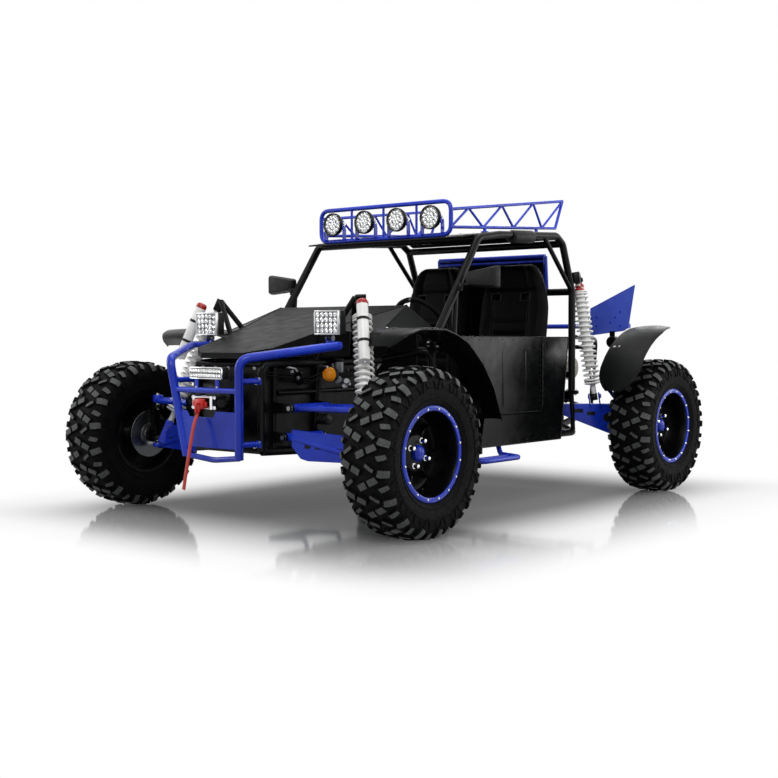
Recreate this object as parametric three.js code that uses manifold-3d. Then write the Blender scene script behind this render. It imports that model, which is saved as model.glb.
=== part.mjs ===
// Off road go kart: two-seat buggy with a tube frame, roof light rack, winch and long-travel suspension.
// Millimetres, +Z up, front towards -Y, +X is the driver's left. Origin on the ground under the middle.

import * as THREE from 'three';
import { mergeVertices } from 'three/addons/utils/BufferGeometryUtils.js';
import Module from 'manifold-3d';

const wasm = await Module();
wasm.setup();

// Fits shared by every piece
const gap = 0.3;
const ballPlay = 4;
const overrun = 5;
const mergeTolerance = 1e-4;
const sheet = 3;
const tubeR = 19;
const braceR = 12.5;
const boltR = 8;
const towerLegShares = [0.42, 0.74];
const tubeSides = 6;
const braceSides = 4;
const roundSides = 8;
const pinSides = 6;
const tubeFlat = Math.cos(Math.PI / tubeSides);

// Wheels
const frontHalfTrack = 870;
const rearHalfTrack = 860;
const wheelbase = 2100;
const tyre = {
  radius: 355.5, width: 230, boreR: 184, beadR: 200, shoulder: 26, sideDrop: 68, beadInset: 20, beadLean: 2, sides: 18,
};
const tyreShoulderShare = 0.78;
const rim = {
  flangeR: 194, flange: 6, wall: 8, hubR: 30, dishOffset: 5, dishThick: 12, capR: 30, capHeight: 26, hubFace: 62,
};
const axleZ = tyre.radius * Math.cos(Math.PI / tyre.sides);
const axleY = wheelbase / 2;

// Lower frame
const frame = {
  noseX: 200, noseY: 1240, kneeX: 235, kneeY: 600, cabX: 500, cabFrontY: 420, cabRearY: 800,
  tailX: 300, tailY: 1330, tailNeckX: 330, tailNeckY: 950,
  lowZ: 310, noseZ: 330, tailZ: 400, upperNoseZ: 700, upperKneeX: 290, upperKneeY: 560, upperKneeZ: 712,
  shoulderX: 505, shoulderY: 455, shoulderZ: 762, bend: 60, midY: 150, postFrontY: 1170, postRearY: 930,
  seatRailZ: 360, seatRailFrontY: 220, seatRailRearY: 480, tailTopZ: 760,
};

// Roll cage
const cage = {
  halfWidth: 512, footX: 518, footY: 462, footZ: 790, headerY: 101, headerZ: 1290, domeY: 84, domeZ: 1316,
  rearY: 598, rearZ: 1342, bendY: 662, bendZ: 1304, waistY: 760, waistZ: 1057, heelY: 762, heelZ: 534,
  bend: 45, stayTopY: 470, braceTopZ: 1040, braceTopY: 300, braceFootY: 300, braceFootZ: 812,
  screenHalf: 354, screenZ: 1251, screenY: 745, screenR: 12, flange: 6, flangeHalf: 32, lowBarZ: 620, tailRootZ: 820,
};

// Roof skin, light hoop and rack
const roof = { halfWidth: 488, visorY: 204 };
const hoop = {
  halfWidth: 416, y: 188, topZ: 1476, tube: 11, bend: 48,
  trussFrontLowZ: 1340, trussFrontTopZ: 1425, trussRearLowY: 744, trussRearTopY: 814,
  trussRearLowZ: 1396, trussRearTopZ: 1545, trussTube: 8, webTube: 6.5, webs: 7, footR: 9, footShares: [0.3, 0.8],
};
const roofLamp = {
  z: 1390, radius: 58, depth: 46, rimLip: 6, earGap: 1, earThick: 4, earWidth: 18, sides: 8, ahead: 14,
  pinR: 4, pinDepth: 12,
};

// Hood and dash
const hood = {
  rearX: 400, rearY: 503, rearZ: 963, waistX: 265, waistY: 950, noseX: 235, noseY: 1207, tipX: 131, tipY: 1283,
  tipZ: 749, skirtZ: 724, sideX: 500, sideY: 840, sideZ: 822, sideRearX: 516, sideRearY: 440, sideRearZ: 850,
};
const dash = {
  y: 470, topHalf: 380, midHalf: 431, midZ: 880, lowZ: 620, topZ: 948, podX: 0, podWidth: 240, podDepth: 70, podHeight: 90, shelf: 30,
};

// Sheet-metal tub, doors, fenders
const tub = {
  sideX: 548, floorZ: 326.9, floorHalf: 475, rearY: 675, sillLowZ: 288, sillTopZ: 436, sillTipY: 119, sillTopY: 92,
  quarterFrontY: 413, quarterTopY: 668, quarterLowY: 597, quarterTopZ: 818, wallTopZ: 600,
};
const door = {
  rearY: 405, topZ: 820, lowZ: 441, frontTopY: 296, frontTopZ: 700, frontMidY: 178, frontMidZ: 600, frontLowY: 78,
  hingeR: 4, hingeLowZ: 455, hingeTopZ: 785, handleY: 220, handleLength: 90, handleZ: 780, handleR: 5, handleReach: 22,
};
const fender = {
  innerX: 553, outerTopX: 800, outerLowX: 650, thick: 4, tipR: 60, tipY: 1016, tipZ: 821, crownY: 941, crownZ: 853, flatY: 741,
  bendY: 606, bendZ: 831, slopeY: 487, slopeZ: 795, midY: 317, midZ: 694, lowY: 196, lowZ: 585, endY: 96, endZ: 430,
  padX: 536.2, padDrop: 4, padSize: 28,
};
const rearFender = { innerX: 722, outerX: 950, radius: 455, riseShare: 0.17, thick: 4, startDegrees: 155, endDegrees: 78 };

// Front bumper, lamps, winch
const ledBar = { width: 200, height: 50, depth: 45, y: 1357, z: 663 };
const bumper = {
  lowX: 164, lowY: 1339, lowZ: 300, kneeX: 216, kneeY: 1388, kneeZ: 724, endX: 454, endY: 1040, endZ: 779,
  bend: 55, crossZ: 589, stayZ: 630, lowStayZ: 362, pad: 8, plateTopZ: 500, plateLowZ: 342, plateHalf: 160,
  plateNotchZ: 474, plateThick: 4, skidZ: 288, skidY: 1330, mountR: 15,
};
const winch = {
  x: -40, z: 536, drumR: 34, motorR: 42, length: 250, y: 1306, rollerR: 9, plateWidth: 150, plateHeight: 64,
  hookY: 1388, hookZ: 528, hookDrop: 34,
};
const cubeLamp = {
  x: 376, y: 1002, z: 878, width: 140, height: 105, depth: 55, pivotZ: 812, pivotR: 6, earWidth: 26,
};

// Cabin
const seat = {
  x: 250, width: 420, baseZ: 372.8, cushionFrontY: 110, cushionRearY: 520, cushionThick: 120, backThick: 110,
  topY: 600, topZ: 1205, bolster: 26, crown: 18, headShare: 0.6, shoulderShare: 0.68,
};
const seatDraw = 0.05;
const cushionEdge = 0.86;
const wingStart = 0.5;
const steering = {
  x: 270, y: 235, z: 867, ringR: 160, gripR: 14, dropShare: 0.56, columnR: 12, columnLength: 330, hubR: 34,
  hubThick: 22, boss: 24, collar: 6, collarR: 19,
};
const pedal = {
  throttleX: 170, brakeX: 290, pivotY: 435, pivotZ: 640, armLength: 200, padWidth: 70, padHeight: 76, padThick: 12, hubR: 12, hubHalf: 10, pinR: 5,
};
const shifter = { y: 150, z: 385, length: 250, rodR: 7, knobR: 24, hubR: 15, hubHalf: 8, pinR: 5 };
const mirror = { x: 642, y: 255, z: 1092, width: 178, height: 104, depth: 46, armR: 8, pivotX: 546, pivotZ: 1058, collar: 10, pinR: 6 };

// Front suspension
const lowerArm = { pivotX: 262, pivotZ: 388, tubeR: 15, plateTopZ: 422, plateLowZ: 290, plateThick: 8 };
const upperArm = {
  pivotX: 300, pivotZ: 514, tubeR: 13, elbowX: 628, frontElbowY: 1104, rearElbowY: 936, bend: 30,
};
const ballDrop = 50.1;
const ballRise = 154.9;
const kingpin = {
  x: 695, lowZ: axleZ - ballDrop, highZ: axleZ + ballRise, ballR: 16, socketR: 26, socketHalf: 9, studR: 10, shoulderR: 14, lugHalf: 10, lugGap: 6,
};
const bushR = 18;
const earThick = 8;
const spindleR = 29.5;

// Rear suspension
const trailing = {
  pivotY: 700, pivotZ: 440, innerX: 352, outerX: 468, hubX: 700, pivotLowZ: 415, pivotTopZ: 462, hubLowZ: 268,
  hubTopZ: 462, boxThick: 44, innerR: 20, holeR: 26, holeShare: 0.74, hubInset: 55, nearInset: 36,
};

// Coil-over shocks
const strut = {
  eyeR: 20, eyeHalf: 14, coilR: 39, wireR: 5, bodyR: 25, rodR: 11, seatThick: 8, seatZ: 66, rodTop: 116,
  boreTop: 60, lowerSeat: 78, tankR: 25, tankOffset: 74, neckR: 13, bodyShare: 0.76, topHalf: 15, footHalf: 20, wall: 6,
  sides: 8,
};
const frontStrut = { topX: 450, topY: -882, topZ: 959, footX: 620, footY: -1045, footZ: 400, turns: 12, tank: 275, tankSide: 1 };
const rearStrut = { topX: 498, topY: 838, topZ: 1120, footX: 592, footY: 866, footZ: 500, turns: 13, tank: 230, tankSide: -1 };
const coilSteps = 8;
const wireSides = 5;

// Power train and tail
const motor = {
  y: 1010, z: 520, width: 420, length: 330, height: 240, headR: 80, headHeight: 190, coverR: 120, coverX: 214,
  coverThick: 46, pipeR: 22, muffR: 70, muffLength: 420, muffY: 1285, muffZ: 640, mountZ: 421,
};
const tail = {
  y: 1300, innerX: 308, outerX: 594, innerTopZ: 979, outerTopZ: 1109, lowZ: 826, outerLowX: 527, outerLowZ: 852, heelX: 555, heelZ: 870,
  barR: 14, barZ: 880, legX: 290, lampX: 452, lampZ: 790, lampR: 34, lampDepth: 40,
};
const step = { innerX: 536, outerX: 690, z: 246, frontY: 330, rearY: 10, tubeR: 12.5, bend: 30 };
const strap = { width: 20, thick: 3 };

const paints = {
  blue: { color: 0x2737b8, roughness: 0.35, metalness: 0.3 },
  black: { color: 0x141414, roughness: 0.35, metalness: 0.3 },
  panel: { color: 0x262626, roughness: 0.45, metalness: 0.2 },
  rubber: { color: 0x1b1b1b, roughness: 0.9, metalness: 0 },
  white: { color: 0xf2f2f2, roughness: 0.4, metalness: 0 },
  chrome: { color: 0xd8dade, roughness: 0.15, metalness: 1 },
  lamp: { color: 0xb8bcc0, roughness: 0.2, metalness: 0.6 },
  leather: { color: 0x101010, roughness: 0.7, metalness: 0 },
  alloy: { color: 0x9a9ca0, roughness: 0.45, metalness: 0.8 },
  red: { color: 0xc2261c, roughness: 0.5, metalness: 0 },
};

const group = new THREE.Group();
const xAxis = new THREE.Vector3(1, 0, 0);
const yAxis = new THREE.Vector3(0, 1, 0);
const zAxis = new THREE.Vector3(0, 0, 1);
const sides = [['left', 1], ['right', -1]];

const at = (x, y, z) => new THREE.Vector3(x, y, z);
// Radius of a faceted bore whose flats clear a pin
const bored = (pinR, count = pinSides) => (pinR + gap) / Math.cos(Math.PI / count);
const lerp = (a, b, share) => a + (b - a) * share;
const between = (a, b, share) => a.clone().lerp(b, share);

// A closed three.js geometry becomes a solid with its faces outwards
function solid(geometry) {
  const loose = geometry.index ? geometry.toNonIndexed() : geometry.clone();
  loose.deleteAttribute('normal');
  loose.deleteAttribute('uv');
  const merged = mergeVertices(loose, mergeTolerance);
  const points = merged.attributes.position.array;
  const index = merged.index.array;
  const faces = [];
  let volume = 0;
  const [a, b, c] = [at(), at(), at()];
  for (let i = 0; i < index.length; i += 3) {
    const [p, q, r] = [index[i], index[i + 1], index[i + 2]];
    if (p === q || q === r || r === p) continue;
    faces.push([p, q, r]);
    a.fromArray(points, 3 * p);
    b.fromArray(points, 3 * q);
    c.fromArray(points, 3 * r);
    volume += a.dot(b.cross(c));
  }
  const triangles = faces.flatMap(([p, q, r]) => (volume < 0 ? [p, r, q] : [p, q, r]));
  return new wasm.Manifold(new wasm.Mesh({
    numProp: 3, vertProperties: Float32Array.from(points), triVerts: Uint32Array.from(triangles),
  }));
}

const join = (...parts) => parts.flat(Infinity).reduce((whole, part) => whole.add(part));

function addMesh(name, shape, paint, place) {
  const mesh = shape.simplify(gap / 3).getMesh();
  const geometry = new THREE.BufferGeometry();
  geometry.setAttribute('position', new THREE.BufferAttribute(mesh.vertProperties, 3));
  geometry.setIndex(new THREE.BufferAttribute(mesh.triVerts, 1));
  const piece = new THREE.Mesh(geometry, new THREE.MeshStandardMaterial(paints[paint]));
  piece.name = name;
  if (place) place(piece);
  group.add(piece);
  return piece;
}

// Straight round bar from a to b
function bar(a, b, radius, count = radius > braceR ? tubeSides : braceSides, endRadius = radius) {
  const length = a.distanceTo(b);
  const geometry = new THREE.CylinderGeometry(endRadius, radius, length, count);
  geometry.applyQuaternion(new THREE.Quaternion().setFromUnitVectors(yAxis, b.clone().sub(a).normalize()));
  const middle = between(a, b, 0.5);
  geometry.translate(middle.x, middle.y, middle.z);
  return solid(geometry);
}

// Path of straight runs and round bends, with a station at each end of a run and along each bend
class BentPath extends THREE.Curve {
  constructor(corners, bend, bendSteps = 3) {
    super();
    this.stations = [];
    const last = corners.length - 1;
    const push = (point, tangent) => this.stations.push({ point, tangent: tangent.clone().normalize() });
    push(corners[0], corners[1].clone().sub(corners[0]));
    for (let i = 1; i < last; i += 1) {
      const into = corners[i].clone().sub(corners[i - 1]).normalize();
      const out = corners[i + 1].clone().sub(corners[i]).normalize();
      const turn = into.angleTo(out);
      const cut = bend * Math.tan(turn / 2);
      const start = corners[i].clone().addScaledVector(into, -cut);
      const end = corners[i].clone().addScaledVector(out, cut);
      const arc = new THREE.QuadraticBezierCurve3(start, corners[i], end);
      for (let k = 0; k <= bendSteps; k += 1) push(arc.getPoint(k / bendSteps), arc.getTangent(k / bendSteps));
    }
    push(corners[last], corners[last].clone().sub(corners[last - 1]));
  }

  station(u) {
    return this.stations[Math.round(u * (this.stations.length - 1))];
  }

  getPoint(u) {
    return this.station(u).point.clone();
  }

  getPointAt(u) {
    return this.getPoint(u);
  }

  getTangentAt(u) {
    return this.station(u).tangent.clone();
  }

  getSpacedPoints(count) {
    return Array.from({ length: count + 1 }, (_, i) => this.getPoint(i / count));
  }
}

function ringShape(radius, count) {
  const points = Array.from({ length: count }, (_, i) => {
    const angle = (2 * Math.PI * (i + 0.5)) / count;
    return new THREE.Vector2(radius * Math.cos(angle), radius * Math.sin(angle));
  });
  return new THREE.Shape(points);
}

function bentTube(corners, radius, bend, count = radius > braceR ? tubeSides : braceSides, bendSteps = 1) {
  const path = new BentPath(corners, bend, bendSteps);
  const steps = path.stations.length - 1;
  return solid(new THREE.ExtrudeGeometry(ringShape(radius, count), { extrudePath: path, steps, bevelEnabled: false }));
}

function block(centre, width, depth, height) {
  const geometry = new THREE.BoxGeometry(width, depth, height);
  geometry.translate(centre.x, centre.y, centre.z);
  return solid(geometry);
}

// Flat outline pushed along one axis: the outline's pairs are the two other axes in X, Y, Z order
function prism(axis, outline, from, to) {
  const shape = new THREE.Shape(outline.map(([p, q]) => new THREE.Vector2(p, q)));
  const geometry = new THREE.ExtrudeGeometry(shape, { depth: Math.abs(to - from), bevelEnabled: false });
  const low = Math.min(from, to);
  const matrix = new THREE.Matrix4();
  if (axis === 'x') matrix.makeBasis(yAxis, zAxis, xAxis).setPosition(low, 0, 0);
  if (axis === 'y') matrix.makeBasis(xAxis, zAxis, yAxis).setPosition(0, low, 0);
  if (axis === 'z') matrix.setPosition(0, 0, low);
  geometry.applyMatrix4(matrix);
  return solid(geometry);
}

// Flat plate through coplanar corners, thick on one side
function plate(corners, thick) {
  const u = corners[1].clone().sub(corners[0]).normalize();
  const n = u.clone().cross(corners[2].clone().sub(corners[0])).normalize();
  const v = n.clone().cross(u);
  const shape = new THREE.Shape(corners.map((p) => {
    const d = p.clone().sub(corners[0]);
    return new THREE.Vector2(d.dot(u), d.dot(v));
  }));
  const geometry = new THREE.ExtrudeGeometry(shape, { depth: thick, bevelEnabled: false });
  geometry.applyMatrix4(new THREE.Matrix4().makeBasis(u, v, n).setPosition(corners[0]));
  return solid(geometry);
}

// Curved sheet: a line of [y, z] points made thick and pushed along X
function curvedSheet(line, thick, from, to) {
  const points = line.map(([y, z]) => new THREE.Vector2(y, z));
  const offset = points.map((p, i) => {
    const before = points[Math.max(i - 1, 0)];
    const after = points[Math.min(i + 1, points.length - 1)];
    const along = after.clone().sub(before).normalize();
    return new THREE.Vector2(p.x - along.y * thick, p.y + along.x * thick);
  });
  return prism('x', [...points, ...offset.reverse()].map((p) => [p.x, p.y]), from, to);
}

// Turned part about the line through centre along axis: profile pairs are radius and place along the axis
function turned(profile, axis, centre, count = roundSides) {
  const geometry = new THREE.LatheGeometry(profile.map(([r, t]) => new THREE.Vector2(r, t)), count);
  geometry.rotateY(Math.PI / count);
  geometry.applyQuaternion(new THREE.Quaternion().setFromUnitVectors(yAxis, axis));
  geometry.translate(centre.x, centre.y, centre.z);
  return solid(geometry);
}

function tubeRing(axis, centre, outer, inner, half, count = roundSides) {
  return turned([[inner, -half], [outer, -half], [outer, half], [inner, half], [inner, -half]], axis, centre, count);
}

// Wheels: tyre with rounded shoulders, rim with a dish and a beadlock ring flange
function tyreSolid(centre, side) {
  const half = tyre.width / 2;
  const seat = tyre.boreR;
  const bead = half - tyre.beadInset;
  const tread = half * tyreShoulderShare;
  const profile = [
    [seat, -bead + tyre.beadLean], [tyre.beadR, -bead], [tyre.radius - tyre.sideDrop, -half],
    [tyre.radius, -tread], [tyre.radius, tread],
    [tyre.radius - tyre.sideDrop, half], [tyre.beadR, bead], [seat, bead - tyre.beadLean], [seat, -bead + tyre.beadLean],
  ];
  return turned(profile, at(side, 0, 0), centre, tyre.sides);
}

function rimSolid(centre, side) {
  const barrelR = tyre.boreR - gap;
  const inner = barrelR - rim.wall;
  const face = tyre.width / 2 - tyre.beadInset + gap;
  const edge = face + rim.flange;
  const boreEnd = rim.dishOffset + rim.dishThick;
  const back = rim.dishOffset;
  const profile = [
    [0, boreEnd + rim.capHeight], [rim.capR, boreEnd + rim.capHeight], [rim.hubFace, boreEnd],
    [inner, boreEnd], [inner, edge], [rim.flangeR, edge], [rim.flangeR, face], [barrelR, face], [barrelR, -edge],
    [inner, -edge], [inner, back], [rim.hubR, back], [rim.hubR, boreEnd], [0, boreEnd],
  ];
  return turned(profile, at(side, 0, 0), centre, tyre.sides);
}

const wheelSpots = [
  ['front_left', 1, frontHalfTrack, -axleY], ['front_right', -1, frontHalfTrack, -axleY],
  ['rear_left', 1, rearHalfTrack, axleY], ['rear_right', -1, rearHalfTrack, axleY],
];
for (const [name, side, half, y] of wheelSpots) {
  const centre = at(side * half, y, axleZ);
  addMesh(`tyre_${name}`, tyreSolid(centre, side), 'rubber');
  addMesh(`rim_${name}`, rimSolid(centre, side), 'black');
}

// Strut frame: origin at the top eye, z up the strut, y the way its foot swings, x the swing axis
function strutFrame(size, side, hinge, pivot) {
  const top = at(side * size.topX, size.topY, size.topZ);
  const foot = at(side * size.footX, size.footY, size.footZ);
  const up = top.clone().sub(foot).normalize();
  const motion = hinge.clone().cross(foot.clone().sub(pivot));
  const swing = motion.clone().addScaledVector(up, -motion.dot(up)).normalize();
  const across = swing.clone().cross(up);
  return { top, foot, length: top.distanceTo(foot), matrix: new THREE.Matrix4().makeBasis(across, swing, up).setPosition(top) };
}

const strutPlace = (spot) => (piece) => piece.applyMatrix4(spot.matrix);
const placed = (shape, matrix) => shape.transform(matrix.elements);

function strutBody(spot, size) {
  const low = -spot.length * strut.bodyShare;
  const seatTop = -strut.seatZ + strut.seatThick;
  const shell = turned([
    [strut.rodR + gap, -strut.boreTop], [strut.rodR + gap, low], [strut.bodyR, low], [strut.bodyR, -strut.seatZ],
    [strut.coilR + strut.wireR, -strut.seatZ], [strut.coilR + strut.wireR, seatTop], [strut.neckR, seatTop],
    [strut.neckR, -strut.eyeR / 2], [0, -strut.eyeR / 2], [0, -strut.boreTop], [strut.rodR + gap, -strut.boreTop],
  ], zAxis, at(0, 0, 0), strut.sides);
  const eye = bar(at(-strut.eyeHalf, 0, 0), at(strut.eyeHalf, 0, 0), strut.eyeR, strut.sides);
  const tankY = size.tankSide * strut.tankOffset;
  const tankTop = -strut.eyeR;
  const tank = bar(at(0, tankY, tankTop), at(0, tankY, tankTop - size.tank), strut.tankR, strut.sides);
  const bridgeHeight = strut.seatThick * 2;
  const bridge = block(at(0, tankY / 2, seatTop), strut.neckR, Math.abs(tankY), bridgeHeight);
  const bore = bar(at(-strut.eyeHalf - overrun, 0, 0), at(strut.eyeHalf + overrun, 0, 0), bored(boltR), pinSides);
  return join(shell, eye, tank, bridge).subtract(bore);
}

function strutRod(spot) {
  const seatZ = -(spot.length - strut.lowerSeat);
  const foot = -spot.length;
  const rod = turned([
    [0, -strut.rodTop], [strut.rodR, -strut.rodTop], [strut.rodR, seatZ], [strut.coilR + strut.wireR, seatZ],
    [strut.coilR + strut.wireR, seatZ - strut.seatThick], [strut.neckR, seatZ - strut.seatThick * 2],
    [strut.neckR, foot], [0, foot],
  ], zAxis, at(0, 0, 0), strut.sides);
  const eye = bar(at(-strut.eyeHalf, 0, foot), at(strut.eyeHalf, 0, foot), strut.eyeR, strut.sides);
  return join(rod, eye);
}

// Spring wire: a run straight off the top seat, the curls, and a run straight on to the lower seat
function coilSpring(spot, turns) {
  const top = -strut.seatZ - gap;
  const bottom = -(spot.length - strut.lowerSeat) + gap;
  const lead = 2 * strut.wireR;
  const steps = turns * coilSteps;
  const centres = [at(strut.coilR, 0, top), at(strut.coilR, 0, top - lead)];
  for (let i = 1; i <= steps; i += 1) {
    const angle = (2 * Math.PI * i) / coilSteps;
    const z = lerp(top - lead, bottom + lead, i / steps);
    centres.push(at(strut.coilR * Math.cos(angle), strut.coilR * Math.sin(angle), z));
  }
  centres.push(at(strut.coilR, 0, bottom));
  const positions = [];
  const index = [];
  const last = centres.length - 1;
  const up = at();
  centres.forEach((centre, i) => {
    const tangent = centres[Math.min(i + 1, last)].clone().sub(centres[Math.max(i - 1, 0)]).normalize();
    const outward = at(centre.x, centre.y, 0).normalize();
    outward.addScaledVector(tangent, -outward.dot(tangent)).normalize();
    up.crossVectors(tangent, outward);
    for (let k = 0; k < wireSides; k += 1) {
      const angle = (2 * Math.PI * k) / wireSides;
      const point = centre.clone().addScaledVector(outward, strut.wireR * Math.cos(angle));
      point.addScaledVector(up, strut.wireR * Math.sin(angle));
      positions.push(...point.toArray());
    }
  });
  for (let i = 0; i < last; i += 1) {
    for (let k = 0; k < wireSides; k += 1) {
      const [a, b] = [i * wireSides + k, i * wireSides + ((k + 1) % wireSides)];
      index.push(a, b, b + wireSides, a, b + wireSides, a + wireSides);
    }
  }
  for (const [start, flip] of [[0, true], [last * wireSides, false]]) {
    for (let k = 1; k < wireSides - 1; k += 1) {
      index.push(start, start + (flip ? k + 1 : k), start + (flip ? k : k + 1));
    }
  }
  const geometry = new THREE.BufferGeometry();
  geometry.setAttribute('position', new THREE.Float32BufferAttribute(positions, 3));
  geometry.setIndex(index);
  let least = Infinity;
  const span = Math.floor(coilSteps / 2);
  for (let i = 0; i <= last; i += 1) {
    for (let j = i + span; j <= last; j += 1) least = Math.min(least, centres[i].distanceTo(centres[j]));
  }
  console.log(`spring of ${turns} curls, least gap to itself ${(least - 2 * strut.wireR).toFixed(2)} mm`);
  return solid(geometry);
}

// Two walls either side of an eye, in the strut's own frame
function clevis(half, low, high, front = strut.eyeR) {
  const x = half + strut.wall / 2;
  const depth = front + strut.eyeR;
  return [-x, x].map((wall) => block(at(wall, front - depth / 2, (low + high) / 2), strut.wall, depth, high - low));
}

const struts = {};
for (const [name, side] of sides) {
  const frontPivot = at(side * lowerArm.pivotX, -axleY, lowerArm.pivotZ);
  const rearPivot = at(side * trailing.outerX, trailing.pivotY, trailing.pivotZ);
  struts[`front_${name}`] = { size: frontStrut, spot: strutFrame(frontStrut, side, at(0, -side, 0), frontPivot) };
  struts[`rear_${name}`] = { size: rearStrut, spot: strutFrame(rearStrut, side, at(1, 0, 0), rearPivot) };
}
for (const [name, { size, spot }] of Object.entries(struts)) {
  addMesh(`shock_body_${name}`, strutBody(spot, size), 'white', strutPlace(spot));
  addMesh(`shock_rod_${name}`, strutRod(spot), 'chrome', strutPlace(spot));
  addMesh(`spring_${name}`, coilSpring(spot, size.turns), 'white', strutPlace(spot));
}

// Pin through the walls of a clevis at a strut's top, in the strut's own frame
const strutPin = () => {
  const reach = strut.topHalf + strut.wall;
  return bar(at(-reach, 0, 0), at(reach, 0, 0), boltR, pinSides);
};

// Head of a front shock tower, beside the top clevis
const towerApex = (spot, side) => at(side * (strut.topHalf + strut.wall + braceR / 2), 0, strut.eyeR * 1.6).applyMatrix4(spot.matrix);

// Front arms and kingpins
function armSocket(centre) {
  return tubeRing(zAxis, centre, kingpin.socketR, kingpin.ballR + gap, kingpin.socketHalf);
}

function hingeTube(x, z) {
  const from = -frame.postFrontY + earThick / 2 + gap;
  const to = -frame.postRearY - earThick / 2 - gap;
  return tubeRing(yAxis, at(x, (from + to) / 2, z), bushR, boltR + gap, (to - from) / 2);
}

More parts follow.
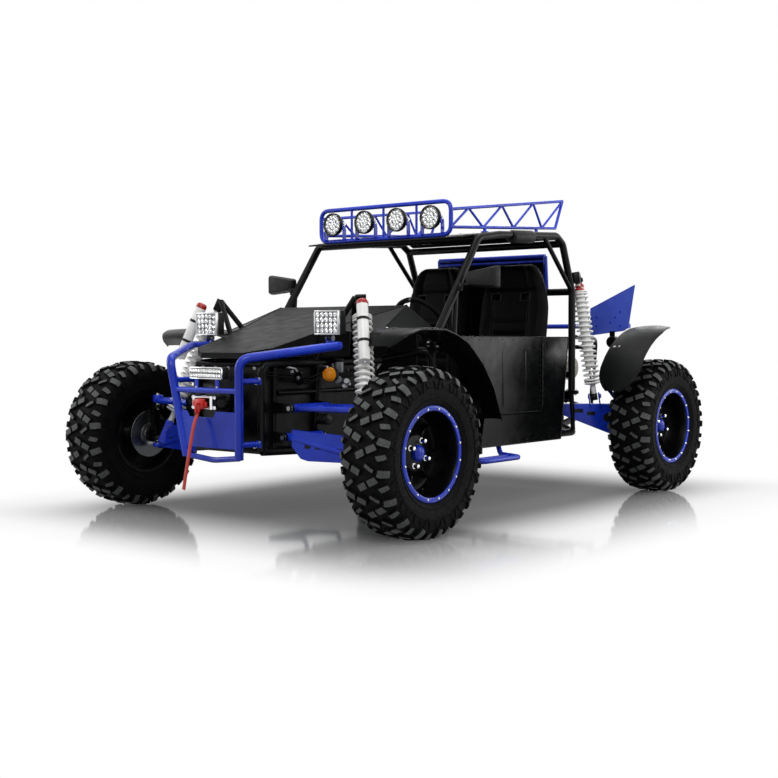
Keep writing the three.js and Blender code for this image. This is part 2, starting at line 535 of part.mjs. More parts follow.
for (const [name, side] of sides) {
  const ball = at(side * kingpin.x, -axleY, kingpin.lowZ);
  const topBall = at(side * kingpin.x, -axleY, kingpin.highZ);
  const { spot } = struts[`front_${name}`];
  const inset = bushR + lowerArm.tubeR;
  const bores = [[lowerArm.pivotX, lowerArm.pivotZ], [upperArm.pivotX, upperArm.pivotZ]].map(([x, z]) => bar(
    at(side * x, -frame.postFrontY, z), at(side * x, -frame.postRearY, z), bored(boltR), pinSides));
  const [lowBore, highBore] = bores;
  const ends = [-frame.postFrontY + inset, -frame.postRearY - inset];
  const socketBore = bar(ball.clone().setZ(kingpin.lowZ - kingpin.lugHalf * 4), ball.clone().setZ(kingpin.highZ),
    bored(kingpin.ballR, roundSides), roundSides);
  const ballSeat = ball.clone().setZ(kingpin.lowZ - kingpin.lugGap);
  const members = ends.map((y) => bar(at(side * lowerArm.pivotX, y, lowerArm.pivotZ), ballSeat, lowerArm.tubeR));
  const front = at(side * (lowerArm.pivotX + bushR), ends[0], lowerArm.plateTopZ);
  const outShare = 0.86;
  const outer = between(at(side * lowerArm.pivotX, ends[0], 0), at(ball.x, ball.y, 0), outShare);
  const outline = [
    front, front.clone().setZ(lerp(lowerArm.plateLowZ, lowerArm.plateTopZ, 0.45)),
    between(front, outer, 0.12).setZ(lowerArm.plateLowZ + bushR / 2), between(front, outer, 0.22).setZ(lowerArm.plateLowZ),
    outer.clone().setZ(lowerArm.plateLowZ), outer.clone().setZ(lerp(lowerArm.plateLowZ, lowerArm.plateTopZ, 0.5)),
    between(front, outer, 0.7).setZ(lowerArm.plateTopZ - bushR),
  ];
  const face = plate(side > 0 ? outline : outline.reverse(), lowerArm.plateThick);
  const bridgeShare = (frontStrut.footX - lowerArm.pivotX) / (kingpin.x - lowerArm.pivotX);
  const seats = ends.map((y) => between(at(side * lowerArm.pivotX, y, lowerArm.pivotZ), ball, bridgeShare));
  const bridge = bar(seats[0], seats[1], lowerArm.tubeR);
  const walls = clevis(strut.footHalf, -spot.length - strut.eyeR * 4.6, -spot.length + strut.eyeR)
    .map((wall) => placed(wall, spot.matrix));
  const lower = join(hingeTube(side * lowerArm.pivotX, lowerArm.pivotZ), members, face, bridge, walls, armSocket(ball));
  const lugZ = kingpin.lowZ + kingpin.ballR + kingpin.lugGap + kingpin.lugHalf;
  const lugRoom = bar(ball.clone().setZ(lugZ - kingpin.lugHalf - kingpin.lugGap / 2), ball.clone().setZ(kingpin.highZ),
    kingpin.socketR + kingpin.lugGap, roundSides);
  addMesh(`lower_arm_${name}`, lower.subtract(lowBore).subtract(socketBore).subtract(lugRoom), 'blue');

  const neck = topBall.clone().setZ(kingpin.highZ + kingpin.socketHalf);
  const elbows = [-upperArm.frontElbowY, -upperArm.rearElbowY];
  const prongs = ends.map((y, i) => bentTube([
    at(side * upperArm.pivotX, y, upperArm.pivotZ), at(side * upperArm.elbowX, elbows[i], kingpin.highZ + kingpin.socketHalf), neck,
  ], upperArm.tubeR, upperArm.bend));
  const upper = join(
    hingeTube(side * upperArm.pivotX, upperArm.pivotZ), prongs,
    bar(neck.clone().setZ(kingpin.highZ + kingpin.socketR), topBall.clone().setZ(kingpin.highZ - kingpin.socketHalf),
      kingpin.socketR - gap, roundSides),
    bar(neck, topBall.clone().setZ(kingpin.highZ - kingpin.socketHalf * 4), kingpin.studR, pinSides),
  ).subtract(highBore);
  addMesh(`upper_arm_${name}`, upper, 'blue');

  const studTop = lugZ + kingpin.lugHalf + gap;
  const ballShape = new THREE.SphereGeometry(kingpin.ballR, pinSides, tubeSides);
  ballShape.rotateX(Math.PI / 2);
  ballShape.translate(ball.x, ball.y, ball.z);
  const shoulderZ = lugZ - kingpin.lugHalf - gap;
  const joint = join(solid(ballShape), bar(ball, ball.clone().setZ(studTop), kingpin.studR, pinSides),
    bar(ball.clone().setZ(shoulderZ - kingpin.lugGap / 2), ball.clone().setZ(shoulderZ), kingpin.shoulderR, pinSides));
  addMesh(`ball_joint_${name}`, joint, 'alloy');

  const topLugZ = kingpin.highZ - kingpin.socketHalf - ballPlay - kingpin.lugHalf;
  const lug = (z, bore) => tubeRing(zAxis, at(ball.x, ball.y, z), kingpin.socketR, bore, kingpin.lugHalf);
  const webX = side * (kingpin.x + kingpin.socketR);
  const web = block(at(webX, -axleY, (lugZ + topLugZ) / 2), kingpin.lugHalf * 2, kingpin.socketR * 1.6,
    topLugZ - lugZ + 2 * kingpin.lugHalf);
  const spindle = bar(at(webX, -axleY, axleZ), at(side * (frontHalfTrack + rim.dishOffset + rim.dishThick - 2 * gap), -axleY, axleZ),
    spindleR, tyre.sides);
  const steerArm = bar(at(webX, -axleY, lugZ), at(webX, -axleY + kingpin.socketR * 4, lugZ), kingpin.lugHalf);
  const keep = [
    bar(at(ball.x, ball.y, lugZ - kingpin.lugHalf - overrun), at(ball.x, ball.y, lugZ + kingpin.lugHalf + overrun),
      bored(kingpin.studR), pinSides),
    bar(at(ball.x, ball.y, topLugZ - kingpin.lugHalf - overrun), at(ball.x, ball.y, topLugZ + kingpin.lugHalf + overrun),
      bored(kingpin.studR + ballPlay), pinSides),
  ];
  const knuckle = keep.reduce((whole, hole) => whole.subtract(hole),
    join(lug(lugZ, kingpin.studR + gap), lug(topLugZ, kingpin.studR + ballPlay), web, spindle, steerArm));
  addMesh(`knuckle_${name}`, knuckle, 'black');
}

// Rear trailing arms with hub carrier, spindle and fender
function fenderLine(radius, startDegrees, endDegrees, steps, rise) {
  return Array.from({ length: steps + 1 }, (_, i) => {
    const angle = THREE.MathUtils.degToRad(lerp(startDegrees, endDegrees, i / steps));
    const r = radius * (1 + rise * (i / steps));
    return [axleY + r * Math.cos(angle), axleZ + r * Math.sin(angle)];
  });
}

for (const [name, side] of sides) {
  const { spot } = struts[`rear_${name}`];
  const hubY = axleY - trailing.hubInset;
  const near = at(side * (trailing.outerX - trailing.nearInset), trailing.pivotY + trailing.nearInset, 0);
  const far = at(side * trailing.hubX, hubY, 0);
  const across = at(side * (far.y - near.y), side * (near.x - far.x), 0).normalize();
  const corners = [
    near.clone().setZ(trailing.pivotLowZ), far.clone().setZ(trailing.hubLowZ),
    far.clone().setZ(trailing.hubTopZ), near.clone().setZ(trailing.pivotTopZ),
  ].map((p) => p.clone().addScaledVector(across, -trailing.boxThick / 2));
  const box = plate(side > 0 ? corners : corners.reverse(), trailing.boxThick);
  const holeAt = between(near, far, trailing.holeShare).setZ(lerp(trailing.hubLowZ, trailing.hubTopZ, 0.62));
  const reach = across.clone().multiplyScalar(trailing.boxThick * 2);
  const hole = bar(holeAt.clone().sub(reach), holeAt.clone().add(reach), trailing.holeR, roundSides);
  const pivotMid = at(side * (trailing.innerX + trailing.outerX) / 2, trailing.pivotY, trailing.pivotZ);
  const pivotHalf = (trailing.outerX - trailing.innerX) / 2 - gap;
  const bush = tubeRing(xAxis, pivotMid, bushR + overrun, boltR + gap, pivotHalf);
  const bore = bar(pivotMid.clone().setX(0), pivotMid.clone().setX(side * frame.cabX), bored(boltR), pinSides);
  const innerEnd = at(side * trailing.innerX + side * trailing.innerR, trailing.pivotY, trailing.pivotZ);
  const inner = bar(innerEnd, at(side * trailing.hubX, hubY, axleZ), trailing.innerR);
  const carrier = block(at(side * (trailing.hubX + trailing.hubInset / 3), axleY, axleZ + trailing.holeR / 2), trailing.boxThick,
    trailing.hubInset * 2.6, trailing.hubTopZ - trailing.hubLowZ - trailing.holeR);
  const spindle = bar(at(side * trailing.hubX, axleY, axleZ),
    at(side * (rearHalfTrack + rim.dishOffset + rim.dishThick - 2 * gap), axleY, axleZ), spindleR, tyre.sides);
  const walls = clevis(strut.footHalf, -spot.length - strut.eyeR * 3, -spot.length + strut.eyeR)
    .map((wall) => placed(wall, spot.matrix));
  const line = fenderLine(rearFender.radius, rearFender.startDegrees, rearFender.endDegrees, 7, rearFender.riseShare);
  const flap = curvedSheet(line, -rearFender.thick, side * rearFender.innerX, side * rearFender.outerX);
  const [tipY, tipZ] = line[line.length - 1];
  const outline = [
    [side * rearFender.innerX, axleY - rearFender.radius * 2], [side * rearFender.outerX, axleY - rearFender.radius * 2],
    [side * rearFender.outerX, axleY - rearFender.radius / 4], [side * lerp(rearFender.innerX, rearFender.outerX, 0.8), tipY - rearFender.thick],
    [side * lerp(rearFender.innerX, rearFender.outerX, 0.45), tipY + rearFender.radius / 6],
    [side * rearFender.innerX, tipY - rearFender.radius / 6],
  ];
  const shaped = flap.intersect(prism('z', side > 0 ? outline : outline.reverse(), 0, tipZ * 2));
  const stayFoot = at(side * (trailing.hubX + trailing.hubInset / 4), axleY - trailing.hubInset, trailing.hubTopZ - trailing.holeR * 2);
  const [stayY, stayZ] = line[3];
  const stayTop = at(side * (rearFender.innerX + trailing.boxThick), stayY - rearFender.thick / 2, stayZ);
  const stay = bentTube([stayFoot, at(side * (rearFender.innerX - trailing.innerR), stayY, axleZ + tyre.radius * 0.6), stayTop],
    trailing.innerR / 2, overrun * 4);
  const arm = join(box, bush, inner, carrier, spindle, walls, shaped, stay).subtract(hole).subtract(bore);
  addMesh(`trailing_arm_${name}`, arm, 'blue');
}

// Lower frame
const frameParts = [];
const heelBarZ = cage.heelZ - cage.flange * 2 - gap - tubeR;
frameParts.push(bar(at(-cage.halfWidth, cage.heelY, heelBarZ), at(cage.halfWidth, cage.heelY, heelBarZ), tubeR));
for (const [name, side] of sides) {
  const p = (x, y, z) => at(side * x, y, z);
  frameParts.push(
    bentTube([
      p(frame.noseX, -frame.noseY, frame.noseZ), p(frame.kneeX, -frame.kneeY, frame.lowZ), p(frame.cabX, -frame.cabFrontY, frame.lowZ),
      p(frame.cabX, frame.cabRearY, frame.lowZ), p(frame.tailNeckX, frame.tailNeckY, frame.noseZ), p(frame.tailX, frame.tailY, frame.tailZ),
    ], tubeR, frame.bend),
    bentTube([
      p(frame.noseX, -frame.noseY, frame.noseZ - tubeR), p(frame.noseX, -frame.noseY, frame.upperNoseZ),
      p(frame.upperKneeX, -frame.upperKneeY, frame.upperKneeZ), p(frame.shoulderX, -frame.shoulderY, frame.shoulderZ),
      p(frame.cabX, -frame.cabFrontY, frame.lowZ),
    ], tubeR, frame.bend * 0.7),
    bar(p(trailing.innerX - tubeR * 2, trailing.pivotY, frame.lowZ), p(trailing.innerX - tubeR * 2, cage.heelY, heelBarZ), braceR),
  );
  const railShare = (y) => (frame.noseY - y) / (frame.noseY - frame.kneeY);
  for (const y of [frame.postFrontY, frame.postRearY]) {
    const lowX = lerp(frame.noseX, frame.kneeX, railShare(y));
    const highX = lerp(frame.noseX, frame.upperKneeX, (frame.noseY - y) / (frame.noseY - frame.upperKneeY));
    frameParts.push(bar(p(lowX, -y, frame.lowZ + tubeR / 2), p(highX, -y, frame.upperNoseZ), braceR));
    for (const { pivotX, pivotZ } of [lowerArm, upperArm]) {
      const inX = lerp(lowX, highX, (pivotZ - frame.lowZ) / (frame.upperNoseZ - frame.lowZ));
      const outX = pivotX + bushR;
      frameParts.push(block(p((inX + outX) / 2, -y, pivotZ), outX - inX, earThick, bushR * 2));
    }
  }
  for (const { pivotX, pivotZ } of [lowerArm, upperArm]) {
    frameParts.push(bar(p(pivotX, -frame.postFrontY, pivotZ), p(pivotX, -frame.postRearY, pivotZ), boltR, pinSides));
  }
  const { spot } = struts[`front_${name}`];
  const apex = towerApex(spot, side);
  towerLegShares.forEach((share) => {
    const foot = between(p(frame.noseX, -frame.noseY, frame.upperNoseZ), p(frame.upperKneeX, -frame.upperKneeY, frame.upperKneeZ), share);
    frameParts.push(bar(foot, apex, braceR));
  });
  const walls = clevis(strut.topHalf, -strut.eyeR, strut.eyeR * 1.9).map((wall) => placed(wall, spot.matrix));
  const shelf = block(at(0, 0, strut.eyeR * 1.6), (strut.topHalf + strut.wall) * 2, strut.eyeR * 2, strut.wall * 2);
  frameParts.push(walls, placed(shelf, spot.matrix), placed(strutPin(), spot.matrix));
  const pivotY = trailing.pivotY;
  const earX = [trailing.innerX - earThick / 2, trailing.outerX + earThick / 2];
  const earHeight = trailing.pivotZ + bushR - frame.lowZ;
  for (const x of earX) {
    frameParts.push(block(p(x, pivotY, frame.lowZ + earHeight / 2), earThick, bushR * 2, earHeight));
  }
  frameParts.push(bar(p(earX[0], pivotY, trailing.pivotZ), p(earX[1], pivotY, trailing.pivotZ), boltR, pinSides));
  frameParts.push(block(p((earX[1] + frame.cabX) / 2, pivotY, frame.lowZ), frame.cabX - earX[1], bushR * 2, tubeR));
  for (const y of [frame.seatRailFrontY, frame.seatRailRearY]) {
    frameParts.push(bar(p(frame.cabX, y, frame.lowZ), p(frame.cabX, y, frame.seatRailZ), braceR));
  }
  const foot = at(side * cage.footX, -cage.footY, cage.footZ - cage.flange - gap);
  frameParts.push(block(foot.clone().add(at(0, 0, -cage.flange / 2)), cage.flangeHalf * 2, cage.flangeHalf * 1.4, cage.flange));
  frameParts.push(bar(foot.clone().add(at(0, 0, -cage.flange * 1.5)), p(frame.shoulderX, -frame.shoulderY + tubeR / 2, frame.shoulderZ - frame.bend), tubeR * 0.8));
  const tailLand = block(p(frame.tailX, frame.tailY, frame.tailZ), cage.flangeHalf * 1.2, cage.flangeHalf * 1.2, tubeR * 2);
  const heel = at(side * cage.halfWidth, cage.heelY, cage.heelZ - cage.flange - gap);
  frameParts.push(block(heel.clone().add(at(0, 0, -cage.flange)), cage.flangeHalf * 2, cage.flangeHalf * 1.4, cage.flange * 2), tailLand);
  frameParts.push(bentTube([
    p(frame.cabX, -step.frontY * 0.6, frame.lowZ), p(step.innerX, -step.frontY * 0.6, step.z), p(step.outerX, -step.frontY, step.z),
    p(step.outerX, -step.rearY, step.z), p(step.innerX, step.rearY * 6, step.z), p(frame.cabX, step.rearY * 8, frame.lowZ),
  ], step.tubeR, step.bend));
}
const crossBars = [
  [frame.noseX, -frame.noseY, frame.noseZ], [frame.noseX, -frame.noseY, frame.upperNoseZ], [frame.kneeX, -frame.kneeY, frame.lowZ],
  [frame.upperKneeX, -frame.upperKneeY, frame.upperKneeZ], [frame.cabX, -frame.cabFrontY, frame.lowZ], [frame.cabX, frame.midY, frame.lowZ],
  [frame.cabX, trailing.pivotY, frame.lowZ], [frame.tailX, frame.tailY, frame.tailZ],
  [frame.cabX, frame.seatRailFrontY, frame.seatRailZ], [frame.cabX, frame.seatRailRearY, frame.seatRailZ],
];
for (const [x, y, z] of crossBars) frameParts.push(bar(at(-x, y, z), at(x, y, z), braceR));
const engineShelfZ = motor.mountZ - gap - sheet;
frameParts.push(
  prism('z', [[-frame.tailNeckX, motor.y - motor.length / 2], [frame.tailNeckX, motor.y - motor.length / 2],
    [frame.tailNeckX, motor.y + motor.length / 2], [-frame.tailNeckX, motor.y + motor.length / 2]], engineShelfZ, engineShelfZ + sheet),
);
for (const x of [-frame.tailX, frame.tailX]) {
  const railZ = lerp(frame.noseZ, frame.tailZ, (motor.y - frame.tailNeckY) / (frame.tailY - frame.tailNeckY));
  frameParts.push(bar(at(x, motor.y, railZ), at(x, motor.y, engineShelfZ + sheet / 2), braceR));
}
frameParts.push(block(at(0, -frame.noseY, (frame.noseZ + frame.upperNoseZ) / 2), frame.noseX * 2, sheet, frame.upperNoseZ - frame.noseZ));
addMesh('chassis_frame', join(frameParts), 'black');

// Roll cage with screen frame; its feet stand on the lower frame
const cageParts = [];
for (const [name, side] of sides) {
  const p = (x, y, z) => at(side * x, y, z);
  const pillar = (z) => between(p(cage.footX, -cage.footY, cage.footZ), p(cage.halfWidth, -cage.headerY, cage.headerZ),
    (z - cage.footZ) / (cage.headerZ - cage.footZ));
  cageParts.push(
    bentTube([
      p(cage.footX, -cage.footY, cage.footZ - cage.flange / 2), p(cage.halfWidth, -cage.headerY, cage.headerZ),
      p(cage.halfWidth, cage.domeY, cage.domeZ), p(cage.halfWidth, cage.rearY, cage.rearZ), p(cage.halfWidth, cage.bendY, cage.bendZ),
      p(cage.halfWidth, cage.waistY, cage.waistZ), p(cage.halfWidth, cage.heelY, cage.heelZ - cage.flange / 2),
    ], tubeR, cage.bend, tubeSides, 2),
    block(p(cage.footX, -cage.footY, cage.footZ - cage.flange / 2), cage.flangeHalf * 2, cage.flangeHalf * 1.4, cage.flange),
    block(p(cage.halfWidth, cage.heelY, cage.heelZ - cage.flange / 2), cage.flangeHalf * 2, cage.flangeHalf * 1.4, cage.flange),
    bar(p(cage.halfWidth, cage.stayTopY, cage.rearZ), p(cage.halfWidth, cage.waistY, cage.waistZ), braceR),
    bentTube([pillar(cage.braceTopZ), p(cage.footX - gap, -cage.braceFootY, cage.braceFootZ), pillar(cage.footZ + tubeR)],
      braceR, cage.bend / 2),
    bar(p(cage.screenHalf, cage.screenY, cage.screenZ), p(cage.screenHalf, cage.waistY, cage.waistZ), cage.screenR),
    bentTube([p(cage.halfWidth, cage.heelY, cage.tailRootZ), p(frame.tailNeckX, frame.tailY, frame.tailTopZ + cage.bend),
      p(frame.tailX, frame.tailY, frame.tailZ + tubeR + cage.flange)], braceR, cage.bend),
    block(p(frame.tailX, frame.tailY, frame.tailZ + tubeR + gap + cage.flange / 2), cage.flangeHalf, cage.flangeHalf, cage.flange),
  );
  const { spot } = struts[`rear_${name}`];
  const reachY = spot.top.y - cage.waistY + tubeR / 2;
  const low = -strut.eyeR;
  const high = strut.eyeR * 2;
  const shelf = block(at(0, reachY - strut.eyeR, (low + high) / 2), (strut.topHalf + strut.wall) * 2, strut.eyeR, high - low);
  cageParts.push(clevis(strut.topHalf, low, high, reachY).map((wall) => placed(wall, spot.matrix)));
  cageParts.push(placed(shelf, spot.matrix), placed(strutPin(), spot.matrix));
  const mount = pillar(mirror.pivotZ - mirror.armR * 2.25);
  const post = p(mirror.pivotX, mount.y, mount.z);
  cageParts.push(bar(mount, post, mirror.armR), bar(post, post.clone().setZ(mirror.pivotZ + mirror.collar), mirror.pinR, pinSides));
}
for (const [half, y, z] of [
  [cage.halfWidth, -cage.headerY, cage.headerZ], [cage.halfWidth, cage.domeY, cage.domeZ], [cage.halfWidth, cage.rearY, cage.rearZ],
  [cage.halfWidth, cage.waistY, cage.waistZ], [cage.halfWidth, cage.heelY, cage.lowBarZ], [cage.screenHalf, cage.screenY, cage.screenZ],
  [frame.tailNeckX, frame.tailY, frame.tailTopZ],
]) cageParts.push(bar(at(-half, y, z), at(half, y, z), braceR));
const under = (x, y, z) => block(at(x, y, z - cage.flange - cage.flangeHalf), cage.flangeHalf * 4, cage.flangeHalf * 2, cage.flangeHalf * 2);
const cageCuts = sides.flatMap(([, side]) => [
  under(side * cage.footX, -cage.footY, cage.footZ), under(side * cage.halfWidth, cage.heelY, cage.heelZ),
  under(side * frame.tailX, frame.tailY, frame.tailZ + tubeR + gap + cage.flange),
]);
addMesh('roll_cage', join(cageParts).subtract(join(cageCuts)), 'black');

// Roof skin rests on the cross bars
const roofRise = braceR + gap * 2;
const roofLine = [[-roof.visorY, 0], [cage.domeY, cage.domeZ + roofRise], [cage.rearY + braceR, cage.rearZ + roofRise + gap * 2]];
const frontSlope = (cage.domeZ - cage.headerZ) / (cage.domeY + cage.headerY);
const rearSlope = (cage.rearZ - cage.domeZ) / (cage.rearY - cage.domeY);
roofLine[0][1] = cage.headerZ + roofRise - frontSlope * (roof.visorY - cage.headerY);
addMesh('roof_panel', curvedSheet(roofLine, sheet, -roof.halfWidth, roof.halfWidth), 'panel');
function roofTop(y) {
  const [a, b] = y < cage.domeY ? [roofLine[0], roofLine[1]] : [roofLine[1], roofLine[2]];
  return lerp(a[1], b[1], (y - a[0]) / (b[0] - a[0])) + sheet * (1 + gap / 2);
}

// Light rack: hoop, posts, side trusses, lamp ears
const rackParts = [];
const hoopLowZ = roofTop(-hoop.y) + hoop.tube + gap * 2;
const lampY = -hoop.y - roofLamp.ahead;
const lampXs = [-3, -1, 1, 3].map((k) => (k * hoop.halfWidth) / 4);
rackParts.push(
  bentTube([at(0, -hoop.y, hoopLowZ), at(-hoop.halfWidth, -hoop.y, hoopLowZ), at(-hoop.halfWidth, -hoop.y, hoop.topZ - hoop.tube),
    at(hoop.halfWidth, -hoop.y, hoop.topZ - hoop.tube), at(hoop.halfWidth, -hoop.y, hoopLowZ), at(0, -hoop.y, hoopLowZ)],
  hoop.tube, hoop.bend),
  [-1, 0, 1].map((k) => bar(at((k * hoop.halfWidth) / 2, -hoop.y, hoopLowZ), at((k * hoop.halfWidth) / 2, -hoop.y, hoop.topZ - hoop.tube), hoop.webTube)),
);
for (const x of lampXs) {
  for (const k of [-1, 1]) {
    const earX = x + k * (roofLamp.radius + roofLamp.earGap + roofLamp.earThick / 2);
    rackParts.push(
      block(at(earX, lampY + roofLamp.earWidth / 4, (hoopLowZ + roofLamp.z + roofLamp.earWidth / 2) / 2), roofLamp.earThick, roofLamp.earWidth * 1.5,
        roofLamp.z + roofLamp.earWidth / 2 - hoopLowZ),
      bar(at(earX, lampY, roofLamp.z), at(x + k * (roofLamp.radius - roofLamp.pinDepth), lampY, roofLamp.z), roofLamp.pinR, pinSides),
    );
  }
}
for (const [, side] of sides) {
  const p = (y, z) => at(side * hoop.halfWidth, y, z);
  const lowLine = (share) => between(p(-hoop.y, hoop.trussFrontLowZ), p(hoop.trussRearLowY, hoop.trussRearLowZ), share);
  const topLine = (share) => between(p(-hoop.y, hoop.trussFrontTopZ), p(hoop.trussRearTopY, hoop.trussRearTopZ), share);
  rackParts.push(bar(lowLine(0), lowLine(1), hoop.trussTube), bar(topLine(0), topLine(1), hoop.trussTube), bar(lowLine(1), topLine(1), hoop.trussTube));
  for (let i = 0; i < hoop.webs; i += 1) {
    const [from, to] = i % 2 ? [topLine(i / hoop.webs), lowLine((i + 1) / hoop.webs)] : [lowLine(i / hoop.webs), topLine((i + 1) / hoop.webs)];
    rackParts.push(bar(from, to, hoop.webTube, 4));
  }
  for (const share of hoop.footShares) {
    const top = lowLine(share);
    rackParts.push(bar(top, top.clone().setZ(roofTop(top.y) + gap + hoop.footR * rearSlope), hoop.footR));
  }
}
addMesh('light_rack', join(rackParts), 'blue');

// Roof lamps tilt on two pins
lampXs.forEach((x, i) => {
  const half = roofLamp.depth / 2;
  const shell = turned([[0, -half], [roofLamp.radius * 0.55, -half], [roofLamp.radius, -half / 3], [roofLamp.radius, half],
    [roofLamp.radius - roofLamp.rimLip, half], [roofLamp.radius - roofLamp.rimLip, half - roofLamp.rimLip], [0, half - roofLamp.rimLip]],
  at(0, -1, 0), at(x, lampY, roofLamp.z), roofLamp.sides);
  const reach = roofLamp.radius + overrun;
  const deep = roofLamp.radius - roofLamp.pinDepth - gap;
  const bores = [-1, 1].map((k) => bar(at(x + k * deep, lampY, roofLamp.z), at(x + k * reach, lampY, roofLamp.z), bored(roofLamp.pinR), pinSides));
  addMesh(`roof_lamp_${i + 1}`, shell.subtract(join(bores)), 'lamp');
});

// Hood: sloping plane, front skirt, side cowls notched round the shock towers
const hoodParts = [
  plate([at(-hood.rearX, -hood.rearY, hood.rearZ), at(-hood.waistX, -hood.waistY, 0), at(-hood.noseX, -hood.noseY, 0), at(-hood.tipX, -hood.tipY, hood.tipZ),
    at(hood.tipX, -hood.tipY, hood.tipZ), at(hood.noseX, -hood.noseY, 0), at(hood.waistX, -hood.waistY, 0), at(hood.rearX, -hood.rearY, hood.rearZ)]
    .map((p) => p.setZ(lerp(hood.tipZ, hood.rearZ, (p.y + hood.tipY) / (hood.tipY - hood.rearY)))).reverse(), -sheet),
];
const hoodZ = (y) => lerp(hood.tipZ, hood.rearZ, (hood.tipY - y) / (hood.tipY - hood.rearY));
const skirtLine = [[-hood.waistX, hood.waistY], [-hood.noseX, hood.noseY], [-hood.tipX, hood.tipY], [hood.tipX, hood.tipY], [hood.noseX, hood.noseY], [hood.waistX, hood.waistY]];
for (let i = 0; i < skirtLine.length - 1; i += 1) {
  const [[x1, y1], [x2, y2]] = [skirtLine[i], skirtLine[i + 1]];
  const drop = (y) => Math.min(hood.skirtZ, hoodZ(y) - sheet * 4) + (hoodZ(y) - hood.tipZ) * 0.6;
  const inset = sheet / 2;
  hoodParts.push(plate([at(x1, -y1, drop(y1)), at(x2, -y2, drop(y2)), at(x2, -y2, hoodZ(y2) - inset), at(x1, -y1, hoodZ(y1) - inset)], -sheet));
}
for (const [, side] of sides) {
  const a = at(side * hood.rearX, -hood.rearY, hood.rearZ);
  const b = at(side * lerp(hood.waistX, hood.rearX, 0.11), -lerp(hood.waistY, hood.rearY, 0.11), 0);
  b.setZ(hoodZ(-b.y));
  const c = at(side * hood.sideX, -hood.sideY, hood.sideZ);
  const d = at(side * hood.sideRearX, -hood.sideRearY, hood.sideRearZ);
  const panels = [[a, b, c], [a, c, d]].map((corner) => plate(side > 0 ? corner : corner.slice().reverse(), side > 0 ? -sheet : -sheet));
  hoodParts.push(panels, bar(a, c, sheet), bar(a, b, sheet));
}
const towerCuts = [];
for (const [name, side] of sides) {
  const apex = towerApex(struts[`front_${name}`].spot, side);
  for (const share of towerLegShares) {
    const foot = between(at(side * frame.noseX, -frame.noseY, frame.upperNoseZ), at(side * frame.upperKneeX, -frame.upperKneeY, frame.upperKneeZ), share);
    towerCuts.push(bar(foot, apex, braceR + sheet, braceSides));
  }
}
addMesh('hood', join(hoodParts).subtract(join(towerCuts)), 'panel');

// Dashboard with instrument pod, column bearing and pedal brackets
const wheelCentre = at(steering.x, -steering.y, steering.z);
const columnWay = at(0, -1, -steering.dropShare).normalize();
const dashParts = [
  prism('y', [[-dash.topHalf, dash.topZ], [-dash.midHalf, dash.midZ], [-dash.midHalf, dash.lowZ], [dash.midHalf, dash.lowZ], [dash.midHalf, dash.midZ], [dash.topHalf, dash.topZ]],
    -dash.y, -dash.y + sheet),
  block(at(0, -dash.y - dash.shelf / 2 + sheet, dash.topZ - sheet / 2), dash.topHalf * 2, dash.shelf, sheet),
  block(at(dash.podX, -dash.y + dash.podDepth / 2, dash.topZ - dash.podHeight / 2), dash.podWidth, dash.podDepth, dash.podHeight),
];
const boss = wheelCentre.clone().addScaledVector(columnWay, (dash.y - steering.y) / -columnWay.y);
dashParts.push(bar(boss.clone().addScaledVector(columnWay, -steering.boss), boss.clone().addScaledVector(columnWay, steering.boss), steering.boss, roundSides));
const pedalSpots = [['brake_pedal', pedal.brakeX, pedal.padWidth], ['throttle_pedal', pedal.throttleX, pedal.padWidth * 0.7]];
for (const [, x] of pedalSpots) {
  for (const k of [-1, 1]) {
    const earX = x + k * (pedal.hubHalf + gap + sheet / 2);
    dashParts.push(block(at(earX, (-dash.y - pedal.pivotY) / 2 + sheet, pedal.pivotZ + pedal.hubR / 2), sheet, dash.y - pedal.pivotY + pedal.hubR * 2, pedal.hubR * 3));
  }
  dashParts.push(bar(at(x - pedal.hubHalf - sheet, -pedal.pivotY, pedal.pivotZ), at(x + pedal.hubHalf + sheet, -pedal.pivotY, pedal.pivotZ), pedal.pinR, pinSides));
}
const columnBore = bar(wheelCentre, wheelCentre.clone().addScaledVector(columnWay, steering.columnLength + overrun), bored(steering.columnR), pinSides);
addMesh('dashboard', join(dashParts).subtract(columnBore), 'panel');

// Pedals hang from the dashboard
for (const [name, x, width] of pedalSpots) {
  const top = at(x, -pedal.pivotY, pedal.pivotZ);
  const low = at(x, -pedal.pivotY + pedal.armLength * 0.25, pedal.pivotZ - pedal.armLength);
  const shape = join(
    tubeRing(xAxis, top, pedal.hubR, pedal.pinR + gap, pedal.hubHalf),
    bar(top.clone().lerp(low, pedal.hubR / pedal.armLength * 0.9), low, pedal.padThick / 2),
    block(low, width, pedal.padThick, pedal.padHeight),
  );
  addMesh(name, shape.subtract(bar(top.clone().setX(x - width), top.clone().setX(x + width), bored(pedal.pinR), pinSides)), 'alloy');
}

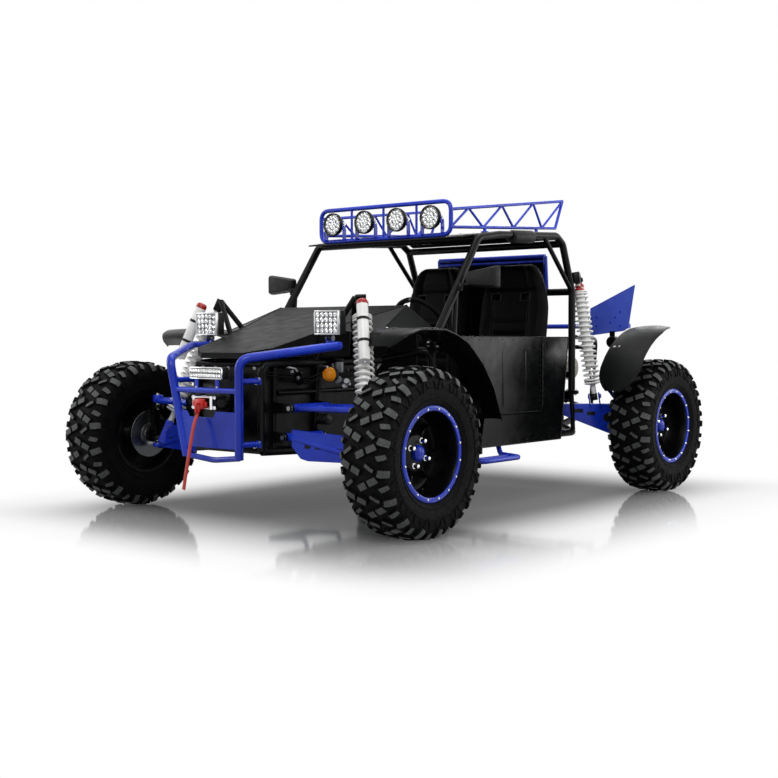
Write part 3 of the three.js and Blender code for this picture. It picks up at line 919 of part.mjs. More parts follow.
// Steering wheel on its column
{
  const grip = new THREE.TorusGeometry(steering.ringR - steering.gripR, steering.gripR, 5, 16);
  grip.applyQuaternion(new THREE.Quaternion().setFromUnitVectors(zAxis, columnWay));
  grip.translate(...wheelCentre.toArray());
  const spokes = [0, 90, 270].map((degrees) => {
    const angle = THREE.MathUtils.degToRad(degrees);
    const upWay = xAxis.clone().cross(columnWay);
    const end = wheelCentre.clone().addScaledVector(xAxis, Math.sin(angle) * (steering.ringR - steering.gripR))
      .addScaledVector(upWay, Math.cos(angle) * (steering.ringR - steering.gripR));
    return bar(wheelCentre, end, steering.gripR * 0.6);
  });
  const hub = bar(wheelCentre.clone().addScaledVector(columnWay, -steering.hubThick), wheelCentre.clone().addScaledVector(columnWay, steering.hubThick), steering.hubR, roundSides);
  const column = bar(wheelCentre, wheelCentre.clone().addScaledVector(columnWay, steering.columnLength), steering.columnR, pinSides);
  const collarEnd = boss.clone().addScaledVector(columnWay, -steering.boss - gap);
  const collar = bar(collarEnd.clone().addScaledVector(columnWay, -steering.collar), collarEnd, steering.collarR, roundSides);
  addMesh('steering_wheel', join(solid(grip), spokes, hub, column, collar), 'leather');
}

// Cabin tub: floor, side skins, back wall, shifter housing
const tubParts = [
  prism('z', [[-tub.sideX, -tub.sillTipY], [-tub.floorHalf, -tub.sillTipY], [-tub.floorHalf, -frame.cabFrontY + tubeR], [-frame.kneeX, -frame.kneeY + braceR],
    [frame.kneeX, -frame.kneeY + braceR], [tub.floorHalf, -frame.cabFrontY + tubeR], [tub.floorHalf, -tub.sillTipY], [tub.sideX, -tub.sillTipY],
    [tub.sideX, tub.rearY], [-tub.sideX, tub.rearY]], tub.floorZ, tub.floorZ + sheet),
  block(at(0, tub.rearY - sheet / 2, (tub.floorZ + tub.wallTopZ) / 2), tub.floorHalf * 2, sheet, tub.wallTopZ - tub.floorZ),
];
for (const [, side] of sides) {
  tubParts.push(prism('x', [[-tub.sillTipY - overrun, tub.sillLowZ], [tub.quarterLowY, tub.sillLowZ], [tub.quarterTopY, tub.quarterTopZ], [tub.quarterFrontY, tub.quarterTopZ],
    [tub.quarterFrontY, tub.sillTopZ], [-tub.sillTopY, tub.sillTopZ]], side * (tub.sideX - sheet), side * tub.sideX));
  tubParts.push(block(at(side * (shifter.hubHalf + gap + sheet / 2), shifter.y, (tub.floorZ + shifter.z + shifter.hubR) / 2), sheet, shifter.hubR * 2, shifter.z + shifter.hubR - tub.floorZ));
}
for (const [, side] of sides) {
  const leafY = door.rearY + door.hingeR * 2 + gap;
  tubParts.push(block(at(side * (tub.sideX + sheet / 2), leafY + door.hingeR, (door.hingeLowZ + door.hingeTopZ) / 2), sheet * 1.5,
    door.hingeR * 2, door.hingeTopZ - door.hingeLowZ));
}
tubParts.push(bar(at(-shifter.hubHalf - sheet, shifter.y, shifter.z), at(shifter.hubHalf + sheet, shifter.y, shifter.z), shifter.pinR, pinSides));
const riserCuts = [];
for (const y of [frame.seatRailFrontY, frame.seatRailRearY]) {
  for (const [, side] of sides) riserCuts.push(block(at(side * frame.cabX, y, tub.floorZ), tubeR * 2, tubeR * 2, tubeR));
}
addMesh('body_tub', join(tubParts).subtract(join(riserCuts)), 'panel');

{
  const pivot = at(0, shifter.y, shifter.z);
  const shape = join(
    tubeRing(xAxis, pivot, shifter.hubR, shifter.pinR + gap, shifter.hubHalf),
    bar(pivot.clone().setZ(shifter.z + shifter.hubR * 0.8), pivot.clone().setZ(shifter.z + shifter.length), shifter.rodR),
    turned([[0, -shifter.knobR], [shifter.knobR * 0.7, -shifter.knobR * 0.7], [shifter.knobR, 0], [shifter.knobR * 0.7, shifter.knobR * 0.8], [0, shifter.knobR]], zAxis,
      pivot.clone().setZ(shifter.z + shifter.length), roundSides),
  );
  const bore = bar(pivot.clone().setX(-shifter.hubR), pivot.clone().setX(shifter.hubR), bored(shifter.pinR), pinSides);
  addMesh('shift_lever', shape.subtract(bore), 'alloy');
}

// Doors hang on a piano hinge at their rear edge
for (const [name, side] of sides) {
  const skin = prism('x', [[door.rearY, door.lowZ], [door.rearY, door.topZ], [-door.frontTopY, door.topZ], [-door.frontTopY, door.frontTopZ], [-door.frontMidY, door.frontMidZ],
    [-door.frontLowY, door.lowZ]], side * (tub.sideX - sheet), side * tub.sideX);
  const hingeX = tub.sideX + door.hingeR + sheet / 4;
  const middle = (door.hingeLowZ + door.hingeTopZ) / 2;
  const leaf = block(at(side * (tub.sideX + sheet / 4), door.rearY - door.hingeR, middle), sheet, door.hingeR * 4, door.hingeTopZ - door.hingeLowZ);
  const barrel = bar(at(side * hingeX, door.rearY + door.hingeR, door.hingeLowZ), at(side * hingeX, door.rearY + door.hingeR, door.hingeTopZ), door.hingeR,
    roundSides);
  const inX = side * (tub.sideX - sheet - door.handleReach);
  const handle = bentTube([at(side * (tub.sideX - sheet / 2), -door.handleY, door.handleZ), at(inX, -door.handleY, door.handleZ),
    at(inX, -door.handleY + door.handleLength, door.handleZ), at(side * (tub.sideX - sheet / 2), -door.handleY + door.handleLength, door.handleZ)], door.handleR, door.handleR * 1.6, 6, 1);
  const hem = block(at(side * (tub.sideX - sheet * 2), (door.rearY - door.frontTopY) / 2, door.topZ - sheet / 2), sheet * 4, door.rearY + door.frontTopY, sheet);
  addMesh(`door_${name}`, join(skin, leaf, barrel, handle, hem), 'panel');
}

// Front fenders: swept sheet, narrower towards the sill, on a bracket pad
for (const [name, side] of sides) {
  const line = [
    [-fender.tipY, fender.tipZ], [-fender.crownY, fender.crownZ], [-fender.flatY, fender.crownZ], [-fender.bendY, fender.bendZ],
    [-fender.slopeY, fender.slopeZ], [-fender.midY, fender.midZ], [-fender.lowY, fender.lowZ], [-fender.endY, fender.endZ],
  ];
  const skin = curvedSheet(line, -fender.thick, side * fender.innerX, side * fender.outerTopX);
  const mask = [
    [side * fender.innerX, -fender.endY + overrun], [side * fender.outerLowX, -fender.endY + overrun],
    [side * lerp(fender.outerLowX, fender.outerTopX, 0.75), -fender.bendY], [side * fender.outerTopX, -fender.flatY],
    [side * fender.outerTopX, -fender.crownY + overrun], [side * (fender.outerTopX - fender.tipR), -fender.tipY - overrun],
    [side * (fender.innerX + fender.tipR), -fender.tipY - overrun], [side * fender.innerX, -fender.crownY + overrun],
  ];
  const shaped = skin.intersect(prism('z', side > 0 ? mask : mask.slice().reverse(), 0, fender.crownZ * 2));
  const pad = at(side * fender.padX, -cage.footY, frame.shoulderZ - fender.padDrop);
  const stayEnd = at(side * (fender.innerX + fender.tipR), -fender.slopeY, fender.slopeZ - fender.thick);
  const shape = join(shaped, block(pad, fender.thick * 2, fender.padSize, fender.padSize), bar(pad, stayEnd, fender.thick * 1.5));
  addMesh(`front_fender_${name}`, shape, 'panel');
}

// Front bumper with lamp brackets, LED bar and lower plate
const bumperParts = [];
for (const [, side] of sides) {
  const p = (x, y, z) => at(side * x, -y, z);
  const upright = (z) => between(p(bumper.lowX, bumper.lowY, bumper.lowZ), p(bumper.kneeX, bumper.kneeY, bumper.kneeZ),
    (z - bumper.lowZ) / (bumper.kneeZ - bumper.lowZ));
  bumperParts.push(bentTube([p(bumper.lowX, bumper.lowY, bumper.lowZ), p(bumper.kneeX, bumper.kneeY, bumper.kneeZ), p(bumper.endX, bumper.endY, bumper.endZ)],
    tubeR, bumper.bend, tubeSides, 2));
  for (const z of [bumper.stayZ, bumper.lowStayZ]) {
    const pad = p(frame.noseX, frame.noseY + tubeR * tubeFlat + gap + bumper.pad / 2, z);
    bumperParts.push(bar(upright(z), pad, braceR), block(pad, bumper.mountR * 2, bumper.pad, bumper.mountR * 2));
  }
  const lampFoot = p(cubeLamp.x, cubeLamp.y, cubeLamp.pivotZ - cubeLamp.earWidth);
  bumperParts.push(bar(p(bumper.endX, bumper.endY, bumper.endZ), lampFoot, cubeLamp.earWidth / 2));
  for (const k of [-1, 1]) {
    const earX = cubeLamp.x + k * (cubeLamp.earWidth / 2 + gap + sheet / 2);
    bumperParts.push(block(p(earX, cubeLamp.y, cubeLamp.pivotZ - cubeLamp.earWidth / 2), sheet, cubeLamp.earWidth * 0.8, cubeLamp.earWidth + cubeLamp.pivotR * 2));
  }
  bumperParts.push(block(p(cubeLamp.x, cubeLamp.y, cubeLamp.pivotZ - cubeLamp.earWidth), cubeLamp.earWidth * 1.3, cubeLamp.earWidth * 0.8, sheet * 2));
  bumperParts.push(bar(p(cubeLamp.x - cubeLamp.earWidth * 0.6, cubeLamp.y, cubeLamp.pivotZ), p(cubeLamp.x + cubeLamp.earWidth * 0.6, cubeLamp.y, cubeLamp.pivotZ), cubeLamp.pivotR, pinSides));
  bumperParts.push(block(p(ledBar.width * 0.32, bumper.kneeY - tubeR, (bumper.crossZ + ledBar.z) / 2), ledBar.depth / 2, sheet, ledBar.z - bumper.crossZ));
}
const crossShare = (bumper.crossZ - bumper.lowZ) / (bumper.kneeZ - bumper.lowZ);
const crossX = lerp(bumper.lowX, bumper.kneeX, crossShare);
const crossY = -lerp(bumper.lowY, bumper.kneeY, crossShare);
const plateLine = [[-bumper.plateHalf, bumper.plateLowZ], [bumper.plateHalf, bumper.plateLowZ], [bumper.plateHalf + tubeR, bumper.plateTopZ], [winch.x + winch.plateWidth * 0.6, bumper.plateTopZ],
  [winch.x + winch.plateWidth * 0.5, bumper.plateNotchZ], [winch.x - winch.plateWidth * 0.5, bumper.plateNotchZ], [winch.x - winch.plateWidth * 0.6, bumper.plateTopZ], [-bumper.plateHalf - tubeR, bumper.plateTopZ]];
const plateY = (z) => -lerp(bumper.lowY, bumper.kneeY, (z - bumper.lowZ) / (bumper.kneeZ - bumper.lowZ));
bumperParts.push(
  bar(at(-crossX, crossY, bumper.crossZ), at(crossX, crossY, bumper.crossZ), braceR),
  bentTube([at(-bumper.lowX, -bumper.lowY, bumper.lowZ + overrun), at(0, -bumper.skidY, bumper.skidZ), at(bumper.lowX, -bumper.lowY, bumper.lowZ + overrun)], braceR, bumper.bend * 4),
  plate(plateLine.map(([x, z]) => at(x, plateY(z) - bumper.plateThick / 2, z)), bumper.plateThick),
  block(at(0, -ledBar.y, ledBar.z), ledBar.width, ledBar.depth, ledBar.height),
);
addMesh('front_bumper', join(bumperParts), 'blue');

// Winch: drum and motor on a foot plate, roller fairlead, hook
{
  const low = winch.x - winch.length / 2;
  const high = winch.x + winch.length / 2;
  const footY = -frame.noseY - sheet / 2 - gap - sheet;
  const fairY = plateY(winch.z) + tubeR;
  const shape = join(
    bar(at(low, -winch.y, winch.z), at(high, -winch.y, winch.z), winch.drumR, roundSides),
    [low, high - winch.length * 0.3].map((x) => bar(at(x, -winch.y, winch.z), at(x + winch.length * 0.3, -winch.y, winch.z), winch.motorR, roundSides)),
    [low + winch.length * 0.15, high - winch.length * 0.15].map((x) => block(at(x, (footY - winch.y) / 2, winch.z), winch.motorR, Math.abs(footY + winch.y), winch.motorR)),
    block(at(winch.x, footY, winch.z), winch.length * 0.9, sheet * 2, winch.motorR * 1.6),
    block(at(winch.x, fairY, winch.z), winch.plateWidth, sheet * 2, winch.plateHeight),
    [-1, 1].map((k) => block(at(winch.x + k * winch.plateWidth * 0.45, (fairY - winch.y) / 2, winch.z), sheet * 2, Math.abs(fairY + winch.y), winch.motorR)),
    [-1, 1].map((k) => bar(at(winch.x + k * winch.plateWidth * 0.36, fairY - winch.rollerR, winch.z - winch.plateHeight * 0.45),
      at(winch.x + k * winch.plateWidth * 0.36, fairY - winch.rollerR, winch.z + winch.plateHeight * 0.45), winch.rollerR)),
    bar(at(winch.x, fairY, winch.z), at(winch.x, -winch.hookY, winch.hookZ), winch.rollerR * 0.7),
    bentTube([at(winch.x, -winch.hookY + winch.rollerR, winch.hookZ), at(winch.x, -winch.hookY - winch.rollerR, winch.hookZ), at(winch.x, -winch.hookY - winch.rollerR, winch.hookZ - winch.hookDrop),
      at(winch.x, -winch.hookY + winch.rollerR, winch.hookZ - winch.hookDrop), at(winch.x, -winch.hookY + winch.rollerR, winch.hookZ - winch.hookDrop * 0.45)],
    winch.rollerR * 0.6, winch.rollerR),
  );
  addMesh('winch', shape, 'black');
}

// Webbing pull strap hanging from the hook: its route, top to bottom
const strapRoute = [
  [-40, -1388, 489.8], [-40, -1393, 477], [-41, -1400, 462], [-41, -1407, 442], [-42, -1412, 420], [-44, -1416, 396],
  [-46, -1420, 370], [-49, -1423, 344], [-52, -1426, 318], [-55, -1429, 292], [-59, -1431, 266], [-63, -1433, 240],
  [-67, -1435, 214], [-71, -1436, 188], [-75, -1437, 165],
].map((p) => at(...p));
{
  const path = new THREE.CatmullRomCurve3(strapRoute);
  const half = strap.width / 2;
  const flat = new THREE.Shape([[-strap.thick / 2, -half], [strap.thick / 2, -half], [strap.thick / 2, half], [-strap.thick / 2, half]].map(([x, y]) => new THREE.Vector2(x, y)));
  const run = new THREE.ExtrudeGeometry(flat, { extrudePath: path, steps: strapRoute.length - 1, bevelEnabled: false });
  console.log(`pull strap ${path.getLength().toFixed(0)} mm long`);
  addMesh('pull_strap', solid(run), 'red');
}

// Cube lamps tilt on the bumper ends
for (const [name, side] of sides) {
  const centre = at(side * cubeLamp.x, -cubeLamp.y, cubeLamp.z);
  const tabTop = cubeLamp.z - cubeLamp.height / 2 + sheet;
  const pivot = centre.clone().setZ(cubeLamp.pivotZ);
  const tab = block(pivot.clone().setZ((tabTop + cubeLamp.pivotZ) / 2), cubeLamp.earWidth, cubeLamp.pivotR * 3.4, tabTop - cubeLamp.pivotZ);
  const knob = bar(pivot.clone().add(at(-cubeLamp.earWidth / 2, 0, 0)), pivot.clone().add(at(cubeLamp.earWidth / 2, 0, 0)), cubeLamp.pivotR * 1.7, roundSides);
  const bore = bar(pivot.clone().add(at(-cubeLamp.earWidth, 0, 0)), pivot.clone().add(at(cubeLamp.earWidth, 0, 0)), bored(cubeLamp.pivotR), pinSides);
  const shell = block(centre, cubeLamp.width, cubeLamp.depth, cubeLamp.height);
  addMesh(`cube_lamp_${name}`, join(shell, tab, knob).subtract(bore), 'lamp');
}

// Mirrors turn on posts of the cage
for (const [name, side] of sides) {
  const share = (mirror.pivotZ - mirror.armR * 2.25 - cage.footZ) / (cage.headerZ - cage.footZ);
  const postY = -lerp(cage.footY, cage.headerY, share);
  const pivot = at(side * mirror.pivotX, postY, mirror.pivotZ);
  const head = at(side * mirror.x, -mirror.y, mirror.z);
  const faceLine = [[-0.5, -0.3], [-0.38, -0.5], [0.4, -0.5], [0.5, -0.34], [0.5, 0.3], [0.38, 0.5], [-0.34, 0.5], [-0.5, 0.34]]
    .map(([u, v]) => [head.x + side * u * mirror.width, head.z + v * mirror.height]);
  const shell = prism('y', side > 0 ? faceLine : faceLine.reverse(), head.y - mirror.depth / 2, head.y + mirror.depth / 2);
  const bore = bar(pivot.clone().setZ(mirror.pivotZ - mirror.collar * 2), pivot.clone().setZ(mirror.pivotZ + mirror.collar * 2), bored(mirror.pinR), pinSides);
  const ring = bar(pivot.clone().setZ(mirror.pivotZ - mirror.collar + gap), pivot.clone().setZ(mirror.pivotZ + mirror.collar), mirror.pinR * 2, roundSides);
  const arm = bar(pivot.clone().add(at(side * mirror.pinR, 0, 0)), head.clone().add(at(0, 0, -mirror.height * 0.3)), mirror.armR * 0.8);
  addMesh(`mirror_${name}`, join(ring, arm, shell).subtract(bore), 'black');
}

// Engine with cylinder head, side cover, exhaust and muffler
{
  const bottom = motor.mountZ;
  const top = bottom + motor.height;
  const muffler = at(0, motor.muffY, motor.muffZ);
  const shape = join(
    block(at(0, motor.y, (bottom + top) / 2), motor.width, motor.length, motor.height),
    bar(at(-motor.headR, motor.y, top - overrun), at(-motor.headR, motor.y - motor.headR / 2, top + motor.headHeight), motor.headR, roundSides),
    bar(at(motor.coverX - overrun, motor.y, bottom + motor.coverR), at(motor.coverX + motor.coverThick, motor.y, bottom + motor.coverR), motor.coverR, roundSides),
    bar(muffler.clone().setX(-motor.muffLength / 2), muffler.clone().setX(motor.muffLength / 2), motor.muffR, roundSides),
    bentTube([at(-motor.headR, motor.y, top + motor.headHeight / 2), at(-motor.headR, motor.muffY, top + motor.headHeight / 2), muffler.clone().setX(-motor.headR)],
      motor.pipeR, motor.pipeR * 2),
    [-1, 1].map((k) => bar(muffler.clone().setX(k * motor.muffLength / 3), at(k * motor.muffLength / 3, motor.y + motor.length / 2 - overrun, top - motor.pipeR), motor.pipeR / 2)),
  );
  addMesh('engine', shape, 'alloy');
}

// Tail wings on their cross bar, with tail lamps
{
  const parts = [];
  for (const [, side] of sides) {
    const outline = [[tail.innerX, tail.lowZ], [tail.outerLowX, tail.outerLowZ], [tail.heelX, tail.heelZ], [tail.outerX, tail.outerTopZ], [tail.innerX, tail.innerTopZ]];
    const flip = outline.map(([x, z]) => [side * x, z]);
    parts.push(prism('y', side > 0 ? flip : flip.reverse(), tail.y, tail.y + sheet));
    parts.push(bar(at(side * tail.legX, tail.y + tail.barR, tail.barZ), at(side * tail.legX, frame.tailY, frame.tailTopZ + braceR + sheet), tail.barR * 0.8));
    parts.push(block(at(side * tail.legX, frame.tailY, frame.tailTopZ + braceR + gap + sheet / 2), tail.barR * 2.4, tail.barR * 2.4, sheet));
    parts.push(bar(at(side * tail.lampX, tail.y - tail.lampDepth / 3, tail.lampZ), at(side * tail.lampX, tail.y + tail.lampDepth, tail.lampZ), tail.lampR, roundSides));
    parts.push(block(at(side * tail.lampX, tail.y + sheet / 2, (tail.lampZ + tail.outerLowZ) / 2), tail.lampR, sheet, tail.outerLowZ - tail.lampZ));
  }
  parts.push(bar(at(-tail.heelX, tail.y + tail.barR, tail.barZ), at(tail.heelX, tail.y + tail.barR, tail.barZ), tail.barR));
  const cuts = sides.map(([, side]) => block(at(side * tail.legX, frame.tailY, frame.tailTopZ + braceR + gap - tail.barR), tail.barR * 4, tail.barR * 4, tail.barR * 2));
  addMesh('rear_plates', join(parts).subtract(join(cuts)), 'blue');
}

// Bucket seats: crowned cushion, drawn-in back with bolsters and headrest
function pillow(width, depth, height, crown, draw, across, along) {
  const geometry = new THREE.BoxGeometry(1, 1, 1, across, along, 2);
  const position = geometry.attributes.position;
  for (let i = 0; i < position.count; i += 1) {
    const u = position.getX(i) * 2;
    const v = position.getY(i) * 2;
    const w = position.getZ(i) * 2;
    const edge = Math.max(Math.abs(u), Math.abs(v));
    const round = 1 - (1 - cushionEdge) * Math.abs(w) * edge ** 6;
    const wing = Math.min(1, Math.max(0, (Math.abs(u) - wingStart) / (1 - wingStart)));
    const bulge = w > 0 ? crown * (1 - v * v) * (1 - u * u) + seat.bolster * Math.sin(Math.PI * wing) : 0;
    position.setXYZ(i, (u * width * round * (1 - draw * (1 - v * v) * (1 - Math.abs(w)))) / 2, (v * depth * round) / 2, (w * height) / 2 + bulge);
  }
  return geometry;
}
for (const [name, side] of sides) {
  const base = pillow(seat.width, seat.cushionRearY - seat.cushionFrontY, seat.cushionThick, seat.crown, seatDraw, 8, 4);
  base.translate(side * seat.x, (seat.cushionRearY + seat.cushionFrontY) / 2, seat.baseZ + seat.cushionThick / 2);
  const lean = Math.atan2(seat.topY - seat.cushionRearY, seat.topZ - seat.baseZ);
  const tall = (seat.topZ - seat.baseZ) / Math.cos(lean);
  const back = pillow(seat.width, tall, seat.backThick, seat.crown, seatDraw, 8, 7);
  const position = back.attributes.position;
  for (let i = 0; i < position.count; i += 1) {
    const share = position.getY(i) / tall + 0.5;
    const narrow = lerp(1, seat.headShare, THREE.MathUtils.smoothstep(share, seat.shoulderShare, 1));
    position.setX(i, position.getX(i) * narrow);
  }
  back.rotateX(Math.PI / 2 - lean);
  back.translate(side * seat.x, (seat.cushionRearY + seat.topY) / 2 + seat.backThick / 4, (seat.baseZ + seat.topZ) / 2);
  const cut = block(at(side * seat.x, seat.cushionRearY, seat.baseZ - seat.backThick), seat.width * 2, seat.backThick * 4, seat.backThick * 2);
  addMesh(`seat_${name}`, join(solid(base), solid(back)).subtract(cut), 'leather');
}

export default group;
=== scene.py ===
import math

import bmesh
import bpy
from mathutils import Matrix, Vector


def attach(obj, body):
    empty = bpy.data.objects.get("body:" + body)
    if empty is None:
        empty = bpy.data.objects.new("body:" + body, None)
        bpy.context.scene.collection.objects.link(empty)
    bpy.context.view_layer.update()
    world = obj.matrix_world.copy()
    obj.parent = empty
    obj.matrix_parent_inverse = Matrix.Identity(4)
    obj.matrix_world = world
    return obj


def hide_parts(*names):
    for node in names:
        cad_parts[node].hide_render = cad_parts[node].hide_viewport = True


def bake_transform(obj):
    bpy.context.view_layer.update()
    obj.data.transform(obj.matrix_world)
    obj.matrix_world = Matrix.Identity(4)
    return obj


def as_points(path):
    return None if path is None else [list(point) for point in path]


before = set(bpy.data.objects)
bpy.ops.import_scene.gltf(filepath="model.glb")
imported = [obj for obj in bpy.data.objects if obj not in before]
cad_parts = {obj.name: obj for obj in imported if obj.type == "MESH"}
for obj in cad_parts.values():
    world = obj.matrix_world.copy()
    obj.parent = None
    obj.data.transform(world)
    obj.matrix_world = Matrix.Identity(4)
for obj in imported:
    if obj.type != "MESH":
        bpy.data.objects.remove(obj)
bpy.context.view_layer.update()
bothSides = [("left", 1), ("right", -1)]
wheelPlaces = {  # side and hub centre of each wheel
    "front_left": (1, Vector((0.870, -1.050, 0.3501))),
    "front_right": (-1, Vector((-0.870, -1.050, 0.3501))),
    "rear_left": (1, Vector((0.860, 1.050, 0.3501))),
    "rear_right": (-1, Vector((-0.860, 1.050, 0.3501))),
}

# Camera at the photographer's place
camera = {"place": (3.978, -5.001, 0.811), "turn": 39.323, "dip": 2.32, "lens": 57.95}
eye = bpy.data.objects.new("camera", bpy.data.cameras.new("camera"))
bpy.context.scene.collection.objects.link(eye)
eye.location = camera["place"]
eye.rotation_euler = (math.radians(90 - camera["dip"]), 0, math.radians(camera["turn"]))
eye.data.lens = camera["lens"]
eye.data.sensor_width = 36
eye.data.clip_end = 200
bpy.context.scene.camera = eye
bpy.context.scene.view_settings.view_transform = "Standard"


def linear(code):  # sRGB hex to linear colour
    parts = [int(code[i:i + 2], 16) / 255 for i in (1, 3, 5)]
    return [c / 12.92 if c <= 0.04045 else ((c + 0.055) / 1.055) ** 2.4 for c in parts] + [1]


def addNode(tree, kind, settings=None, inputs=None):
    node = tree.nodes.new(kind)
    for key, value in (settings or {}).items():
        setattr(node, key, value)
    for key, value in (inputs or {}).items():
        if isinstance(value, bpy.types.NodeSocket):
            tree.links.new(value, node.inputs[key])
        else:
            node.inputs[key].default_value = value
    return node


def startMaterial(name, **sockets):
    material = bpy.data.materials.new(name)
    material.use_nodes = True
    tree = material.node_tree
    shader = tree.nodes["Principled BSDF"]
    for key, value in sockets.items():
        shader.inputs[key.replace("_", " ")].default_value = value
    coords = addNode(tree, "ShaderNodeTexCoord").outputs["Object"]
    return material, tree, shader, coords


def shades(tree, factor, *stops):
    ramp = addNode(tree, "ShaderNodeValToRGB", None, {"Fac": factor})
    ramp.color_ramp.elements[0].position, ramp.color_ramp.elements[-1].position = stops[0][0], stops[-1][0]
    ramp.color_ramp.elements[0].color, ramp.color_ramp.elements[-1].color = linear(stops[0][1]), linear(stops[-1][1])
    for place, code in stops[1:-1]:
        ramp.color_ramp.elements.new(place).color = linear(code)
    return ramp.outputs["Color"]


def spread(tree, factor, low, high, fromLow=0.3, fromHigh=0.7):
    return addNode(tree, "ShaderNodeMapRange", None, {"Value": factor, "From Min": fromLow, "From Max": fromHigh,
                                                      "To Min": low, "To Max": high}).outputs["Result"]


def noise(tree, coords, sizeMm, detail=2.0, rough=0.5):  # pattern about sizeMm across
    return addNode(tree, "ShaderNodeTexNoise", None, {"Vector": coords, "Scale": 1000 / sizeMm, "Detail": detail,
                                                      "Roughness": rough}).outputs["Fac"]


def bumpFrom(tree, shader, height, depthMm, strength=1.0):
    bump = addNode(tree, "ShaderNodeBump", None, {"Height": height, "Distance": depthMm / 1000, "Strength": strength})
    tree.links.new(bump.outputs["Normal"], shader.inputs["Normal"])


def powderCoat(name, dark, mid, light, roughLow, roughHigh, peelMm=0.06, gloss=0.5):
    # baked powder paint: even colour, faint orange peel, softer gloss where hands and dust touch it
    material, tree, shader, coords = startMaterial(name, IOR=1.5, Specular_IOR_Level=gloss)
    wide = noise(tree, coords, 160, 3)
    tree.links.new(shades(tree, wide, (0.3, dark), (0.52, mid), (0.75, light)), shader.inputs["Base Color"])
    tree.links.new(spread(tree, noise(tree, coords, 35, 4), roughLow, roughHigh), shader.inputs["Roughness"])
    bumpFrom(tree, shader, noise(tree, coords, 4.5, 1), peelMm, 0.5)  # real peel is 1 to 2 mm across
    return material


bluePowder = powderCoat("blue_powder_coat", "#1029A2", "#1835B8", "#2243CA", 0.18, 0.3, 0.06, 0.3)
blackPowder = powderCoat("black_powder_coat", "#030303", "#050506", "#080909", 0.24, 0.4, 0.06, 0.12)
# paler than the blue powder coat: a painted sheen, for the sky that the flat sheet reflects
plateBluePaintedSheen = powderCoat("satin_blue_sheet_coat_painted_sheen", "#3A4EB8", "#4459C4", "#4E65CE", 0.32, 0.42, 0.06, 0.4)
whitePowder = powderCoat("white_powder_coat", "#DADAD8", "#EDEDEB", "#F6F6F4", 0.28, 0.4)
redAnodised = powderCoat("red_anodised_alloy", "#860C0A", "#9E120D", "#B41A12", 0.2, 0.32, 0.01)


def panelBlack(name, gloss, smooth, dull):
    # thermoformed glossy ABS: near black, faint dust film, very slight waviness
    material, tree, shader, coords = startMaterial(name, IOR=1.46, Specular_IOR_Level=gloss)
    film = noise(tree, coords, 220, 4, 0.6)
    tree.links.new(shades(tree, film, (0.35, "#050606"), (0.7, "#0D0E0E")), shader.inputs["Base Color"])
    tree.links.new(spread(tree, noise(tree, coords, 60, 5), smooth, dull), shader.inputs["Roughness"])
    bumpFrom(tree, shader, noise(tree, coords, 3, 2), 0.03, 0.4)
    return material


def tyreBlack():
    # moulded rubber: matt, finely pitted; the block tops are greyer, partly from wear and partly a painted highlight
    material, tree, shader, coords = startMaterial("moulded_tyre_rubber", IOR=1.52, Specular_IOR_Level=0.06)
    dust = noise(tree, coords, 45, 5, 0.65)
    tree.links.new(shades(tree, dust, (0.3, "#040405"), (0.55, "#070708"), (0.8, "#101011")),
                   shader.inputs["Base Color"])
    tree.links.new(spread(tree, noise(tree, coords, 12, 3), 0.55, 0.8), shader.inputs["Roughness"])
    bumpFrom(tree, shader, noise(tree, coords, 2.5, 3), 0.25, 0.6)
    return material


def blockTopScuffAndHighlight():
    # the ground faces of the tread blocks, paler: partly scuffing, partly a painted highlight where light falls on
    # the block tops
    material, tree, shader, coords = startMaterial("tread_tops_scuffed_and_painted_highlight", IOR=1.52, Specular_IOR_Level=0.3)
    scuff = noise(tree, coords, 9, 5, 0.7)
    tree.links.new(shades(tree, scuff, (0.25, "#252627"), (0.55, "#434445"), (0.8, "#6A6B6C")),
                   shader.inputs["Base Color"])
    shader.inputs["Roughness"].default_value = 0.6
    bumpFrom(tree, shader, noise(tree, coords, 1.6, 3), 0.2, 0.6)
    return material


def metal(name, code, paler, roughLow, roughHigh, grainMm, stretch=(1, 1, 1)):
    # bare metal: tinted reflections, roughness broken up by its grain
    material, tree, shader, coords = startMaterial(name, Metallic=1.0)
    grain = addNode(tree, "ShaderNodeMapping", None, {"Vector": coords, "Scale": stretch}).outputs["Vector"]
    speck = noise(tree, grain, grainMm, 4, 0.6)
    tree.links.new(shades(tree, speck, (0.3, code), (0.7, paler)), shader.inputs["Base Color"])
    tree.links.new(spread(tree, speck, roughLow, roughHigh), shader.inputs["Roughness"])
    bumpFrom(tree, shader, speck, 0.05, 0.4)
    return material


chromeSteel = metal("polished_chrome", "#D9DBDE", "#F2F3F4", 0.05, 0.14, 20)
zincSteel = metal("zinc_plated_steel", "#A9ABAD", "#C9CACB", 0.25, 0.4, 3)
castAlloy = metal("sand_cast_alloy", "#6E7073", "#8B8D90", 0.42, 0.6, 1.5)
darkAlloy = metal("black_anodised_alloy", "#141517", "#222326", 0.3, 0.45, 2)
turnedSteel = metal("turned_brake_steel", "#4E5052", "#77797B", 0.26, 0.4, 1.2)


def blackVinylPaintedShade():
    # embossed seat vinyl: small pebble grain with a soft sheen; its base colour is darker than the vinyl's own black,
    # a painted shade of the cabin
    material, tree, shader, coords = startMaterial("black_seat_vinyl_painted_shade", IOR=1.5, Specular_IOR_Level=0.05)
    pebble = addNode(tree, "ShaderNodeTexVoronoi", {"feature": "F1"},
                     {"Vector": coords, "Scale": 1000 / 3.2}).outputs["Distance"]
    tree.links.new(shades(tree, noise(tree, coords, 80, 3), (0.3, "#020202"), (0.7, "#060606")),
                   shader.inputs["Base Color"])
    tree.links.new(spread(tree, pebble, 0.42, 0.6, 0.0, 0.6), shader.inputs["Roughness"])
    bumpFrom(tree, shader, pebble, 0.5, 0.6)
    return material


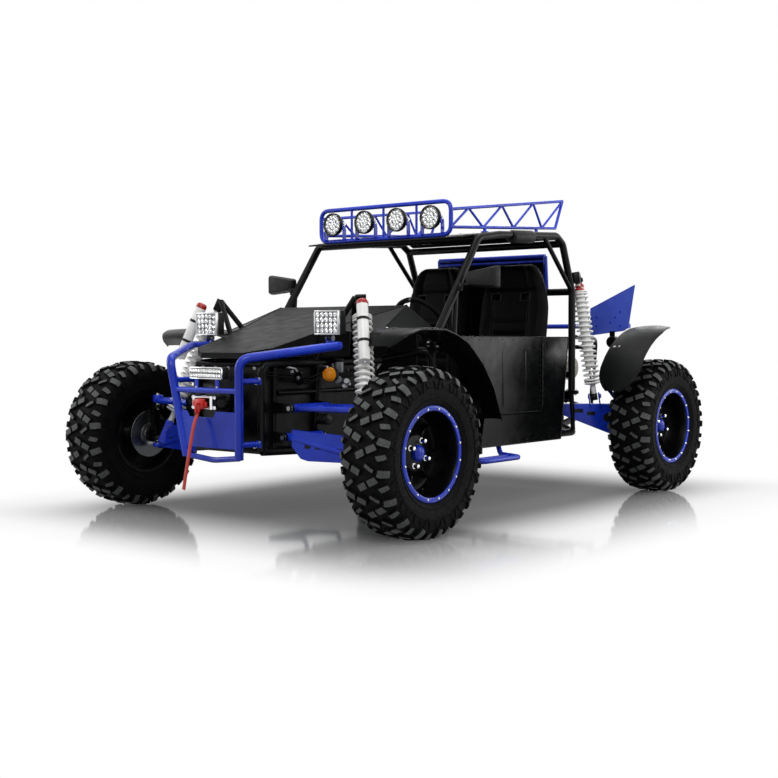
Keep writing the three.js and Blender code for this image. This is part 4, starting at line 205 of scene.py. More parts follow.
def webbing(name, dark, light):
    # woven strap: raised twill ribs across the band, about 1.6 mm apart; its colour is darker between the ribs and
    # paler on them, a painted shade in the grooves
    material, tree, shader, coords = startMaterial(name, Roughness=0.75, IOR=1.5, Sheen_Weight=0.3)
    rib = addNode(tree, "ShaderNodeTexWave", {"wave_type": "BANDS", "bands_direction": "Z"},
                  {"Vector": coords, "Scale": 1000 / 5.0 / 2, "Distortion": 0.6, "Detail": 1}).outputs["Fac"]
    # darker down between the ribs, paler on them: painted shade
    tree.links.new(shades(tree, rib, (0.2, dark), (0.8, light)), shader.inputs["Base Color"])
    bumpFrom(tree, shader, rib, 0.4, 0.7)
    return material


def clearLens(name, code, rough, through=0.94):
    # moulded lens plastic: tinted, see-through, with a slight ripple
    material, tree, shader, coords = startMaterial(name, Roughness=rough, IOR=1.3, Transmission_Weight=through)
    shader.inputs["Base Color"].default_value = linear(code)
    bumpFrom(tree, shader, noise(tree, coords, 8, 1), 0.15, 0.4)
    return material


glossPanel = panelBlack("gloss_black_abs", 0.13, 0.18, 0.3)
satinPanel = panelBlack("satin_black_abs", 0.09, 0.36, 0.48)
tyreRubber = tyreBlack()
treadTopScuffAndHighlight = blockTopScuffAndHighlight()
seatVinylPaintedShade = blackVinylPaintedShade()
redWebbing = webbing("red_pull_webbing", "#8E1A14", "#D03226")
beltWebbing = webbing("black_belt_webbing", "#0E0E0F", "#252527")
amberLens = clearLens("amber_marker_lens", "#FFA21E", 0.1, 0.2)
redLens = clearLens("red_tail_lens", "#C0140E", 0.12, 0.5)
mirrorGlass = metal("silvered_mirror_glass", "#C8CCD0", "#DDE1E4", 0.02, 0.05, 60)
redPlastic = powderCoat("red_moulded_plastic", "#A81610", "#CF2416", "#E03A26", 0.3, 0.42, 0.02)
softBlack = powderCoat("soft_black_plastic", "#060606", "#0A0A0A", "#101011", 0.42, 0.6, 0.1, 0.2)
print("materials ready")


# Parts of a piece: each function gives a bmesh, and makePiece joins them. Places are in metres, as at() gives them;
# sizes, radii, profiles and edges are in millimetres. softEdges and the runs of tubes take metres throughout.
def rod(a, b, radius, endRadius=None, sides=20):
    a, b = Vector(a), Vector(b)
    part = bmesh.new()
    bmesh.ops.create_cone(part, cap_ends=True, segments=sides, radius1=radius / 1000,
                          radius2=(radius if endRadius is None else endRadius) / 1000, depth=(b - a).length)
    turn = Vector((0, 0, 1)).rotation_difference((b - a).normalized()).to_matrix().to_4x4()
    bmesh.ops.transform(part, matrix=Matrix.Translation((a + b) / 2) @ turn, verts=part.verts)
    return part


def softEdges(part, width, segments=2, angle=30):
    sharp = [e for e in part.edges if len(e.link_faces) == 2 and math.degrees(e.calc_face_angle(0)) > angle]
    bmesh.ops.bevel(part, geom=sharp, offset=width, offset_type="OFFSET", affect="EDGES", segments=segments,
                    profile=0.5, material=-1, clamp_overlap=True)
    return part


def slab(centre, size, edge=0, turn=None):
    part = bmesh.new()
    bmesh.ops.create_cube(part, size=1)
    bmesh.ops.scale(part, vec=Vector(size) / 1000, verts=part.verts)
    if edge:
        softEdges(part, edge / 1000)
    bmesh.ops.transform(part, matrix=Matrix.Translation(centre) @ (turn or Matrix()), verts=part.verts)
    return part


def sheetPart(corners, thick, edge=0):  # flat plate through its corners, thick along the face's normal
    part = bmesh.new()
    face = part.faces.new([part.verts.new(c) for c in corners])
    part.normal_update()
    lift = face.normal * thick / 1000
    top = bmesh.ops.extrude_face_region(part, geom=[face])
    bmesh.ops.translate(part, vec=lift, verts=[v for v in top["geom"] if isinstance(v, bmesh.types.BMVert)])
    bmesh.ops.recalc_face_normals(part, faces=part.faces)
    if edge:
        softEdges(part, edge / 1000, 1)
    return part


def lathe(profile, steps, axis=(0, 0, 1), centre=(0, 0, 0)):  # profile pairs: radius, place along the axis
    part = bmesh.new()
    verts = [part.verts.new((r / 1000, 0, t / 1000)) for r, t in profile]
    edges = [part.edges.new(pair) for pair in zip(verts, verts[1:])]
    bmesh.ops.spin(part, geom=verts + edges, cent=(0, 0, 0), axis=(0, 0, 1), angle=math.tau, steps=steps,
                   use_merge=True)
    bmesh.ops.remove_doubles(part, verts=part.verts, dist=1e-5)
    bmesh.ops.recalc_face_normals(part, faces=part.faces)
    turn = Vector((0, 0, 1)).rotation_difference(Vector(axis).normalized()).to_matrix().to_4x4()
    bmesh.ops.transform(part, matrix=Matrix.Translation(centre) @ turn, verts=part.verts)
    return part


# closed profile of a ring for lathe; its outer edges may be cut back to the radius face
def ringLine(bore, outer, low, high, face=None, cut=0.0):
    if face is None:
        return [(bore, low), (outer, low), (outer, high), (bore, high), (bore, low)]
    return [(bore, low), (face, low), (outer, low + cut), (outer, high - cut), (face, high), (bore, high),
            (bore, low)]


def bentLine(corners, bend, steps=7):  # straight runs joined by round bends
    corners = [Vector(c) for c in corners]
    line = [corners[0]]
    for before, here, after in zip(corners, corners[1:], corners[2:]):
        into, out = (here - before).normalized(), (after - here).normalized()
        angle = into.angle(out)
        if angle < 0.02:
            continue
        cut = min(bend * math.tan(angle / 2), (here - before).length * 0.49, (after - here).length * 0.49)
        start, end = here - into * cut, here + out * cut
        for k in range(steps + 1):
            t = k / steps
            line.append(start * (1 - t) ** 2 + here * 2 * t * (1 - t) + end * t * t)
    line.append(corners[-1])
    return line


def tubes(runs, ring=5):  # runs of (corners, radius, bend) swept as round tube with closed ends
    curve = bpy.data.curves.new("run", "CURVE")
    curve.dimensions = "3D"
    curve.bevel_depth = 0.01
    curve.bevel_resolution = ring
    curve.use_fill_caps = True
    for corners, radius, bend in runs:
        line = bentLine(corners, bend) if bend else [Vector(c) for c in corners]
        spline = curve.splines.new("POLY")
        spline.points.add(len(line) - 1)
        for point, place in zip(spline.points, line):
            point.co = (*place, 1)
            point.radius = radius / 0.01
    holder = bpy.data.objects.new("run", curve)
    bpy.context.scene.collection.objects.link(holder)
    swept = bpy.data.meshes.new_from_object(holder.evaluated_get(bpy.context.evaluated_depsgraph_get()))
    part = bmesh.new()
    part.from_mesh(swept)
    bpy.data.objects.remove(holder)
    bpy.data.curves.remove(curve)
    bpy.data.meshes.remove(swept)
    bmesh.ops.remove_doubles(part, verts=part.verts, dist=1e-6)
    bmesh.ops.recalc_face_normals(part, faces=part.faces)
    return part


def bolt(place, way, radius=8, height=6):  # hexagon head with a washer
    way, place = Vector(way).normalized() / 1000, Vector(place)
    washer = rod(place, place + way * height * 0.25, radius * 1.45, sides=18)
    head = rod(place + way * height * 0.25, place + way * height, radius, radius * 0.94, 6)
    return [washer, head]


def moved(part, matrix):
    bmesh.ops.transform(part, matrix=matrix, verts=part.verts)
    if matrix.determinant() < 0:
        bmesh.ops.reverse_faces(part, faces=part.faces)
    return part


def copyOf(part, matrix):
    return moved(part.copy(), matrix)


def flatten(parts):
    for part in parts if isinstance(parts, (list, tuple)) else [parts]:
        if isinstance(part, (list, tuple)):
            yield from flatten(part)
        else:
            yield part


def absorb(whole, part):
    scrap = bpy.data.meshes.new("scrap")
    part.to_mesh(scrap)
    part.free()
    whole.from_mesh(scrap)
    bpy.data.meshes.remove(scrap)


def makePiece(name, body, groups, replaced=(), sharp=38, rides=True):
    mesh = bpy.data.meshes.new(name)
    whole = bmesh.new()
    for index, (material, parts) in enumerate(groups):
        mesh.materials.append(material)
        for part in flatten(parts):
            for face in part.faces:
                if face.material_index == 0:
                    face.material_index = index
            absorb(whole, part)
    for face in whole.faces:
        face.smooth = True
    whole.to_mesh(mesh)
    whole.free()
    mesh.set_sharp_from_angle(angle=math.radians(sharp))
    piece = bpy.data.objects.new(name, mesh)
    bpy.context.scene.collection.objects.link(piece)
    if rides:
        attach(piece, body)
    if replaced:
        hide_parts(*([replaced] if isinstance(replaced, str) else replaced))
    return piece


def placed(groups, place):
    return [(material, [moved(part, place) for part in flatten(parts)]) for material, parts in groups]


def dress(node, material):  # a CAD node whose shape is right keeps it and gets a finish
    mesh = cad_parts[node].data
    mesh.materials.clear()
    mesh.materials.append(material)


def at(x, y, z):  # millimetres, as on the drawing, to metres
    return Vector((x, y, z)) / 1000


# White studio: a floor painted dark grey under the object, a painted shadow pool, that fades into the white world
# round the object
studioFloor = {  # edges are where a fade starts and ends, across and along, in metres
    "colour": (0.12, 0.125, 0.12, 1), "polish": 0.2, "mirrorRough": 0.07, "grazing": 2.6, "size": 4,
    "paintedShadowEdges": ((0.72, 1.30), (0.95, 1.85)), "mirrorEdges": ((1.05, 1.75), (1.45, 2.1)),
}


def studio():
    material, tree, shader, coords = startMaterial("studio_floor_painted_shadow_pool", Roughness=0.5, Specular_IOR_Level=0.0)
    # dark grey base colour under the object: a painted shadow pool
    shader.inputs["Base Color"].default_value = studioFloor["colour"]
    sides = addNode(tree, "ShaderNodeVectorMath", {"operation": "ABSOLUTE"}, {0: coords}).outputs[0]
    sides = addNode(tree, "ShaderNodeSeparateXYZ", None, {0: sides}).outputs

    def fadeOut(edges):  # 1 under the object, 0 outside its edges
        clear = [addNode(tree, "ShaderNodeMapRange", {"interpolation_type": "SMOOTHSTEP"},
                         {"Value": side, "From Min": low, "From Max": high, "To Min": 1,
                          "To Max": 0}).outputs["Result"] for side, (low, high) in zip(sides, edges)]
        return addNode(tree, "ShaderNodeMath", {"operation": "MULTIPLY"}, {0: clear[0], 1: clear[1]}).outputs[0]

    mirror = addNode(tree, "ShaderNodeBsdfGlossy", None, {"Roughness": studioFloor["mirrorRough"]})
    clear = addNode(tree, "ShaderNodeBsdfTransparent")
    grazing = addNode(tree, "ShaderNodeMath", {"operation": "POWER"},
                      {0: addNode(tree, "ShaderNodeLayerWeight").outputs["Facing"], 1: studioFloor["grazing"]})
    sheen = addNode(tree, "ShaderNodeMath", {"operation": "MULTIPLY"},
                    {0: grazing.outputs[0], 1: studioFloor["polish"]})
    polished = addNode(tree, "ShaderNodeMixShader", None,
                       {0: sheen.outputs[0], 1: shader.outputs[0], 2: mirror.outputs[0]})
    rim = addNode(tree, "ShaderNodeMath", {"operation": "MULTIPLY"},
                  {0: fadeOut(studioFloor["mirrorEdges"]), 1: grazing.outputs[0]})
    outer = addNode(tree, "ShaderNodeMixShader", None, {0: rim.outputs[0], 1: clear.outputs[0], 2: mirror.outputs[0]})
    # dark grey floor under the object, fading out towards its edges: a painted shadow pool
    mix = addNode(tree, "ShaderNodeMixShader", None, {0: fadeOut(studioFloor["paintedShadowEdges"]), 1: outer.outputs[0],
                                                      2: polished.outputs[0]})
    tree.links.new(mix.outputs[0], tree.nodes["Material Output"].inputs["Surface"])
    part = bmesh.new()
    bmesh.ops.create_grid(part, x_segments=1, y_segments=1, size=studioFloor["size"])
    mesh = bpy.data.meshes.new("studioFloor")
    part.to_mesh(mesh)
    part.free()
    mesh.materials.append(material)
    floor = bpy.data.objects.new("studioFloor", mesh)
    bpy.context.scene.collection.objects.link(floor)
    world = bpy.data.worlds.new("studio")
    world.use_nodes = True
    bpy.context.scene.world = world
    tree = world.node_tree
    back = tree.nodes["Background"]
    rays = addNode(tree, "ShaderNodeLightPath")
    seen = addNode(tree, "ShaderNodeMath", {"operation": "MAXIMUM"},
                   {0: rays.outputs["Is Camera Ray"], 1: rays.outputs["Is Transmission Ray"]})
    seen = addNode(tree, "ShaderNodeMath", {"operation": "MAXIMUM"},
                   {0: seen.outputs[0], 1: rays.outputs["Is Glossy Ray"]})
    tree.links.new(spread(tree, seen.outputs[0], studioLight["world"], 1.0, 0.0, 1.0), back.inputs["Strength"])
    back.inputs["Color"].default_value = (1, 1, 1, 1)
    for name, place, aim, size, power in studioLight["lamps"]:
        light = bpy.data.lights.new(name, "AREA")
        light.shape, light.size, light.size_y, light.energy = "RECTANGLE", size[0], size[1], power
        lamp = bpy.data.objects.new(name, light)
        lamp.location = place
        lamp.rotation_euler = (Vector(aim) - Vector(place)).to_track_quat("-Z", "Y").to_euler()
        bpy.context.scene.collection.objects.link(lamp)


studioLight = {
    "world": 0.30,
    "lamps": [
        ("keySoftbox", (2.6, -4.6, 4.2), (0.2, -0.5, 0.6), (3.0, 2.2), 150),
        ("leftStrip", (-4.4, -3.2, 2.4), (0.0, -0.8, 0.6), (1.2, 3.2), 60),
        ("sideStrip", (4.8, 1.2, 2.2), (0.4, 0.4, 0.5), (1.4, 3.0), 60),
        ("topPanel", (0.0, 0.2, 4.6), (0.0, 0.0, 0.8), (3.6, 3.6), 110),
        ("doorSheen", (4.4, 5.6, 1.7), (0.5, 0.1, 0.6), (2.4, 2.6), 70),
        ("backPanel", (-1.5, 4.8, 2.8), (0.0, 0.6, 0.8), (3.4, 1.6), 60),
    ],
}
studio()

# Pull strap: flat red webbing hanging from the winch hook
strap = {
    "width": 0.020, "thick": 0.003,
    "route": [(-40, -1388, 489.8), (-40, -1393, 477), (-41, -1400, 462), (-41, -1407, 442), (-42, -1412, 420),
              (-44, -1416, 396), (-46, -1420, 370), (-49, -1423, 344), (-52, -1426, 318), (-55, -1429, 292),
              (-59, -1431, 266), (-63, -1433, 240), (-67, -1435, 214), (-71, -1436, 188), (-75, -1437, 165)],
}


def smoothLine(points, steps):  # the same round curve through its points as the solid follows
    points = [Vector(p) for p in points]
    ends = [points[0] * 2 - points[1]] + points + [points[-1] * 2 - points[-2]]
    line = []
    for a, b, c, d in zip(ends, ends[1:], ends[2:], ends[3:]):
        for k in range(steps):
            t = k / steps
            line.append(((b * 2) + (c - a) * t + (a * 2 - b * 5 + c * 4 - d) * t ** 2 + (b * 3 - a - c * 3 + d)
                         * t ** 3) / 2)
    return line + [points[-1]]


def pullStrap():
    line = [p / 1000 for p in smoothLine(strap["route"], 6)]
    part = bmesh.new()
    half, thin = strap["width"] / 2, strap["thick"] / 2
    section = [(-half, -thin * 0.6), (-half * 0.94, -thin), (half * 0.94, -thin), (half, -thin * 0.6),
               (half, thin * 0.6), (half * 0.94, thin), (-half * 0.94, thin), (-half, thin * 0.6)]
    rings = []
    for k, point in enumerate(line):
        along = (line[min(k + 1, len(line) - 1)] - line[max(k - 1, 0)]).normalized()
        out = Vector((1, 0, 0)).cross(along).normalized()
        wide = along.cross(out)
        rings.append([part.verts.new(point + wide * u + out * v) for u, v in section])
    loops = [[part.edges.new((ring[i], ring[(i + 1) % 8])) for i in range(8)] for ring in rings]
    for lower, upper in zip(loops, loops[1:]):
        bmesh.ops.bridge_loops(part, edges=lower + upper)
    bmesh.ops.holes_fill(part, edges=loops[0] + loops[-1], sides=8)
    bmesh.ops.recalc_face_normals(part, faces=part.faces)
    piece = makePiece("redPullStrap", "chassis", [(redWebbing, [part])], "pull_strap", 50)
    length = sum((b - a).length for a, b in zip(line, line[1:]))
    tuple(line[0])
    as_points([tuple(p) for p in line[::3]] + ([tuple(line[-1])] if (len(line) - 1) % 3 else []))
    print(f"pull strap {length:.3f} m")


pullStrap()


# Tyres: a smooth carcass with blocks laid on it in pitches round the tread
tyre = {
    "radius": 0.351, "base": 0.336, "half": 0.115, "pitches": 17, "pairLean": 24, "pairLength": 0.104,
    "pairWidth": 0.030, "lugWidth": 0.036, "edge": 0.0022,
}
carcassLine = [  # half across from the middle of the tread round to the bead: place across, radius
    (0.0, 0.336), (0.035, 0.3355), (0.062, 0.334), (0.082, 0.330), (0.096, 0.322), (0.1055, 0.309), (0.111, 0.292),
    (0.1135, 0.272), (0.113, 0.250), (0.1105, 0.230), (0.106, 0.212), (0.0985, 0.2015), (0.0935, 0.197),
]


def carcassPoint(along):  # point and outward way on the carcass, a distance from the tread's middle
    side = 1 if along >= 0 else -1
    left = abs(along)
    for (x1, r1), (x2, r2) in zip(carcassLine, carcassLine[1:]):
        step = math.hypot(x2 - x1, r2 - r1)
        if left <= step:
            t = left / step
            return side * (x1 + (x2 - x1) * t), r1 + (r2 - r1) * t, side * (r1 - r2) / step, (x2 - x1) / step
        left -= step
    return side * x2, r2, side * (r1 - r2) / step, (x2 - x1) / step


def treadBlock(along, round_, size, height, lean=0.0, taper=0.86, cuts=0, topHighlightIndex=1):
    # box laid on the carcass: size is across by round, lean turns it on the surface
    part = bmesh.new()
    bmesh.ops.create_cube(part, size=1)
    if cuts:
        acrossEdges = [e for e in part.edges if abs(e.verts[0].co.x - e.verts[1].co.x) > 0.5]
        bmesh.ops.subdivide_edges(part, edges=acrossEdges, cuts=cuts)
    # top faces take the paler tread-top material: partly scuffing, partly a painted highlight
    for face in part.faces:
        if face.normal.z > 0.5:
            face.material_index = topHighlightIndex
    for vert in part.verts:
        shrink = taper if vert.co.z > 0 else 1.0
        vert.co = Vector((vert.co.x * size[0] * shrink, vert.co.y * size[1] * shrink, vert.co.z + 0.5))
    softEdges(part, tyre["edge"], 1, 50)
    turn = Matrix.Rotation(math.radians(lean), 3, "Z")
    for vert in part.verts:
        flat = turn @ Vector((vert.co.x, vert.co.y, 0))
        x, r, nx, nr = carcassPoint(along + flat.x)
        lift = vert.co.z * height - (1 - vert.co.z) * 0.003
        r += nr * lift
        angle = (round_ + flat.y) / tyre["base"]
        vert.co = Vector((x + nx * lift, r * math.sin(angle), r * math.cos(angle)))
    return part


def joinParts(parts):
    whole = bmesh.new()
    for part in flatten(parts):
        absorb(whole, part)
    return whole


def treadPitch():  # one repeat of the tread, then turned round the wheel
    pitch = math.tau * tyre["base"] / tyre["pitches"]
    high = tyre["radius"] - tyre["base"]
    parts = []
    for side, start in ((1, 0.0), (-1, pitch / 2)):
        lean = side * tyre["pairLean"]
        reach = tyre["pairLength"]
        for k, share in ((-1, 0.25), (1, 0.25)):  # pair of blocks in line, a sipe between them
            mid = side * 0.036 + math.cos(math.radians(lean)) * k * reach * share
            rise = start + math.sin(math.radians(lean)) * k * reach * share
            parts.append(treadBlock(mid, rise, (reach / 2 - 0.005, tyre["pairWidth"]), high, lean))
        parts.append(treadBlock(side * 0.052, start + pitch * 0.50, (0.052, 0.017), high - 0.002, lean * -1.4, 0.82,
                                2))
        parts.append(treadBlock(side * 0.104, start + pitch * 0.30, (0.052, tyre["lugWidth"]), 0.013, side * -12,
                                0.8, 4))
        parts.append(treadBlock(side * 0.098, start - pitch * 0.18, (0.040, 0.026), 0.012, side * 16, 0.78, 3))
        for arm, tilt in ((-1, 24), (1, -24)):  # chevron ribs running down the sidewall
            parts.append(treadBlock(side * 0.148, start + pitch * 0.05 + arm * 0.016, (0.050, 0.007), 0.0042,
                                    side * tilt, 0.7, 4, 0))
        parts.append(treadBlock(side * 0.146, start + pitch * 0.45, (0.034, 0.012), 0.0035, side * 30, 0.7, 3, 0))
    return joinParts(parts)


def tyreParts():
    half = [(r * 1000, x * 1000) for x, r in carcassLine]
    profile = [(r, -x) for r, x in reversed(half[1:])] + half
    parts = [lathe(profile + [(187, 92.5), (187, -92.5), profile[0]], 120, (1, 0, 0))]
    for side in (1, -1):  # rim guard and two fine rings on the sidewall
        for ringR, lift, wide in ((0.219, 0.0025, 0.0035), (0.262, 0.0012, 0.0012), (0.268, 0.0012, 0.0012)):
            x = next(x1 + (x2 - x1) * (r1 - ringR) / (r1 - r2)
                     for (x1, r1), (x2, r2) in zip(carcassLine, carcassLine[1:]) if r2 <= ringR <= r1)
            lip = [(ringR - wide, side * (x - 0.003)), (ringR - wide / 2, side * (x + lift)),
                   (ringR + wide / 2, side * (x + lift)), (ringR + wide, side * (x - 0.003)),
                   (ringR - wide, side * (x - 0.003))]
            parts.append(lathe([(r * 1000, t * 1000) for r, t in lip], 120, (1, 0, 0)))
    pitch = treadPitch()
    for k in range(tyre["pitches"]):
        parts.append(copyOf(pitch, Matrix.Rotation(math.tau * k / tyre["pitches"], 4, "X")))
    pitch.free()
    return joinParts(parts)


rim = {
    "ringOuter": 194.5, "ringInner": 174.5, "ringFace": 98.5, "barrel": 183.5, "bolts": 16, "boltCircle": 182.5,
    "dishX": 17, "capRadius": 34, "lugCircle": 55, "lugs": 4,
}


def rimGroups():
    barrel = rim["barrel"]
    shell = lathe([  # barrel with a drop centre and a deep dish
        (12, 4), (12, 17), (70, 17), (78, 12), (88, -4), (112, -18), (138, -24), (158, -16), (168, 6), (171.5, 40),
        (171.5, 84), (176, 92.5), (186, 92.5), (186, 88), (barrel, 86), (barrel, -88), (190, -92.5), (190, -96),
        (176, -96), (171, -80), (168, -34), (152, -30), (112, -26), (80, -12), (66, 4), (12, 4)], 96, (1, 0, 0))
    ring = lathe([(rim["ringInner"], 92.5), (rim["ringInner"], 97.5), (rim["ringInner"] + 2, rim["ringFace"]),
                  (rim["ringOuter"] - 3, rim["ringFace"]), (rim["ringOuter"], 96.5), (rim["ringOuter"], 92.5),
                  (rim["ringInner"], 92.5)], 96, (1, 0, 0))
    bolts, lugs, ribs = [], [], []
    for k in range(rim["bolts"]):
        angle = math.tau * (k + 0.5) / rim["bolts"]
        place = at(rim["ringFace"] - 0.3, rim["boltCircle"] * math.sin(angle), rim["boltCircle"] * math.cos(angle))
        bolts += [rod(place, place + at(3.5, 0, 0), 5.2, 4.2, 12)]
    for k in range(rim["lugs"]):
        angle = math.tau * (k + 0.28) / rim["lugs"]
        place = at(rim["dishX"], rim["lugCircle"] * math.sin(angle), rim["lugCircle"] * math.cos(angle))
        lugs += [rod(place, place + at(4, 0, 0), 12.5, 11.5, 18), rod(place, place + at(26, 0, 0), 9.5, 9, 6),
                 lathe([(0, 30.5), (5, 29.5), (8.5, 26), (0, 26)], 16, (1, 0, 0), place)]
    for k in range(8):
        spoke = slab((-0.006, 0, 0.119), (10, 16, 66), 4)
        ribs.append(copyOf(spoke, Matrix.Rotation(math.tau * k / 8, 4, "X") @ Matrix.Translation((-0.006, 0, 0))))
        spoke.free()
    cap = lathe([(0, 44), (12, 43.5), (22, 40), (30, 34), (rim["capRadius"], 26), (rim["capRadius"], 17), (0, 17)],
                40, (1, 0, 0))
    stem = tubes([([(0.010, 0.0, -0.150), (0.030, 0.0, -0.146), (0.046, 0.0, -0.143)], 0.0035, 0)], 3)
    return [(blackPowder, [shell, ribs]), (bluePowder, [ring, cap]), (chromeSteel, [bolts, lugs]),
            (softBlack, [stem])]


for end, (side, hub) in wheelPlaces.items():
    place = Matrix.Translation(hub) @ (Matrix() if side > 0 else Matrix.Rotation(math.pi, 4, "Z"))
    body = f"wheel_{end}"
    makePiece(f"knobblyTyre_{end}", body, [(tyreRubber, [moved(tyreParts(), place)]), (treadTopScuffAndHighlight, [])], f"tyre_{end}",
              32)
    makePiece(f"beadlockRim_{end}", body, placed(rimGroups(), place), f"rim_{end}")
print("wheels ready")

# Round tubes of the frame, the cage and what is welded of them
tubeR, slimR = 0.019, 0.0125
axleZ, rearAxleY = 350.1, 1050


def pairOf(run):  # a run on the left and its mirror on the right
    corners, radius, bend = run
    return [run, ([(-x, y, z) for x, y, z in corners], radius, bend)]


def bothOf(runs):
    return [r for run in runs for r in pairOf(run)]


def across(place, radius=slimR):
    x, y, z = place
    return ([(-x, y, z), (x, y, z)], radius, 0)


frameRuns = bothOf([
    ([(0.200, -1.240, 0.330), (0.235, -0.600, 0.310), (0.500, -0.420, 0.310), (0.500, 0.800, 0.310),
      (0.330, 0.950, 0.330),
      (0.300, 1.330, 0.400)], tubeR, 0.06),
    ([(0.200, -1.240, 0.330), (0.200, -1.240, 0.700), (0.290, -0.560, 0.712), (0.505, -0.455, 0.762),
      (0.500, -0.420, 0.310)], tubeR, 0.05),
    ([(0.2038, -1.170, 0.332), (0.2093, -1.170, 0.700)], slimR, 0),
    ([(0.217, -0.930, 0.322), (0.241, -0.930, 0.706)], slimR, 0),
    ([(0.500, 0.800, 0.310), (0.512, 0.760, 0.540)], slimR, 0),
])
frameRuns += [across(p) for p in ((0.200, -1.240, 0.330), (0.200, -1.240, 0.700), (0.235, -0.600, 0.310),
                                  (0.290, -0.560, 0.712), (0.500, -0.420, 0.310), (0.500, 0.150, 0.310),
                                  (0.500, 0.700, 0.310), (0.300, 1.330, 0.400), (0.500, 0.220, 0.360),
                                  (0.500, 0.480, 0.360))]
cageRuns = bothOf([
    ([(0.518, -0.462, 0.787), (0.512, -0.101, 1.290), (0.512, 0.084, 1.316), (0.512, 0.598, 1.342),
      (0.512, 0.662, 1.304),
      (0.512, 0.760, 1.057), (0.512, 0.762, 0.531)], tubeR, 0.05),
    ([(0.512, 0.470, 1.342), (0.512, 0.760, 1.057)], slimR, 0),
    ([(0.512, 0.762, 0.820), (0.330, 1.330, 0.805), (0.300, 1.330, 0.425)], slimR, 0.06),
])
cageRuns += [across(p, r) for p, r in (((0.512, -0.101, 1.290), tubeR), ((0.512, 0.084, 1.316), slimR),
                                       ((0.512, 0.662, 1.304), tubeR), ((0.512, 0.760, 1.057), tubeR),
                                       ((0.512, 0.762, 0.620), tubeR), ((0.330, 1.330, 0.760), slimR))]


def strutPlace(top, foot, hinge, pivot):  # shock frame: up the shock, swing the way its foot moves
    up = (top - foot).normalized()
    motion = hinge.cross(foot - pivot)
    swing = (motion - up * motion.dot(up)).normalized()
    place = Matrix((swing.cross(up), swing, up)).transposed().to_4x4()
    place.translation = top
    return place, (top - foot).length


shockSpots = {}
for name, side in bothSides:
    shockSpots[f"front_{name}"] = strutPlace(at(side * 450, -882, 959), at(side * 620, -1045, 400),
                                             Vector((0, -side, 0)), at(side * 262, -1050, 388))
    shockSpots[f"rear_{name}"] = strutPlace(at(side * 498, 838, 1120), at(side * 592, 866, 500), Vector((1, 0, 0)),
                                            at(side * 468, 700, 440))


def clevisParts(place, half, low, high, front, back=20, pin=0):  # two rounded cheeks and the through bolt
    parts = []
    for k in (-1, 1):
        outline = [(-back, low), (front, low), (front, high), (-back, high)]
        corners = [place @ at(k * (half + (6 if k > 0 else 0)), y, z) for y, z in outline]
        cheek = sheetPart(corners if k > 0 else corners[::-1], 6, 0)
        softEdges(cheek, 0.0045, 2, 60)
        parts.append(cheek)
        end = place @ at(k * (half + 6), 0, pin)
        parts += bolt(end, end - place @ at(0, 0, pin), 11.5, 9)
    return parts


def frameGroups():
    parts, feet = [tubes(frameRuns)], []
    parts.append(tubes([([at(-512, 762, 502.7), at(512, 762, 502.7)], tubeR, 0)]))
    for name, side in bothSides:
        runs = [([at(side * 314, 700, 310), at(side * 314, 762, 502)], slimR, 0),
                ([at(side * 518, -462, 775), at(side * 505, -446, 702)], 0.0152, 0),
                ([at(side * 300, 1010, 346), at(side * 300, 1010, 419)], slimR, 0)]
        place = shockSpots[f"front_{name}"][0]
        apex = place @ at(side * 27.25, 0, 32)
        for share in (0.42, 0.74):
            foot = at(side * 200, -1240, 700).lerp(at(side * 290, -560, 712), share)
            runs.append(([foot, apex], slimR, 0))
        for y in (220, 480):
            runs.append(([at(side * 500, y, 310), at(side * 500, y, 360)], slimR, 0))
        parts.append(tubes(runs))
        for y, lowX, highX in ((-1170, 203.8, 209.3), (-930, 217, 241)):
            for pivotX, pivotZ in ((262, 388), (300, 514)):
                inX = lowX + (highX - lowX) * (pivotZ - 310) / 390
                ear = sheetPart([at(side * x, y - side * 4, z)
                                 for x, z in ((inX, pivotZ - 26), (pivotX, pivotZ - 18), (pivotX + 13, pivotZ - 12),
                                              (pivotX + 18, pivotZ), (pivotX + 13, pivotZ + 12),
                                              (pivotX, pivotZ + 18), (inX, pivotZ + 26))], 8, 1.5)
                parts.append(ear)
                way = Vector((0, 1 if y > -1050 else -1, 0))
                feet += bolt(at(side * pivotX, y, pivotZ) + way * 0.004, way, 12, 9)
        parts += clevisParts(place, 15, -20, 38, 20)
        parts.append(moved(slab((0, 0, 0), (42, 40, 12), 2), place @ Matrix.Translation((0, 0, 0.032))))
        for x in (344, 468):
            ear = sheetPart([at(side * x, y, z) for y, z in ((682, 310), (718, 310), (718, 442), (711, 454),
                                                             (700, 458), (689, 454), (682, 442))], 8, 1.5)
            parts.append(ear)
        feet += bolt(at(side * 476, 700, 440), (side, 0, 0), 12, 9)
        feet += bolt(at(side * 344, 700, 440), (-side, 0, 0), 12, 9)
        parts.append(slab(at(side * 486, 700, 310), (28, 36, 19), 2))
        for centre, size in ((at(side * 518, -462, 780.7), (64, 44.8, 6)),
                             (at(side * 512, 762, 521.7), (64, 44.8, 12))):
            parts.append(slab(centre, size, 2))
            for k in (-1, 1):
                feet += bolt(centre + at(k * 24, 0, -size[2] / 2), (0, 0, -1), 7, 7)
        parts.append(slab(at(side * 300, 1330, 400), (38.4, 38.4, 38), 3))
    parts.append(slab(at(0, 1010, 419.2), (660, 330, 3), 1))
    parts.append(slab(at(0, -1240, 515), (400, 3, 370), 1))
    for x in (-160, -80, 0, 80, 160):
        for z in (345, 685):
            feet += bolt(at(x, -1242, z), (0, -1, 0), 6, 5)
    return [(blackPowder, parts), (zincSteel, feet), (bluePowder, [tubes(stepRuns)])]


